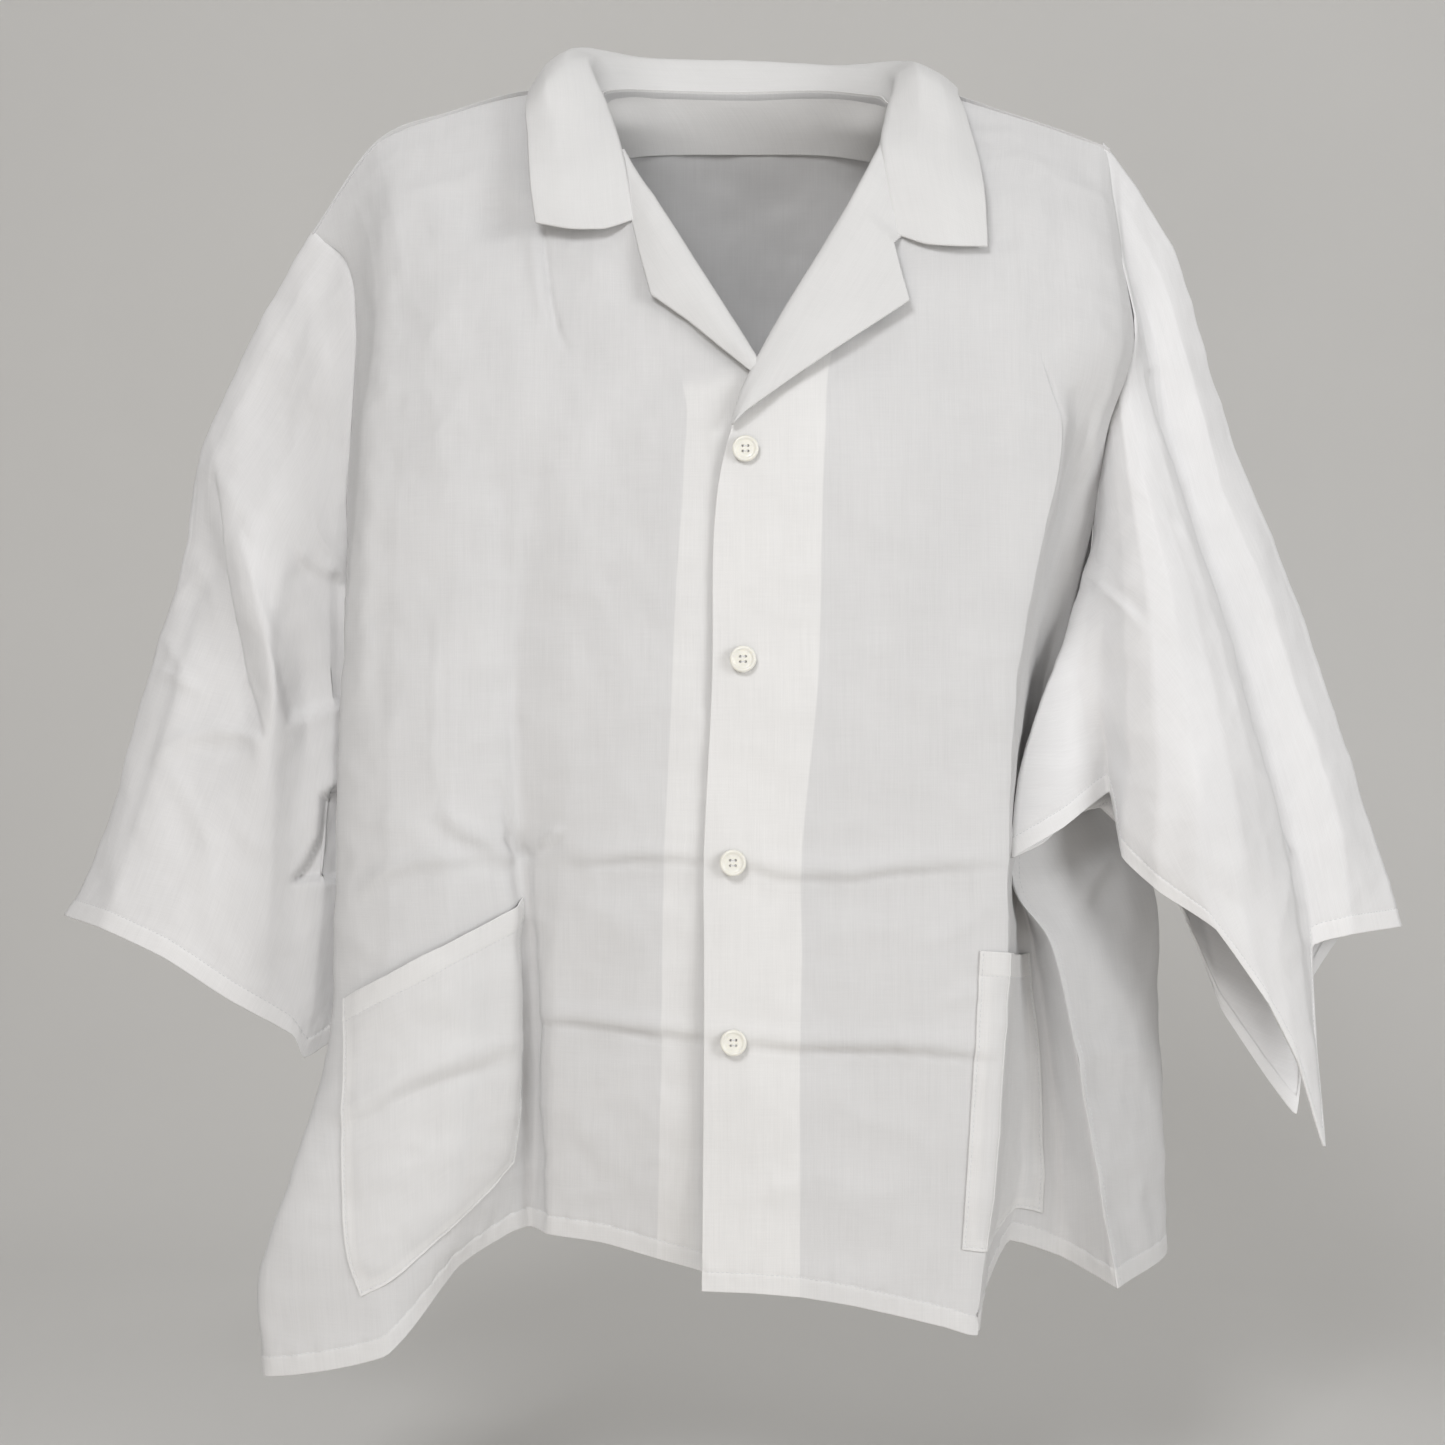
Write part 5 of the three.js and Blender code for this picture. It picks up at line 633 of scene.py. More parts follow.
        ("press", [(-286.4, -24.0), (-288.3, -81.6), (-290.9, -132.8), (-294.7, -177.6)], 8, 2.0),
        ("ridge", [(-273.0, -24.0), (-274.2, -88.0), (-275.5, -145.6)], 10, -1.6),
        ("pit", [(-238.4, -40.6), (-249.3, -41.9), (-257.6, -47.7), (-258.2, -72.6),
                 (-266.6, -88.6), (-276.2, -102.1), (-238.4, -100.8)], 3.5, -8.0),
        ("press", [(-251.2, -40.6), (-260.2, -47.0), (-261.4, -72.6), (-269.8, -88.6),
                   (-278.7, -102.1)], 4, 1.6),
        ("ridge", [(-294.7, 257.6), (-308.8, 206.4), (-316.5, 161.6)], 10, 1.8),
        ("ridge", [(-267.2, 232.0), (-280.0, 187.2), (-294.7, 148.8)], 9, -1.4),
        ("ridge", [(-251.2, 270.4), (-247.4, 219.2), (-248.0, 161.6)], 9, -1.6),
        ("ridge", [(-286.4, 276.8), (-302.4, 238.4), (-313.9, 200.0)], 6, -0.9),
    ],
    "sleeve_left": [
        ("press", [(252.5, 356.8), (257.6, 302.4), (268.5, 262.7), (276.2, 211.5)], 3.6, -3.0),
        ("ridge", [(262.1, 347.2), (267.2, 302.4), (277.4, 262.7), (286.4, 211.5)], 7, 1.6),
        ("pleat", [(364.5, -81.6), (348.5, -25.9), (331.2, 38.1), (318.4, 80.3), (292.8, 157.1),
                   (278.1, 200.0), (271.0, 224.3)], 27, -10.0),
        ("ridge", [(271.0, 206.4), (287.7, 155.2), (312.6, 80.3), (325.4, 38.1), (342.7, -25.9),
                   (356.8, -75.2)], 6, 2.0),
        ("press", [(363.2, -73.3), (360.0, -113.6), (350.4, -161.6)], 3.0, 1.3),
        ("press", [(228.8, 96.3), (251.2, 79.7), (273.6, 56.6)], 4, 3.0),
        ("ridge", [(240.3, 94.4), (257.6, 79.7), (276.8, 57.9)], 6, -1.2),
        ("press", [(223.7, 40.0), (230.1, 14.4), (237.1, -22.1), (245.4, -41.9)], 3, -1.4),
        ("press", [(233.3, 52.8), (238.4, 20.8), (243.5, -24.0)], 3, 1.2),
        ("ridge", [(254.4, 187.2), (248.0, 142.4), (241.6, 104.0)], 7, 1.2),
        ("ridge", [(273.6, 46.4), (299.2, -24.0), (318.4, -100.8)], 14, 1.4),
        ("fold", [(321.6, 180.8), (342.7, 123.2), (363.2, 52.8)], 8, 1.4),
        ("ridge", [(369.6, 14.4), (395.2, -49.6), (414.4, -107.2)], 10, 1.0),
        ("ridge", [(283.2, 315.2), (296.0, 270.4), (308.8, 219.2)], 8, -1.0),
    ],
}

# what a piece follows: one body by name, or two bodies and two points between which it would change
# from one to the other; mount uses no such change and leaves a piece given two bodies fixed where it
# is
FOLLOW_FRONT = ("torso", "left_front", (158.2, -138.6, -142.9), (35.1, -166.6, -279.4))
FOLLOW_SLEEVE_RIGHT = ("torso", "right_sleeve", (-250.0, -48.6, -161.5), (-371.0, -38.6, -217.2))
FOLLOW_SLEEVE_LEFT = ("torso", "left_sleeve", (228.2, -48.6, -129.4), (333.7, -38.6, -193.2))
FOLLOW_LEAF_RIGHT = ("torso", "right_collar_leaf", (-90.8, -68.6, 1.3), (-121.0, -124.6, -79.1))
FOLLOW_LEAF_LEFT = ("torso", "left_collar_leaf", (104.6, -68.6, 4.5), (144.1, -124.6, -88.4))
FOLLOW_LAPEL_RIGHT = ("torso", "right_lapel", (-67.5, -120.6, -78.4), (-42.2, -150.6, -155.6))

# side: which way the net's normals are turned to face out; tension: see surface_points
Front = namedtuple("Front", "net side tension creases seed")
RIGHT = Front(FRONT_RIGHT, side=1, tension=0.5, creases="front_right", seed=11)
LEFT = Front(FRONT_LEFT, side=-1, tension=0.6, creases="front_left", seed=23)
RIGHT_PLUMB_X = -110.0      # x at which the right front's upright threads hang plumb


# ------------------------------------------------------------------ surfaces
def spline_weights(t):
    """weights of the four neighbours in a Catmull-Rom span"""
    return [(-t + 2 * t * t - t ** 3) / 2, (2 - 5 * t * t + 3 * t ** 3) / 2,
            (t + 4 * t * t - 3 * t ** 3) / 2, (-t * t + t ** 3) / 2]


def surface_points(net, columns, rows, closed=False, tension=0.0):
    """points of the smooth surface through a net; tension pulls it straight across the columns"""
    net = np.asarray(net, float)
    row_count, column_count, _ = net.shape
    if closed:
        net = np.concatenate([net[:, -1:], net, net[:, :3]], 1)
        i = np.floor(columns).astype(int) % column_count
        across = columns - np.floor(columns)
    else:
        before = 2 * net[:, :1] - net[:, 1:2]
        after = 2 * net[:, -1:] - net[:, -2:-1]
        net = np.concatenate([before, net, after], 1)
        i = np.clip(np.floor(columns).astype(int), 0, column_count - 2)
        across = columns - i
    net = np.concatenate([2 * net[:1] - net[1:2], net, 2 * net[-1:] - net[-2:-1]], 0)
    j = np.clip(np.floor(rows).astype(int), 0, row_count - 2)
    across_weights, down_weights = spline_weights(across), spline_weights(rows - j)
    if tension:
        straight = (0, 1 - across, across, 0)
        across_weights = [(1 - tension) * curved + tension * flat
                          for curved, flat in zip(across_weights, straight)]
    points = 0
    for b in range(4):
        for a in range(4):
            weight = across_weights[a] * down_weights[b]
            points = points + weight[..., None] * net[j + b, i + a]
    return points


def unit(v):
    return v / np.maximum(np.linalg.norm(v, axis=-1, keepdims=True), 1e-9)


def running_length(points, axis):
    """distance travelled along one axis of a grid of points, from 0"""
    steps = np.linalg.norm(np.diff(points, axis=axis), axis=-1)
    total = np.cumsum(steps, axis=axis)
    start = np.zeros_like(np.take(total, [0], axis=axis))
    return np.concatenate([start, total], axis=axis)


def smooth(start, end, x):
    """smooth rise from 0 at start to 1 at end"""
    t = np.clip((x - start) / (end - start), 0, 1)
    return t * t * (3 - 2 * t)


def usable(margin, length):
    """the margin distances that fit in a run of this length"""
    return [x for x in margin if x < length * 0.45]


def grid_lines(length, spacing, first, last):
    """distances 0..length about spacing apart, with fixed distances from both ends"""
    first, last = usable(first, length), usable(last, length)
    low = max(first, default=0.0)
    high = length - max(last, default=0.0)
    middle = list(np.linspace(low, high, max(2, int(round((high - low) / spacing))) + 1))
    everything = first + middle + [length - x for x in last] + [0.0, length]
    return np.array(sorted(set(round(x, 4) for x in everything)))


def waves(points, seed, wave, octaves=3):
    """smooth seeded undulation over (x, y, z) arrays, about -1..1"""
    x, y, z = points
    draw = np.random.default_rng(seed)
    height = 0
    share, total = 1.0, 0.0
    for _ in range(octaves):
        octave = 0
        for _ in range(5):
            way = draw.normal(size=3)
            way = way / np.linalg.norm(way)
            phase = draw.uniform(0, 2 * math.pi)
            run = (x * way[0] + y * way[1] + z * way[2]) * 2 * math.pi
            octave = octave + np.sin(run / (wave * draw.uniform(0.7, 1.4)) + phase)
        height = height + share * octave / 2.6
        total += share
        share *= 0.5
        wave *= 0.48
    return height / total


def view_scale(y):
    return 1 + (y - VIEW_PLANE_Y) / VIEW_DISTANCE


def on_view_plane(points):
    """x and z from the view centre at which points are seen on the view plane"""
    scale = view_scale(points[..., 1])
    return (points[..., 0] - VIEW_X) / scale, (points[..., 2] - VIEW_Z) / scale


def fill_rows(rows):
    """net from {row number: points}, the rows between running straight as the camera sees them"""
    given = np.array(list(rows))
    points = np.array(list(rows.values()), float)
    seen_x, seen_z = on_view_plane(points)
    wanted = np.arange(given[-1] + 1)
    k = np.clip(np.searchsorted(given, wanted, side="right") - 1, 0, len(given) - 2)
    t = ((wanted - given[k]) / (given[k + 1] - given[k]))[:, None]
    x, y, z = ((1 - t) * part[k] + t * part[k + 1] for part in (seen_x, points[..., 1], seen_z))
    scale = view_scale(y)
    return np.stack([VIEW_X + scale * x, y, VIEW_Z + scale * z], -1)


LAPEL_LEFT = fill_rows(LAPEL_LEFT_ROWS)
LAPEL_RIGHT = fill_rows(LAPEL_RIGHT_ROWS)


def line_distance(x, z, line):
    """distance, side (+1 or -1) and position along (0..1) of the nearest point on a line"""
    distance = np.full(x.shape, 1e9)
    side = np.zeros(x.shape)
    along = np.zeros(x.shape)
    line = np.asarray(line, float)
    lengths = np.linalg.norm(np.diff(line, axis=0), axis=1)
    total, passed = lengths.sum(), 0.0
    for k in range(len(line) - 1):
        start = line[k]
        way = line[k + 1] - start
        square = max(way @ way, 1e-9)
        t = np.clip(((x - start[0]) * way[0] + (z - start[1]) * way[1]) / square, 0, 1)
        dx = x - (start[0] + t * way[0])
        dz = z - (start[1] + t * way[1])
        here = np.hypot(dx, dz)
        nearer = here < distance
        distance = np.where(nearer, here, distance)
        side = np.where(nearer, np.sign(dx * way[1] - dz * way[0]), side)
        along = np.where(nearer, (passed + t * lengths[k]) / total, along)
        passed += lengths[k]
    return distance, side, along


def inside_outline(x, z, outline):
    inside = np.zeros(x.shape, bool)
    for k, (x1, z1) in enumerate(outline):
        x2, z2 = outline[(k + 1) % len(outline)]
        rise = (z2 - z1) if z2 != z1 else 1e-9
        inside ^= ((z1 > z) != (z2 > z)) & (x < (x2 - x1) * (z - z1) / rise + x1)
    return inside


def crease_shape(x, z, kind, line, width):
    """one crease of height 1"""
    if kind == "dimple":              # round hollow or bump about one point
        square = (x - line[0][0]) ** 2 + (z - line[0][1]) ** 2
        return np.exp(-square / (width * width))
    if kind == "pit":                 # area with firm edges inside a closed outline
        distance, _, _ = line_distance(x, z, list(line) + [line[0]])
        depth = np.where(inside_outline(x, z, line), distance, -distance)
        return smooth(0, width, depth + 0.3 * width)
    distance, side, along = line_distance(x, z, line)
    taper = np.sin(np.clip(along, 0, 1) * math.pi) ** 0.6
    offset = distance * side
    if kind == "pleat":               # slope on one side of the line, firm drop on the other
        slope = np.where(offset > 0, np.exp(-offset / width), 0.0)
        drop = np.where(offset <= 0, np.exp(-(offset / 1.6) ** 2), 0.0)
        return taper * (slope + drop)
    if kind == "ridge":
        return taper * np.exp(-(distance / width) ** 2)
    if kind == "fold":                # crest with a hollow beside it
        hollow = np.exp(-((offset - 1.9 * width) / (1.2 * width)) ** 2)
        return taper * (np.exp(-(distance / width) ** 2) - 0.7 * hollow)
    return taper * np.exp(-distance / width)   # "press": sharp pressed line


def crease_field(points, group):
    """summed height of a group of creases at points"""
    x, z = on_view_plane(points)
    height = np.zeros(x.shape)
    for kind, line, width, amount in CREASES[group]:
        height += amount * crease_shape(x, z, kind, line, width)
    return height


# ------------------------------------------------------------------ meshes
def build_mesh(name, vertices, faces, uv=None, tone=None, material=None, sharp=None):
    """object from millimetre vertices; edges between sharp vertices are marked sharp"""
    mesh = bpy.data.meshes.new(name)
    vertices = np.asarray(vertices, float) / MM
    if isinstance(faces, np.ndarray):
        faces = faces.tolist()
    mesh.from_pydata(vertices.tolist(), [], faces)
    mesh.update()
    if uv is not None:
        layer = mesh.uv_layers.new(name="cloth")
        corner = np.empty(len(mesh.loops), dtype=np.int32)
        mesh.loops.foreach_get("vertex_index", corner)
        corner_uv = np.asarray(uv, float)[corner] / MM
        layer.data.foreach_set("uv", corner_uv.astype(np.float32).ravel())
    if tone is not None:
        attribute = mesh.attributes.new("tone", "FLOAT", "POINT")
        attribute.data.foreach_set("value", np.asarray(tone, np.float32))
    mesh.polygons.foreach_set("use_smooth", np.ones(len(mesh.polygons), dtype=bool))
    if material:
        mesh.materials.append(material)
    if sharp is not None:
        flag = np.zeros(len(mesh.vertices), bool)
        flag[sharp] = True
        ends = np.empty(len(mesh.edges) * 2, dtype=np.int32)
        mesh.edges.foreach_get("vertices", ends)
        mesh.edges.foreach_set("use_edge_sharp", flag[ends.reshape(-1, 2)].all(1))
    return add_object(name, mesh)


def add_object(name, data):
    ob = bpy.data.objects.new(name, data)
    bpy.context.scene.collection.objects.link(ob)
    return ob


class Sheet:
    """Fine cloth over part of a net, kept as a grid so that stitch lines can follow it.

    from_first, from_last, from_top and from_foot are distances along the cloth from the
    first and last columns and the first and last rows, as they were when last measured.
    """

    def __init__(self, net, columns=(0, 1), rows=(0, 1), spacing=4.0,
                 column_margins=((), ()), row_margins=((), ()),
                 closed=False, side=1, tension=0.0, firm_columns=()):
        net = np.asarray(net, float)
        self.closed, self.side = closed, side

        def surface(column_grid, row_grid):
            return surface_points(net, column_grid, row_grid, closed, tension)

        sample_rows = np.linspace(rows[0], rows[1], 12)
        if closed:
            fine = np.linspace(0, net.shape[1], 40 * net.shape[1] + 1)
        else:
            fine = np.linspace(columns[0], columns[1], 400)
        mean_length = running_length(surface(*np.meshgrid(fine, sample_rows)), 1).mean(0)
        if closed:
            count = int(round(mean_length[-1] / spacing))
            places = np.linspace(0, mean_length[-1], count + 1)[:-1]
        else:
            places = grid_lines(mean_length[-1], spacing, *column_margins)
            for column in firm_columns:     # three close grid lines keep a firm line crisp
                centre = float(np.interp(column, fine, mean_length))
                places = places[abs(places - centre) > 1.3]
                close = [centre - 0.45, centre, centre + 0.45]
                places = np.sort(np.concatenate([places, close]))
        self.columns = np.interp(places, mean_length, fine)

        # margins keep their width down every column; the rest stretches with its length
        fine = np.linspace(rows[0], rows[1], 500)
        lengths = running_length(surface(*np.meshgrid(self.columns, fine)), 0)
        mean = lengths[-1].mean()
        base = grid_lines(mean, spacing, *row_margins)
        top = max(usable(row_margins[0], mean), default=0.0)
        foot = max(usable(row_margins[1], mean), default=0.0)
        self.rows = np.empty((len(base), len(self.columns)))
        for i in range(len(self.columns)):
            length = lengths[-1, i]
            middle = top + (base - top) * (length - top - foot) / (mean - top - foot)
            place = np.where(base >= mean - foot, length - (mean - base), middle)
            place = np.where(base <= top, base, place)
            self.rows[:, i] = np.interp(place, lengths[:, i], fine)
        self.points = surface(np.repeat(self.columns[None], len(base), 0), self.rows)
        self.find_normals()
        self.measure()
        shape = self.points.shape[:2]
        self.outer_extra = np.zeros(shape)
        self.inner_extra = np.zeros(shape)
        self.tone = np.zeros(shape)         # 0 single cloth .. 1 doubled cloth
        self.mask = None                    # grid cells to build, all if None
        self.thread_uv = None
        self.cut = (False, False)           # first / last row is a cut, not a finished edge

    def find_normals(self):
        if self.closed:
            across = np.roll(self.points, -1, 1) - np.roll(self.points, 1, 1)
        else:
            across = np.gradient(self.points, axis=1)
        down = np.gradient(self.points, axis=0)
        self.normals = unit(np.cross(across, down)) * self.side

    def measure(self):
        if self.closed:
            loop = np.concatenate([self.points, self.points[:, :1]], 1)
            self.from_first = running_length(loop, 1)[:, :-1]
        else:
            self.from_first = running_length(self.points, 1)
        self.from_top = running_length(self.points, 0)
        self.from_last = self.from_first[:, -1:] - self.from_first
        self.from_foot = self.from_top[-1:] - self.from_top

    def shift(self, distance):
        """move outwards, leaving the normals as they are"""
        self.points = self.points + self.normals * distance[..., None]

    def move(self, distance, facing=False):
        """move outwards and find the normals again; facing limits it to cloth facing -Y"""
        if facing:
            distance = distance * smooth(-0.1, 0.35, -self.normals[..., 1])
        self.shift(distance)
        self.find_normals()

    def smoothed_normals(self):
        normals = self.normals
        for _ in range(2):
            if self.closed:
                around = np.roll(normals, 1, 1) + np.roll(normals, -1, 1)
                normals = normals + 0.5 * around
            else:
                wider = normals.copy()
                wider[:, 1:-1] += 0.5 * (normals[:, 2:] + normals[:, :-2])
                normals = wider
            wider = normals.copy()
            wider[1:-1] += 0.5 * (normals[2:] + normals[:-2])
            normals = unit(wider)
        return normals

    def shell(self, name, material, thickness=0.8, rim=0.5):
        """closed mesh: outer side, inner side and a rim raised by rim half-thicknesses"""
        row_count, column_count = self.points.shape[:2]
        count = row_count * column_count
        normals = self.smoothed_normals()
        outer = self.points + normals * (thickness / 2 + self.outer_extra)[..., None]
        inner = self.points - normals * (thickness / 2 + self.inner_extra)[..., None]
        self.outer, self.outer_normals = outer, normals

        # both sides
        cells = column_count if self.closed else column_count - 1
        keep = np.ones((row_count - 1, cells), bool) if self.mask is None else self.mask
        index = np.arange(count).reshape(row_count, column_count)
        after = np.roll(index, -1, 1)
        corners = [index[:-1, :cells], after[:-1, :cells], after[1:, :cells], index[1:, :cells]]
        quads = np.stack(corners, -1)[keep]
        if self.side < 0:
            quads = quads[:, ::-1]
        faces = [quads, (quads + count)[:, ::-1]]

        # the rim runs along edges used by one face only
        edges = np.concatenate([quads[:, [k, (k + 1) % 4]] for k in range(4)])
        key = edges[:, 0].astype(np.int64) * (4 * count) + edges[:, 1]
        reverse = edges[:, 1].astype(np.int64) * (4 * count) + edges[:, 0]
        edges = edges[~np.isin(key, reverse)]
        rim_ids = np.unique(edges)

        # direction out of the sheet at rim points: away from the middles of their faces
        flat = self.points.reshape(-1, 3)
        middles = flat[quads].mean(1)
        total = np.zeros((count, 3))
        used = np.zeros(count)
        for k in range(4):
            np.add.at(total, quads[:, k], middles)
            np.add.at(used, quads[:, k], 1)
        away = flat[rim_ids] - total[rim_ids] / used[rim_ids][:, None]
        rim_normals = normals.reshape(-1, 3)[rim_ids]
        lift = (away * rim_normals).sum(-1, keepdims=True)
        away = unit(away - lift * rim_normals)

        outer, inner = outer.reshape(-1, 3), inner.reshape(-1, 3)
        half = np.linalg.norm(outer[rim_ids] - inner[rim_ids], axis=1, keepdims=True) / 2
        j, i = rim_ids // column_count, rim_ids % column_count
        finished = np.zeros(len(rim_ids), bool)
        if not self.closed:
            finished |= (i == 0) | (i == column_count - 1)
        finished |= (j == 0) & (not self.cut[0])
        finished |= (j == row_count - 1) & (not self.cut[1])
        cut_ids = rim_ids[~finished]
        crest = (outer[rim_ids] + inner[rim_ids]) / 2 + away * half * rim * finished[:, None]
        crest_id = np.full(count, -1)
        crest_id[rim_ids] = np.arange(len(rim_ids)) + 2 * count
        a, b = edges[:, 0], edges[:, 1]
        faces.append(np.stack([b, a, crest_id[a], crest_id[b]], 1))
        faces.append(np.stack([crest_id[b], crest_id[a], a + count, b + count], 1))

        faces = np.concatenate(faces)
        vertices = np.concatenate([outer, inner, crest])
        uv = self.thread_uv
        if uv is None:
            uv = np.stack([self.from_first, -self.from_top], -1)
        uv = uv.reshape(-1, 2)
        uv = np.concatenate([uv, uv, uv[rim_ids]])
        tone = self.tone.reshape(-1)
        tone = np.concatenate([tone, tone, tone[rim_ids]])
        kept = np.unique(faces)
        new_id = np.full(len(vertices), -1)
        new_id[kept] = np.arange(len(kept))
        sharp = new_id[np.concatenate([cut_ids, cut_ids + count])] if len(cut_ids) else None
        return build_mesh(name, vertices[kept], new_id[faces], uv[kept], tone[kept],
                          material, sharp)

    # stitch lines: (points, normals) along the outer side last built
    def along_row(self, j):
        return self.outer[j], self.outer_normals[j]

    def along_column(self, i):
        return self.outer[:, i], self.outer_normals[:, i]


def nearest(distances, wanted):
    return int(np.argmin(abs(distances - wanted)))


def row_above_foot(sheet, distance):
    return nearest(sheet.from_foot.mean(1), distance)


def row_below_top(sheet, distance):
    return nearest(sheet.from_top.mean(1), distance)


def column_from_first(sheet, distance):
    return nearest(sheet.from_first.mean(0), distance)


def column_from_last(sheet, distance):
    return nearest(sheet.from_last.mean(0), distance)


def straight_grain(sheet, plumb_x):
    """thread directions: upright threads counted from one plumb line, cross ones from a level"""
    across, down = sheet.from_first.copy(), sheet.from_top.copy()
    for j in range(across.shape[0]):
        x = sheet.points[j, :, 0]
        order = np.argsort(x)
        across[j] -= np.interp(plumb_x, x[order], across[j][order])
    for i in range(down.shape[1]):
        z = sheet.points[:, i, 2]
        order = np.argsort(z)
        down[:, i] -= np.interp(LEVEL_Z, z[order], down[:, i][order])
    sheet.thread_uv = np.stack([across, -down], -1)


def stitches(name, runs):
    """rows of short raised thread lengths along (points, normals) runs"""
    vertices, faces = [], []
    for points, normals in runs:
        steps = np.linalg.norm(np.diff(points, axis=0), axis=1)
        length = np.concatenate([[0], np.cumsum(steps)])
        count = int((length[-1] - 1.0) // STITCH_PITCH)
        if count < 1:
            continue
        spare = (length[-1] - count * STITCH_PITCH) / 2
        start = spare + (STITCH_PITCH - STITCH_LENGTH) / 2
        for k in range(count):
            stations = []
            for share in (0.0, 0.22, 0.78, 1.0):
                place = start + k * STITCH_PITCH + share * STITCH_LENGTH
                point, normal = (np.array([np.interp(place, length, table[:, c])
                                           for c in range(3)]) for table in (points, normals))
                stations.append((point, unit(normal)))
            first, last = stations[0], stations[3]
            way = unit(last[0] - first[0])
            base = len(vertices)
            vertices.append(first[0] - first[1] * 0.12)     # the ends dip into the cloth
            for point, normal in stations[1:3]:
                sideways = np.cross(normal, way)
                for corner in range(6):
                    c, s = math.cos(corner * math.pi / 3), math.sin(corner * math.pi / 3)
                    rise = s * STITCH_HEIGHT / 2 + STITCH_HEIGHT * 0.18
                    vertices.append(point + sideways * c * STITCH_WIDTH / 2 + normal * rise)
            vertices.append(last[0] - last[1] * 0.12)
            ring1, ring2 = base + 1, base + 7
            for m in range(6):
                m2 = (m + 1) % 6
                faces.append([base, ring1 + m2, ring1 + m])
                faces.append([ring1 + m, ring1 + m2, ring2 + m2, ring2 + m])
                faces.append([base + 13, ring2 + m, ring2 + m2])
    vertices = np.array(vertices)
    return build_mesh(name, vertices, faces, vertices[:, [0, 2]], np.ones(len(vertices)), M_THREAD)


def add_strand(vertices, faces, path, radius, sides=8):
    """closed tube along points, added to the given lists"""
    path = np.asarray(path, float)
    ways = unit(np.gradient(path, axis=0))
    reference = np.array([0.0, 0.0, 1.0] if abs(ways[0][2]) < 0.9 else [1.0, 0.0, 0.0])
    base = len(vertices)
    for point, way in zip(path, ways):
        b = unit(np.cross(way, reference))
        c = np.cross(way, b)
        for k in range(sides):
            angle = 2 * math.pi * k / sides
            vertices.append(tuple(point + radius * (b * math.cos(angle) + c * math.sin(angle))))
    for j in range(len(path) - 1):
        ring1 = base + j * sides
        ring2 = ring1 + sides
        for k in range(sides):
            k2 = (k + 1) % sides
            faces.append([ring1 + k, ring1 + k2, ring2 + k2, ring2 + k])
    last = base + (len(path) - 1) * sides
    faces.append([base + k for k in reversed(range(sides))])
    faces.append([last + k for k in range(sides)])


def strand_mesh(name, vertices, faces, material):
    count = len(vertices)
    return build_mesh(name, vertices, faces, np.zeros((count, 2)), np.ones(count), material)


# ------------------------------------------------------------------ materials
def new_node(tree, kind, **settings):
    node = tree.nodes.new(kind)
    for key, value in settings.items():
        setattr(node, key, value)
    return node


def feed(tree, socket, value):
    """link a socket to another, or set its value"""
    if isinstance(value, (int, float, tuple)):
        socket.default_value = value
    else:
        tree.links.new(value, socket)


def math_node(tree, operation, *values):
    node = new_node(tree, "ShaderNodeMath", operation=operation)
    for socket, value in zip(node.inputs, values):
        feed(tree, socket, value)
    return node.outputs[0]


def remap(tree, value, span, out):
    """carry the range span to the range out"""
    node = new_node(tree, "ShaderNodeMapRange")
    for socket, item in zip(node.inputs, (value, *span, *out)):
        feed(tree, socket, item)
    return node.outputs[0]


def around(middle, amount):
    return middle - amount, middle + amount


def noise_2d(tree, vector, scale, detail, roughness=None):
    node = new_node(tree, "ShaderNodeTexNoise", noise_dimensions="2D")
    node.inputs["Scale"].default_value = scale
    node.inputs["Detail"].default_value = detail
    if roughness is not None:
        node.inputs["Roughness"].default_value = roughness
    tree.links.new(vector, node.inputs["Vector"])
    return node.outputs[0]


def streaks(tree, uv, across, down, offset):
    """noise drawn out into thin streaks"""
    mapping = new_node(tree, "ShaderNodeMapping")
    mapping.inputs["Scale"].default_value = (across, down, 1)
    mapping.inputs["Location"].default_value = (offset, offset * 1.7, 0)
    tree.links.new(uv, mapping.inputs[0])
    return noise_2d(tree, mapping.outputs[0], scale=1.0, detail=3.0, roughness=0.6)


def add_bump(tree, height, strength, distance):
    bump = new_node(tree, "ShaderNodeBump")
    bump.inputs["Strength"].default_value = strength
    bump.inputs["Distance"].default_value = distance
    tree.links.new(height, bump.inputs["Height"])
    return bump.outputs[0]


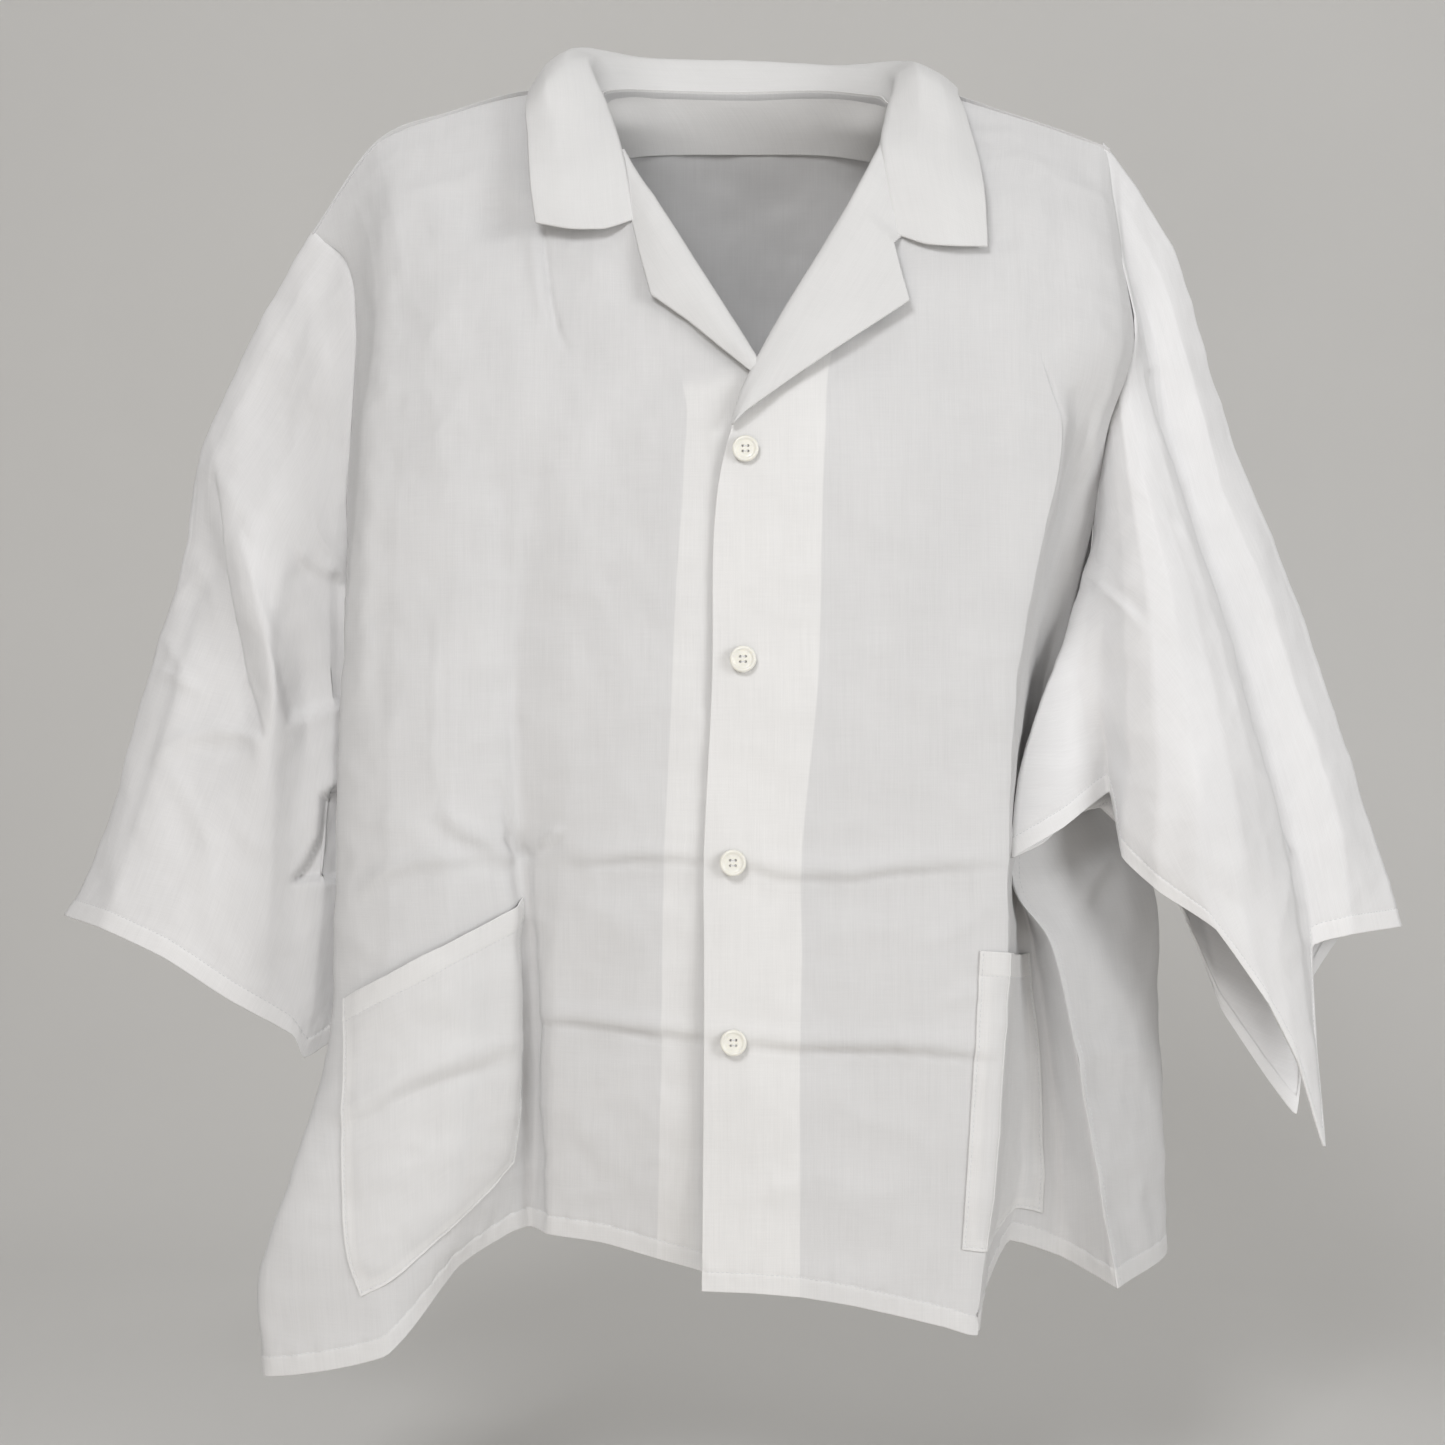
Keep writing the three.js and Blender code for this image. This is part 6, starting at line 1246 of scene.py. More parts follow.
def cloth_material(name, single, double, slub=1.0):
    """plain weave: crossed threads with slubs, slight mottling, soft sheen.

    single and double are the colours of one and of two layers; slub scales the streaks.
    """
    thread_pitch = 0.00048      # metres
    material = bpy.data.materials.new(name)
    material.use_nodes = True
    tree = material.node_tree
    tree.nodes.clear()
    output = new_node(tree, "ShaderNodeOutputMaterial")
    shader = new_node(tree, "ShaderNodeBsdfPrincipled")
    uv = new_node(tree, "ShaderNodeUVMap", uv_map="cloth").outputs[0]
    axes = new_node(tree, "ShaderNodeSeparateXYZ")
    tree.links.new(uv, axes.inputs[0])

    # crossed threads, slightly wavy
    wobble = noise_2d(tree, uv, scale=120.0, detail=2.0)
    wobble = math_node(tree, "MULTIPLY", math_node(tree, "SUBTRACT", wobble, 0.5), 0.0007)
    threads = []
    for axis in (0, 1):
        place = math_node(tree, "ADD", axes.outputs[axis], wobble)
        turn = math_node(tree, "MULTIPLY", place, math.pi / thread_pitch)
        threads.append(math_node(tree, "SINE", turn))
    over_under = math_node(tree, "MULTIPLY", *threads)
    weave = math_node(tree, "MULTIPLY_ADD", over_under, 0.5, 0.5)

    # slubs: long thin streaks down the cloth, shorter ones across
    warp = streaks(tree, uv, across=1500.0, down=34.0, offset=3.1)
    weft = streaks(tree, uv, across=40.0, down=1300.0, offset=7.7)
    broad = streaks(tree, uv, across=420.0, down=8.0, offset=1.3)
    mottle = noise_2d(tree, uv, scale=14.0, detail=4.0)

    # colour
    tone = new_node(tree, "ShaderNodeAttribute", attribute_name="tone").outputs["Fac"]
    mix = new_node(tree, "ShaderNodeMix", data_type="RGBA", blend_type="MIX")
    feed(tree, mix.inputs[0], tone)
    feed(tree, mix.inputs[6], single)
    feed(tree, mix.inputs[7], double)
    value = remap(tree, warp, span=(0.2, 0.8), out=(1 - 0.030 * slub, 1 + 0.026 * slub))
    for part, span, out in (
            (weft, (0.2, 0.8), around(0, 0.018 * slub)),
            (broad, (0.25, 0.75), around(0, 0.012 * slub)),
            (mottle, (0.3, 0.7), around(0, 0.02)),
            (weave, (0.0, 1.0), (-0.03, 0.02))):
        value = math_node(tree, "ADD", value, remap(tree, part, span=span, out=out))
    colour = new_node(tree, "ShaderNodeHueSaturation")
    tree.links.new(mix.outputs[2], colour.inputs["Color"])
    tree.links.new(value, colour.inputs["Value"])
    colour = colour.outputs[0]
    tree.links.new(colour, shader.inputs["Base Color"])

    roughness = remap(tree, warp, span=(0.2, 0.8), out=(0.80, 0.92))
    tree.links.new(roughness, shader.inputs["Roughness"])
    shader.inputs["Sheen Weight"].default_value = 0.12
    shader.inputs["Sheen Roughness"].default_value = 0.45
    shader.inputs["Specular IOR Level"].default_value = 0.22

    # relief, heights in metres
    height = math_node(tree, "MULTIPLY", weave, 0.00006)
    for part, amount in ((warp, 0.00012), (weft, 0.00007), (mottle, 0.0005)):
        height = math_node(tree, "ADD", height, math_node(tree, "MULTIPLY", part, amount))
    relief = add_bump(tree, height, strength=0.35, distance=1.0)
    tree.links.new(relief, shader.inputs["Normal"])

    # a little light comes through, more through a single layer
    through = new_node(tree, "ShaderNodeBsdfTranslucent")
    tree.links.new(colour, through.inputs["Color"])
    tree.links.new(relief, through.inputs["Normal"])
    blend = new_node(tree, "ShaderNodeMixShader")
    tree.links.new(remap(tree, tone, span=(0.0, 1.0), out=(0.10, 0.03)), blend.inputs[0])
    tree.links.new(shader.outputs[0], blend.inputs[1])
    tree.links.new(through.outputs[0], blend.inputs[2])
    tree.links.new(blend.outputs[0], output.inputs[0])
    return material


def solid_material(name, colour, roughness, specular, noise, scale,
                   bump=0.0, sheen=0.0, coat=0.0, subsurface=0.0):
    """one colour, its brightness and roughness varied by a noise of the given scale"""
    material = bpy.data.materials.new(name)
    material.use_nodes = True
    tree = material.node_tree
    shader = tree.nodes["Principled BSDF"]
    place = new_node(tree, "ShaderNodeTexCoord")
    texture = new_node(tree, "ShaderNodeTexNoise")
    texture.inputs["Scale"].default_value = scale
    texture.inputs["Detail"].default_value = 4.0
    tree.links.new(place.outputs["Object"], texture.inputs["Vector"])
    texture = texture.outputs[0]
    tint = new_node(tree, "ShaderNodeHueSaturation")
    tint.inputs["Color"].default_value = colour
    span = (0.3, 0.7)
    tree.links.new(remap(tree, texture, span=span, out=around(1, noise)), tint.inputs["Value"])
    tree.links.new(tint.outputs[0], shader.inputs["Base Color"])
    rough = remap(tree, texture, span=span, out=(roughness * 0.85, roughness * 1.15))
    tree.links.new(rough, shader.inputs["Roughness"])
    shader.inputs["Specular IOR Level"].default_value = specular
    shader.inputs["Sheen Weight"].default_value = sheen
    shader.inputs["Coat Weight"].default_value = coat
    shader.inputs["Coat Roughness"].default_value = 0.15
    if subsurface:
        shader.inputs["Subsurface Weight"].default_value = subsurface
        shader.inputs["Subsurface Radius"].default_value = (0.002, 0.0018, 0.0012)
        shader.inputs["Subsurface Scale"].default_value = 1.0
    if bump:
        relief = add_bump(tree, texture, strength=1.0, distance=bump)
        tree.links.new(relief, shader.inputs["Normal"])
    return material


M_BODY = cloth_material(
    "white_cloth", single=(0.690, 0.690, 0.692, 1), double=(0.775, 0.772, 0.764, 1))
# collar and lapel cloth: the same doubled white cloth, its colour made darker than the body's doubled
# cloth to paint in the shade on the collar and lapels, which tilt away from the light
M_COLLAR_PAINTED_SHADE = cloth_material(
    "white_cloth_double_painted_shade", single=(0.665, 0.665, 0.663, 1), double=(0.690, 0.690, 0.687, 1),
    slub=0.7)
# sleeve cloth: the same white cloth, its colour made lighter than the body's to paint in light on the
# sleeves, which face sideways from the lamps
M_SLEEVE_PAINTED_LIGHT = cloth_material(
    "white_cloth_sleeve_painted_light", single=(0.815, 0.815, 0.820, 1), double=(0.850, 0.848, 0.844, 1))
M_THREAD = solid_material(
    "sewing_thread", colour=(0.66, 0.665, 0.68, 1), roughness=0.6, specular=0.3,
    noise=0.08, scale=900, sheen=0.2)
M_HOLE_THREAD = solid_material(
    "buttonhole_thread", colour=(0.86, 0.855, 0.845, 1), roughness=0.6, specular=0.3,
    noise=0.10, scale=1200, sheen=0.2)
M_BUTTON = solid_material(
    "ivory_button", colour=(0.79, 0.78, 0.715, 1), roughness=0.34, specular=0.5,
    noise=0.035, scale=120, bump=0.00003, coat=0.25, subsurface=0.08)


# ------------------------------------------------------------------ cloth work
def mount(ob, follow, *replaced, slot):
    if isinstance(follow, str):
        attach(ob, follow)
    else:
        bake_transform(ob)
    if replaced:
        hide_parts(*replaced)


def sew(name, runs, follow):
    mount(stitches(name, runs), follow, slot="sewing_thread")


def hem(sheet, seed, pucker):
    """folded hem: double cloth up to the stitch line, drawn in there, lightly puckered"""
    s, distance = sheet.from_first, sheet.from_foot
    ripple = (np.sin(s * 2 * math.pi / 7.3 + 2 * np.sin(s / 23.0 + seed)) * 0.6
              + np.sin(s * 2 * math.pi / 15.7 + seed) * 0.6)
    inside = 1 - smooth(HEM_STITCH - 0.2, HEM_STITCH + 1.0, distance)
    sheet.outer_extra += 0.30 * inside - 0.42 * np.exp(-((distance - HEM_STITCH) / 0.75) ** 2)
    sheet.inner_extra += 0.75 * inside
    sheet.shift(pucker * ripple * np.exp(-((distance - HEM_STITCH) / 5.0) ** 2))
    sheet.tone = np.maximum(sheet.tone, 0.38 * inside)


def draw_in_seam(sheet, distance):
    sheet.outer_extra -= 0.55 * np.exp(-(distance / 1.6) ** 2)


def undulate(sheet, seed, broad=0.7, whole=False):
    """soft unevenness, fading towards the edges unless whole"""
    x, y, z = (sheet.points[..., k] for k in range(3))
    folds = (0.45 - abs(waves((x, y, z * 1.2), seed + 3, 95, octaves=2))
             - 0.4 * abs(waves((x, y, z), seed + 5, 42, octaves=2)))
    height = (broad * waves((x, y * 0.6, z * 0.75), seed, 70)
              + 0.14 * waves((x, y, z), seed + 7, 19) + 1.35 * folds)
    if not whole:
        edge = np.minimum(sheet.from_foot, sheet.from_top)
        if not sheet.closed:
            edge = np.minimum(edge, np.minimum(sheet.from_first, sheet.from_last))
        height = height * smooth(0, 25, edge)
    sheet.move(height)


def soften(sheet, seed, wave, amount):
    """slight unevenness of collar cloth, none at the first column"""
    x, y, z = (sheet.points[..., k] for k in range(3))
    sheet.move(amount * waves((x, y, z), seed, wave) * smooth(0, 14, sheet.from_first))


# ------------------------------------------------------------------ fronts
FACING_COLUMN = 2.0         # outer edge of the doubled strip along the closing
SIDE_COLUMN, SIDE_ROW = 6.0, 3.2     # the left side part lies beyond these


def front_sheet(front, firm_columns, facing_tone, hem_seed, plumb_x):
    sheet = Sheet(front.net, (0, 10), (0, 11), SPACING, (EDGE, EDGE), (EDGE, HEM),
                  side=front.side, tension=front.tension, firm_columns=firm_columns)
    sheet.move(crease_field(sheet.points, front.creases), facing=True)
    undulate(sheet, front.seed)
    facing = sheet.from_first[:, [nearest(sheet.columns, FACING_COLUMN)]]
    doubled = 1 - smooth(-0.3, 0.3, sheet.from_first - facing)
    sheet.tone = doubled * facing_tone * smooth(2.9, 3.1, sheet.rows)
    hem(sheet, seed=hem_seed, pucker=0.8)
    draw_in_seam(sheet, sheet.from_top)
    draw_in_seam(sheet, sheet.from_last)
    straight_grain(sheet, plumb_x)
    return sheet


def right_front():
    sheet = front_sheet(RIGHT, firm_columns=(FACING_COLUMN,), facing_tone=0.62, hem_seed=3,
                        plumb_x=RIGHT_PLUMB_X)
    mount(sheet.shell("right_front", M_BODY), "torso",
          "front_panel_right", "facing_right", "interlining_right", slot="body_cloth")
    runs = [sheet.along_row(row_above_foot(sheet, HEM_STITCH))]
    sew("right_front_hem_stitches", runs, "torso")


def left_front():
    """the part along the closing, and the side part, which follows the torso"""
    sheet = front_sheet(LEFT, firm_columns=(FACING_COLUMN, SIDE_COLUMN), facing_tone=0.80,
                        hem_seed=5, plumb_x=90.0)
    first_column = nearest(sheet.columns, SIDE_COLUMN)
    first_row = nearest(sheet.rows[:, first_column:].mean(1), SIDE_ROW)
    side_part = np.zeros((sheet.points.shape[0] - 1, sheet.points.shape[1] - 1), bool)
    side_part[first_row:, first_column:] = True
    sheet.mask = ~side_part
    mount(sheet.shell("left_front", M_BODY), FOLLOW_FRONT,
          "front_panel_left", "facing_left", "interlining_left", slot="body_cloth")
    points, normals = sheet.along_row(row_above_foot(sheet, HEM_STITCH))
    inner = slice(None, first_column + 1)
    sew("left_front_hem_stitches", [(points[inner], normals[inner])], FOLLOW_FRONT)

    # the side part runs on for a finger's width behind the fold, so that no slit shows
    # when the front swings
    place = sheet.from_first[first_row + 4]
    strip = nearest(place, place[first_column] - 11.0)
    below = sheet.from_top - sheet.from_top[first_row:first_row + 1]
    side_part[int(np.argmax(below[:, first_column] > 22.0)):, strip:] = True
    sheet.mask = side_part
    past = sheet.from_first - sheet.from_first[:, first_column:first_column + 1]
    sheet.shift(-2.0 * smooth(5.0, -1.0, past) * smooth(0.0, 20.0, below))
    mount(sheet.shell("left_front_side", M_BODY), "torso", "front_left_side", slot="body_cloth")
    outer = slice(first_column, None)
    sew("left_side_hem_stitches", [(points[outer], normals[outer])], "torso")
    return sheet


# ------------------------------------------------------------------ back
def meet_collar(sheet):
    """carry the back neckline out to the foot of the collar stand"""
    foot = surface_points(COLLAR, np.zeros((1, 500)), np.linspace(2.8, 9.2, 500)[None],
                          tension=COLLAR_TENSION)[0]
    neck_row = int(np.argmin(abs(sheet.rows.mean(1))))
    pull = np.zeros((sheet.points.shape[1], 3))
    for i, column in enumerate(sheet.columns):
        weight = smooth(3.95, 4.2, column) * smooth(8.05, 7.8, column)
        if weight > 0:
            point = sheet.points[neck_row, i]
            target = foot[np.argmin(((foot - point) ** 2).sum(1))]
            pull[i] = (target - point) * weight
    for _ in range(3):
        pull[1:-1] = (pull[:-2] + 2 * pull[1:-1] + pull[2:]) / 4
    sheet.points = sheet.points + pull[None] * (1 - smooth(2, 34, sheet.from_top))[..., None]
    sheet.find_normals()
    sheet.measure()


def back():
    sheet = Sheet(BACK, (0, 12), (-0.035, 11), BACK_SPACING, (EDGE, EDGE), (EDGE, HEM))
    meet_collar(sheet)
    facing_back = smooth(-0.2, 0.3, sheet.normals[..., 1])
    sheet.move(crease_field(sheet.points, "back") * facing_back)
    undulate(sheet, 31, broad=1.0)
    hem(sheet, seed=9, pucker=0.5)
    for distance in (sheet.from_top, sheet.from_first, sheet.from_last):
        draw_in_seam(sheet, distance)
    sheet.move(crease_field(sheet.points, "side_back"), facing=True)
    sheet.shift(-2.4 * smooth(0.16, -0.01, sheet.rows))     # tuck the top edge inwards
    straight_grain(sheet, 0.0)
    mount(sheet.shell("back", M_BODY), "torso", "back_panel", slot="body_cloth")
    runs = [sheet.along_row(row_above_foot(sheet, HEM_STITCH))]
    sew("back_hem_stitches", runs, "torso")
    start = nearest(sheet.rows.mean(1), 5.0)
    runs = []
    for column in (column_from_first(sheet, 3.5), column_from_last(sheet, 3.5)):
        points, normals = sheet.along_column(column)
        runs.append((points[start:], normals[start:]))
    sew("side_seam_stitches", runs, "torso")


def neck_facing():
    sheet = Sheet(BACK, (3.8, 8.2), (-0.05, 0.62), SPACING, (EDGE, EDGE), (EDGE, EDGE), side=-1)
    meet_collar(sheet)
    sheet.points = sheet.points + sheet.normals * 2.0
    sheet.tone += 1
    mount(sheet.shell("neck_facing", M_BODY, thickness=0.7), "torso", "back_neck_facing",
          slot="facing_cloth")


# ------------------------------------------------------------------ sleeves
def sleeve(net, name, creases, side, follow, node, seed, tuck, tension):
    """tuck: net row, above the armhole row, where the cloth starts under the body"""
    sheet = Sheet(net, rows=(tuck, len(net) - 1), spacing=SPACING, row_margins=(EDGE, HEM),
                  closed=True, side=side, tension=tension)
    height = crease_field(sheet.points, creases)
    sheet.move(height * smooth(3, 22, sheet.from_top), facing=True)
    undulate(sheet, seed, broad=0.8)
    sheet.shift(-1.3 * smooth(0.0, tuck, sheet.rows))
    hem(sheet, seed=seed, pucker=0.3)
    sheet.outer_extra -= 0.5 * np.exp(-(sheet.rows / 0.03) ** 2)
    # the sleeve cloth's colour is brightened to paint in light
    mount(sheet.shell(name, M_SLEEVE_PAINTED_LIGHT), follow, node, slot="body_cloth")
    points, normals = sheet.along_row(row_above_foot(sheet, HEM_STITCH))
    loop = (np.vstack([points, points[:1]]), np.vstack([normals, normals[:1]]))
    sew(name + "_hem_stitches", [loop], follow)


# ------------------------------------------------------------------ collar and lapels
def collar_run(name, rows, follow, nodes, ends):
    """stand, roll and fall in one thick sheet; ends: whether the first / last row is free"""
    margins = tuple(COLLAR_END if free else () for free in ends)
    sheet = Sheet(COLLAR, (0, 5), rows, TRIM_SPACING, (EDGE, COLLAR_RIM), margins,
                  side=-1, tension=COLLAR_TENSION)
    soften(sheet, seed=61, wave=40, amount=0.35)
    sheet.tone += 1
    sheet.cut = (not ends[0], not ends[1])
    rim = sheet.from_last
    if ends[0]:
        rim = np.minimum(rim, sheet.from_top)
    if ends[1]:
        rim = np.minimum(rim, sheet.from_foot)
    sheet.outer_extra -= 0.25 * np.exp(-(rim / 1.2) ** 2)
    # the collar cloth's colour is darkened to paint in shade
    mount(sheet.shell(name, M_COLLAR_PAINTED_SHADE, thickness=1.7, rim=1.0), follow, *nodes,
          slot="collar_cloth")


def lapel(net, name, follow, node, side):
    sheet = Sheet(net, (0, len(net[0]) - 1), (0, len(net) - 1), TRIM_SPACING,
                  (EDGE, LAPEL_RIM), (LAPEL_END, LAPEL_END), side=side)
    soften(sheet, seed=71, wave=45, amount=0.3)
    sheet.tone += 0.9
    # the collar cloth's colour is darkened to paint in shade
    mount(sheet.shell(name, M_COLLAR_PAINTED_SHADE, thickness=1.5, rim=1.0), follow, node,
          slot="collar_cloth")


# ------------------------------------------------------------------ pockets
def patch_net(front, corners):
    """net over a four-cornered region of a front's net"""
    columns, rows = np.asarray(corners, float).T
    count = 9
    s, t = np.meshgrid(np.linspace(0, 1, count), np.linspace(0, 1, count))
    weights = ((1 - s) * (1 - t), s * (1 - t), s * t, (1 - s) * t)
    column_grid, row_grid = (sum(w * v for w, v in zip(weights, values))
                             for values in (columns, rows))
    return surface_points(front.net, column_grid, row_grid, tension=front.tension)


def pocket(name, front, corners, follow, node, gape, sewn_first, sewn_last, seed):
    """patch raised off a front, sewn at the foot and at its first / last column;
    gape: how far the mouth stands off"""
    net = patch_net(front, corners)
    last = len(net) - 1
    sheet = Sheet(net, (0, last), (0, last), SPACING * 0.8, (POCKET_EDGE, POCKET_EDGE),
                  (POCKET_MOUTH, POCKET_EDGE), side=-1)
    sheet.move(crease_field(sheet.points, front.creases), facing=True)
    undulate(sheet, front.seed, whole=True)
    sewn = sheet.from_foot
    if sewn_first:
        sewn = np.minimum(sewn, sheet.from_first)
    if sewn_last:
        sewn = np.minimum(sewn, sheet.from_last)
    across = np.sin(np.pi * np.clip(sheet.from_first / sheet.from_first[:, -1:], 0, 1))
    lift = 1.15 + 0.9 * smooth(1.5, 14, sewn)
    sheet.move(lift + gape * across * (1 - smooth(0, 75, sheet.from_top)))
    ripple = (np.sin(sheet.from_top * 2 * math.pi / 8.1 + seed) * 0.10
              + np.sin(sheet.from_first * 2 * math.pi / 8.9) * 0.10)
    sheet.shift(ripple * np.exp(-(sewn / 4.0) ** 2))
    sheet.outer_extra -= 0.30 * np.exp(-((sewn - POCKET_STITCH) / 0.6) ** 2)
    sheet.tone += 0.30
    # doubled cloth along the mouth and under the sewn edges
    mouth = 1 - smooth(14.3, 15.4, sheet.from_top)
    drawn_in = np.exp(-((sheet.from_top - MOUTH_STITCH) / 0.7) ** 2)
    sheet.outer_extra += 0.22 * mouth - 0.36 * drawn_in
    sheet.tone = np.maximum(sheet.tone, 0.62 * mouth)
    sheet.tone = np.maximum(sheet.tone, 0.60 * (1 - smooth(7.5, 9.0, sewn)))
    if front is RIGHT:
        straight_pocket_grain(sheet)
    mount(sheet.shell(name, M_BODY), follow, node, slot="pocket_cloth")
    runs = [sheet.along_row(row_below_top(sheet, MOUTH_STITCH))]
    if sewn_first:
        runs.append(sheet.along_column(column_from_first(sheet, POCKET_STITCH)))
    if sewn_last:
        runs.append(sheet.along_column(column_from_last(sheet, POCKET_STITCH)))
    runs.append(sheet.along_row(row_above_foot(sheet, POCKET_STITCH)))
    sew(name + "_stitches", runs, follow)


def straight_pocket_grain(sheet):
    """straight grain for the right pocket, counted from a plumb line and level of its own"""
    global LEVEL_Z
    body_level, LEVEL_Z = LEVEL_Z, -520.0
    straight_grain(sheet, -180.0)
    LEVEL_Z = body_level


# ------------------------------------------------------------------ buttons
# (share of the radius, height above the back), from the middle of the back round to the face
BUTTON_PROFILE = [
    (0.0, 0.0), (0.55, 0.0), (0.80, 0.12), (0.94, 0.55), (1.0, 1.15), (0.995, 1.75),
    (0.965, 2.25), (0.91, 2.62), (0.85, 2.78), (0.79, 2.70), (0.74, 2.42), (0.69, 2.10),
    (0.62, 1.92), (0.40, 1.84), (0.0, 1.80)]
BUTTON_SEGMENTS = 72
HOLE_OFFSET = 1.6           # of each hole from the button's centre, in x and in z
HOLE_RADIUS = 0.78
HOLE_SIDES = 20


def lathe(profile, segments, centre):
    """profile: (radius, height) pairs turned about Y; height runs towards -Y"""
    vertices, faces = [], []
    count = len(profile)
    for k in range(segments):
        angle = 2 * math.pi * k / segments
        for radius, height in profile:
            vertices.append((centre[0] + radius * math.cos(angle), centre[1] - height,
                             centre[2] + radius * math.sin(angle)))
    for k in range(segments):
        here, after = k * count, (k + 1) % segments * count
        for i in range(count - 1):
            faces.append([here + i, after + i, after + i + 1, here + i + 1])
    return vertices, faces


def closed_object(name, vertices, faces):
    """object with doubled vertices merged and normals facing out"""
    mesh = bpy.data.meshes.new(name)
    mesh.from_pydata((np.array(vertices) / MM).tolist(), [], faces)
    ob = add_object(name, mesh)
    work = bmesh.new()
    work.from_mesh(mesh)
    bmesh.ops.remove_doubles(work, verts=work.verts, dist=1e-7)
    bmesh.ops.recalc_face_normals(work, faces=work.faces)
    work.to_mesh(mesh)
    work.free()
    return ob


def bake(ob):
    """apply the modifiers"""
    graph = bpy.context.evaluated_depsgraph_get()
    mesh = bpy.data.meshes.new_from_object(ob.evaluated_get(graph))
    ob.modifiers.clear()
    old = ob.data
    ob.data = mesh
    bpy.data.meshes.remove(old)


def hole_cutter(x, y, z):
    """four slim cylinders through the button"""
    vertices, faces = [], []
    n = HOLE_SIDES
    for dx in (-HOLE_OFFSET, HOLE_OFFSET):
        for dz in (-HOLE_OFFSET, HOLE_OFFSET):
            base = len(vertices)
            ring = [(x + dx + HOLE_RADIUS * math.cos(2 * math.pi * k / n),
                     z + dz + HOLE_RADIUS * math.sin(2 * math.pi * k / n)) for k in range(n)]
            vertices += [(a, y + 2, b) for a, b in ring] + [(a, y - 6, b) for a, b in ring]
            for k in range(n):
                k2 = (k + 1) % n
                faces.append([base + k, base + n + k, base + n + k2, base + k2])
            faces.append([base + k for k in range(n)])
            faces.append([base + n + k for k in reversed(range(n))])
    return closed_object("cut", vertices, faces)


def button_body(node, x, y, z, radius):
    profile = [(radius * share, height) for share, height in BUTTON_PROFILE]
    ob = closed_object(node + "_body", *lathe(profile, BUTTON_SEGMENTS, (x, y, z)))
    cutter = hole_cutter(x, y, z)
    holes = ob.modifiers.new("holes", "BOOLEAN")
    holes.operation, holes.object, holes.solver = "DIFFERENCE", cutter, "EXACT"
    bake(ob)
    bpy.data.objects.remove(cutter)
    bevel = ob.modifiers.new("soft", "BEVEL")
    bevel.width, bevel.segments = 0.00012, 2
    bevel.limit_method, bevel.angle_limit = "ANGLE", math.radians(50)
    bake(ob)
    ob.data.polygons.foreach_set("use_smooth", np.ones(len(ob.data.polygons), dtype=bool))
    ob.data.materials.clear()
    ob.data.materials.append(M_BUTTON)
    mount(ob, node, node, slot="button_ivory")


def cross_thread(node, x, y, z):
    """thread bars through the holes, two side by side"""
    # (x from the centre, height above the button's back)
    path = [(-1.6, 0.5), (-1.5, 1.5), (-0.9, 1.84), (0.9, 1.84), (1.5, 1.5), (1.6, 0.5)]
    vertices, faces = [], []
    for dz in (-HOLE_OFFSET, HOLE_OFFSET):
        for beside in (-0.17, 0.17):
            bar = [(x + dx, y - height, z + dz + beside) for dx, height in path]
            add_strand(vertices, faces, bar, radius=0.15)
    mount(strand_mesh(node + "_cross_thread", vertices, faces, M_THREAD), node,
          slot="sewing_thread")


def shank(i, x, z):
    """thread wound round a core behind the button"""
    low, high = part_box("button_thread_%d" % i)
    y0, y1 = high[1] * MM, low[1] * MM
    turns, steps = 7, 14
    winding = []
    for k in range(turns * steps + 1):
        angle = 2 * math.pi * k / steps
        winding.append((x + 1.25 * math.cos(angle), y0 + (y1 - y0) * k / (turns * steps),
                        z + 1.25 * math.sin(angle)))
    vertices, faces = [], []
    add_strand(vertices, faces, winding, radius=0.30)
    add_strand(vertices, faces, [(x, y0, z), (x, y1, z)], radius=1.05, sides=12)
    mount(strand_mesh("button_%d_shank" % i, vertices, faces, M_THREAD), "torso",
          "button_thread_%d" % i, slot="sewing_thread")


def button(i):
    """build button i and return the x and z of its centre"""
    node = "button_%d" % i
    low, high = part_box(node)
    x, z = (low[0] + high[0]) * MM / 2, (low[2] + high[2]) * MM / 2
    back_y = high[1] * MM
    button_body(node, x, back_y, z, radius=(high[0] - low[0]) * MM / 2)
    cross_thread(node, x, back_y, z)
    shank(i, x, z)
    return x, z


def surface_at(sheet, x, z):
    """point (x, y, z) with the y of the nearest outer grid point, and the normal there"""
    square = (sheet.outer[..., 0] - x) ** 2 + (sheet.outer[..., 2] - z) ** 2
    j, i = np.unravel_index(np.argmin(square), square.shape)
    return np.array([x, sheet.outer[j, i][1], z]), sheet.outer_normals[j, i]


def buttonhole(i, front, button_x, z):
    """worked slit: two rows of close thread turns and a bar at the outer end.

    It lies on the outer side that the front's sheet built last.
    """
    inner_x, outer_x = button_x - 1.0, button_x + 15.4
    turns = 34
    vertices, faces = [], []
    for k in range(turns):
        x = inner_x + (outer_x - inner_x) * k / (turns - 1)
        point, normal = surface_at(front, x, z)
        for side in (-1, 1):
            a = point + np.array([0, 0, side * 0.16]) + normal * 0.10
            b = point + np.array([0, 0, side * 0.75]) + normal * 0.20
            c = point + np.array([0, 0, side * 1.25]) - normal * 0.1
            add_strand(vertices, faces, [a - normal * 0.5, a, b, c], radius=0.25, sides=6)
    point, normal = surface_at(front, outer_x + 0.8, z)
    point[0] = outer_x + 0.9
    for beside in np.linspace(-0.9, 0.9, 4):
        middle = point + np.array([beside * 0.45, 0, 0])
        # (z from the slit, height above the cloth)
        bar = [middle + np.array([0, 0, dz]) + normal * height
               for dz, height in ((-1.7, -0.1), (-1.0, 0.26), (1.0, 0.26), (1.7, -0.1))]
        add_strand(vertices, faces, bar, radius=0.26, sides=6)
    mount(strand_mesh("buttonhole_%d_stitching" % i, vertices, faces, M_HOLE_THREAD),
          FOLLOW_FRONT, "buttonhole_%d" % i, slot="sewing_thread")


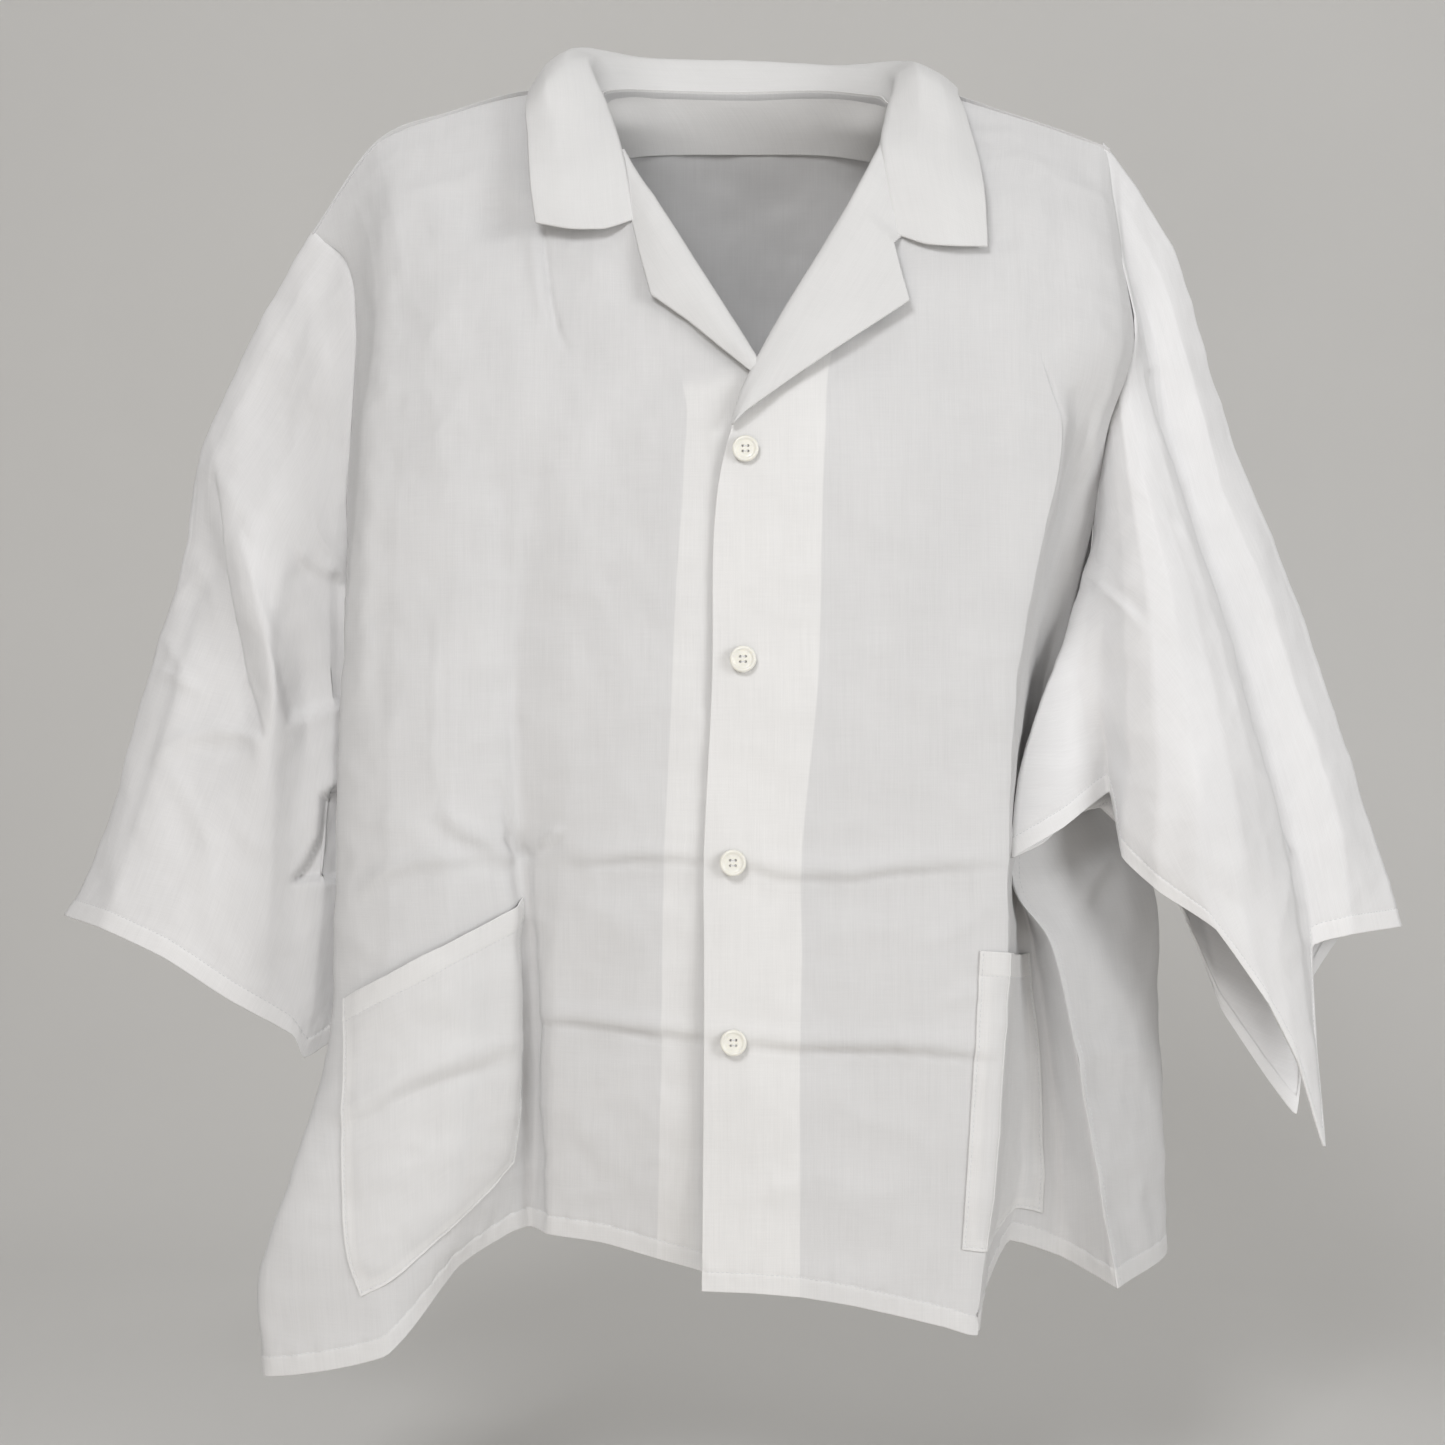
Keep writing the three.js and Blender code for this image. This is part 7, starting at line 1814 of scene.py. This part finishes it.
# ------------------------------------------------------------------ the coat
right_front()
left_sheet = left_front()
back()
neck_facing()
sleeve(SLEEVE_RIGHT, "right_sleeve_cloth", "sleeve_right", side=-1, follow=FOLLOW_SLEEVE_RIGHT,
       node="sleeve_right", seed=41, tuck=-0.05, tension=0.5)
sleeve(SLEEVE_LEFT, "left_sleeve_cloth", "sleeve_left", side=1, follow=FOLLOW_SLEEVE_LEFT,
       node="sleeve_left", seed=53, tuck=-0.09, tension=0.75)

RIGHT_LEAF_ROW, LEFT_LEAF_ROW = 3.55, 8.45    # collar rows where the leaves meet the back run
collar_run("collar_leaf_right_cloth", (0.0, RIGHT_LEAF_ROW), FOLLOW_LEAF_RIGHT,
           ("upper_collar_leaf_right", "under_collar_leaf_right"), ends=(True, False))
collar_run("collar_back_cloth", (RIGHT_LEAF_ROW, LEFT_LEAF_ROW), "torso",
           ("upper_collar_back", "under_collar_back", "collar_stand"), ends=(False, False))
collar_run("collar_leaf_left_cloth", (LEFT_LEAF_ROW, 12.0), FOLLOW_LEAF_LEFT,
           ("upper_collar_leaf_left", "under_collar_leaf_left"), ends=(False, True))
lapel(LAPEL_RIGHT, "right_lapel_cloth", FOLLOW_LAPEL_RIGHT, "lapel_right", side=1)
lapel(LAPEL_LEFT, "left_lapel_cloth", FOLLOW_FRONT, "lapel_left", side=-1)

pocket("right_pocket_cloth", RIGHT, POCKET_RIGHT, "torso", "pocket_right",
       gape=2.5, sewn_first=True, sewn_last=True, seed=5)
pocket("left_pocket_front_cloth", LEFT, POCKET_LEFT_FRONT, FOLLOW_FRONT, "pocket_left_edge",
       gape=0.0, sewn_first=True, sewn_last=False, seed=6)
pocket("left_pocket_side_cloth", LEFT, POCKET_LEFT_SIDE, "torso", "pocket_left",
       gape=1.0, sewn_first=False, sewn_last=True, seed=7)

for number in range(1, 5):
    centre_x, centre_z = button(number)
    buttonhole(number, left_sheet, centre_x, centre_z)


# ------------------------------------------------------------------ stage, light, camera
FLOOR_Z = -930.0
CURVE_RADIUS = 900.0        # between floor and backdrop
CURVE_START_Y = 900.0
HALF_WIDTH = 12000.0


def floor_material():
    """pale floor, clear from behind and to shadow rays, so that light from behind passes"""
    material = solid_material("pale_floor", colour=(0.66, 0.655, 0.64, 1), roughness=0.9,
                              specular=0.15, noise=0.012, scale=3.0)
    tree = material.node_tree
    geometry = new_node(tree, "ShaderNodeNewGeometry")
    clear = new_node(tree, "ShaderNodeBsdfTransparent")
    blend = new_node(tree, "ShaderNodeMixShader")
    ray = new_node(tree, "ShaderNodeLightPath")
    see_through = math_node(tree, "MAXIMUM", geometry.outputs["Backfacing"],
                            ray.outputs["Is Shadow Ray"])
    tree.links.new(see_through, blend.inputs[0])
    tree.links.new(tree.nodes["Principled BSDF"].outputs[0], blend.inputs[1])
    tree.links.new(clear.outputs[0], blend.inputs[2])
    tree.links.new(blend.outputs[0], tree.nodes["Material Output"].inputs[0])
    return material


def studio_floor():
    """floor running into a curved backdrop behind the coat"""
    profile = [(y, 0.0) for y in np.linspace(-12000.0, CURVE_START_Y, 30)]     # (y, height)
    for k in range(1, 17):
        angle = math.pi / 2 * k / 16
        profile.append((CURVE_START_Y + CURVE_RADIUS * math.sin(angle),
                        CURVE_RADIUS * (1 - math.cos(angle))))
    profile += [(CURVE_START_Y + CURVE_RADIUS, height)
                for height in np.linspace(1100.0, 9000.0, 12)]
    across = np.linspace(-HALF_WIDTH, HALF_WIDTH, 25)
    vertices = [(x, y, height + FLOOR_Z) for y, height in profile for x in across]
    n = len(across)
    faces = [[j * n + i, j * n + i + 1, (j + 1) * n + i + 1, (j + 1) * n + i]
             for j in range(len(profile) - 1) for i in range(n - 1)]
    return build_mesh("studio_floor", vertices, faces, material=floor_material())


def area_light(name, place, target, size, power, colour):
    """place, target and size in metres, power in watts"""
    light = bpy.data.lights.new(name, "AREA")
    light.shape = "RECTANGLE"
    light.size, light.size_y = size
    light.energy = power
    light.color = colour
    ob = bpy.data.objects.new(name, light)
    ob.location = place
    way = Vector(target) - Vector(place)
    ob.rotation_euler = way.to_track_quat("-Z", "Y").to_euler()
    bpy.context.scene.collection.objects.link(ob)


def lights():
    area_light("key", place=(-0.8, -2.9, 1.3), target=(0, 0, -0.5), size=(1.0, 1.0),
               power=47, colour=(0.99, 0.99, 1.0))
    area_light("fill", place=(2.5, -2.4, 0.1), target=(0.15, 0, -0.45), size=(1.5, 1.5),
               power=40, colour=(0.985, 0.99, 1.0))
    area_light("low", place=(-0.9, -3.0, -0.75), target=(0, 0, -0.65), size=(1.6, 0.9),
               power=11, colour=(1.0, 0.93, 0.86))
    area_light("bounce", place=(0.5, -1.2, -1.55), target=(0.15, 0, -0.75), size=(0.9, 0.6),
               power=2.2, colour=(1.0, 0.84, 0.68))
    area_light("top", place=(0.2, -0.2, 2.4), target=(0, 0.1, -0.4), size=(2.0, 1.6),
               power=9, colour=(1.0, 1.0, 1.0))
    area_light("back", place=(0.4, 3.6, 1.2), target=(0, 0, -0.4), size=(2.6, 2.6),
               power=24, colour=(1.0, 1.0, 1.0))


def world():
    studio = bpy.data.worlds.new("studio")
    studio.use_nodes = True
    background = studio.node_tree.nodes["Background"]
    background.inputs["Color"].default_value = (1.0, 0.965, 0.925, 1)
    background.inputs["Strength"].default_value = 0.31
    bpy.context.scene.world = studio
    bpy.context.scene.view_settings.view_transform = "Standard"


def camera():
    """level camera looking along +Y, as wide as VIEW_WIDTH on the view plane"""
    data = bpy.data.cameras.new("camera")
    data.sensor_width = 36.0
    data.sensor_fit = "HORIZONTAL"
    data.lens = data.sensor_width * VIEW_DISTANCE / VIEW_WIDTH
    data.clip_end = 50
    ob = add_object("camera", data)
    ob.location = (VIEW_X / MM, (VIEW_PLANE_Y - VIEW_DISTANCE) / MM, VIEW_Z / MM)
    ob.rotation_euler = (math.pi / 2, 0, 0)
    bpy.context.scene.camera = ob


studio_floor()
lights()
world()
camera()
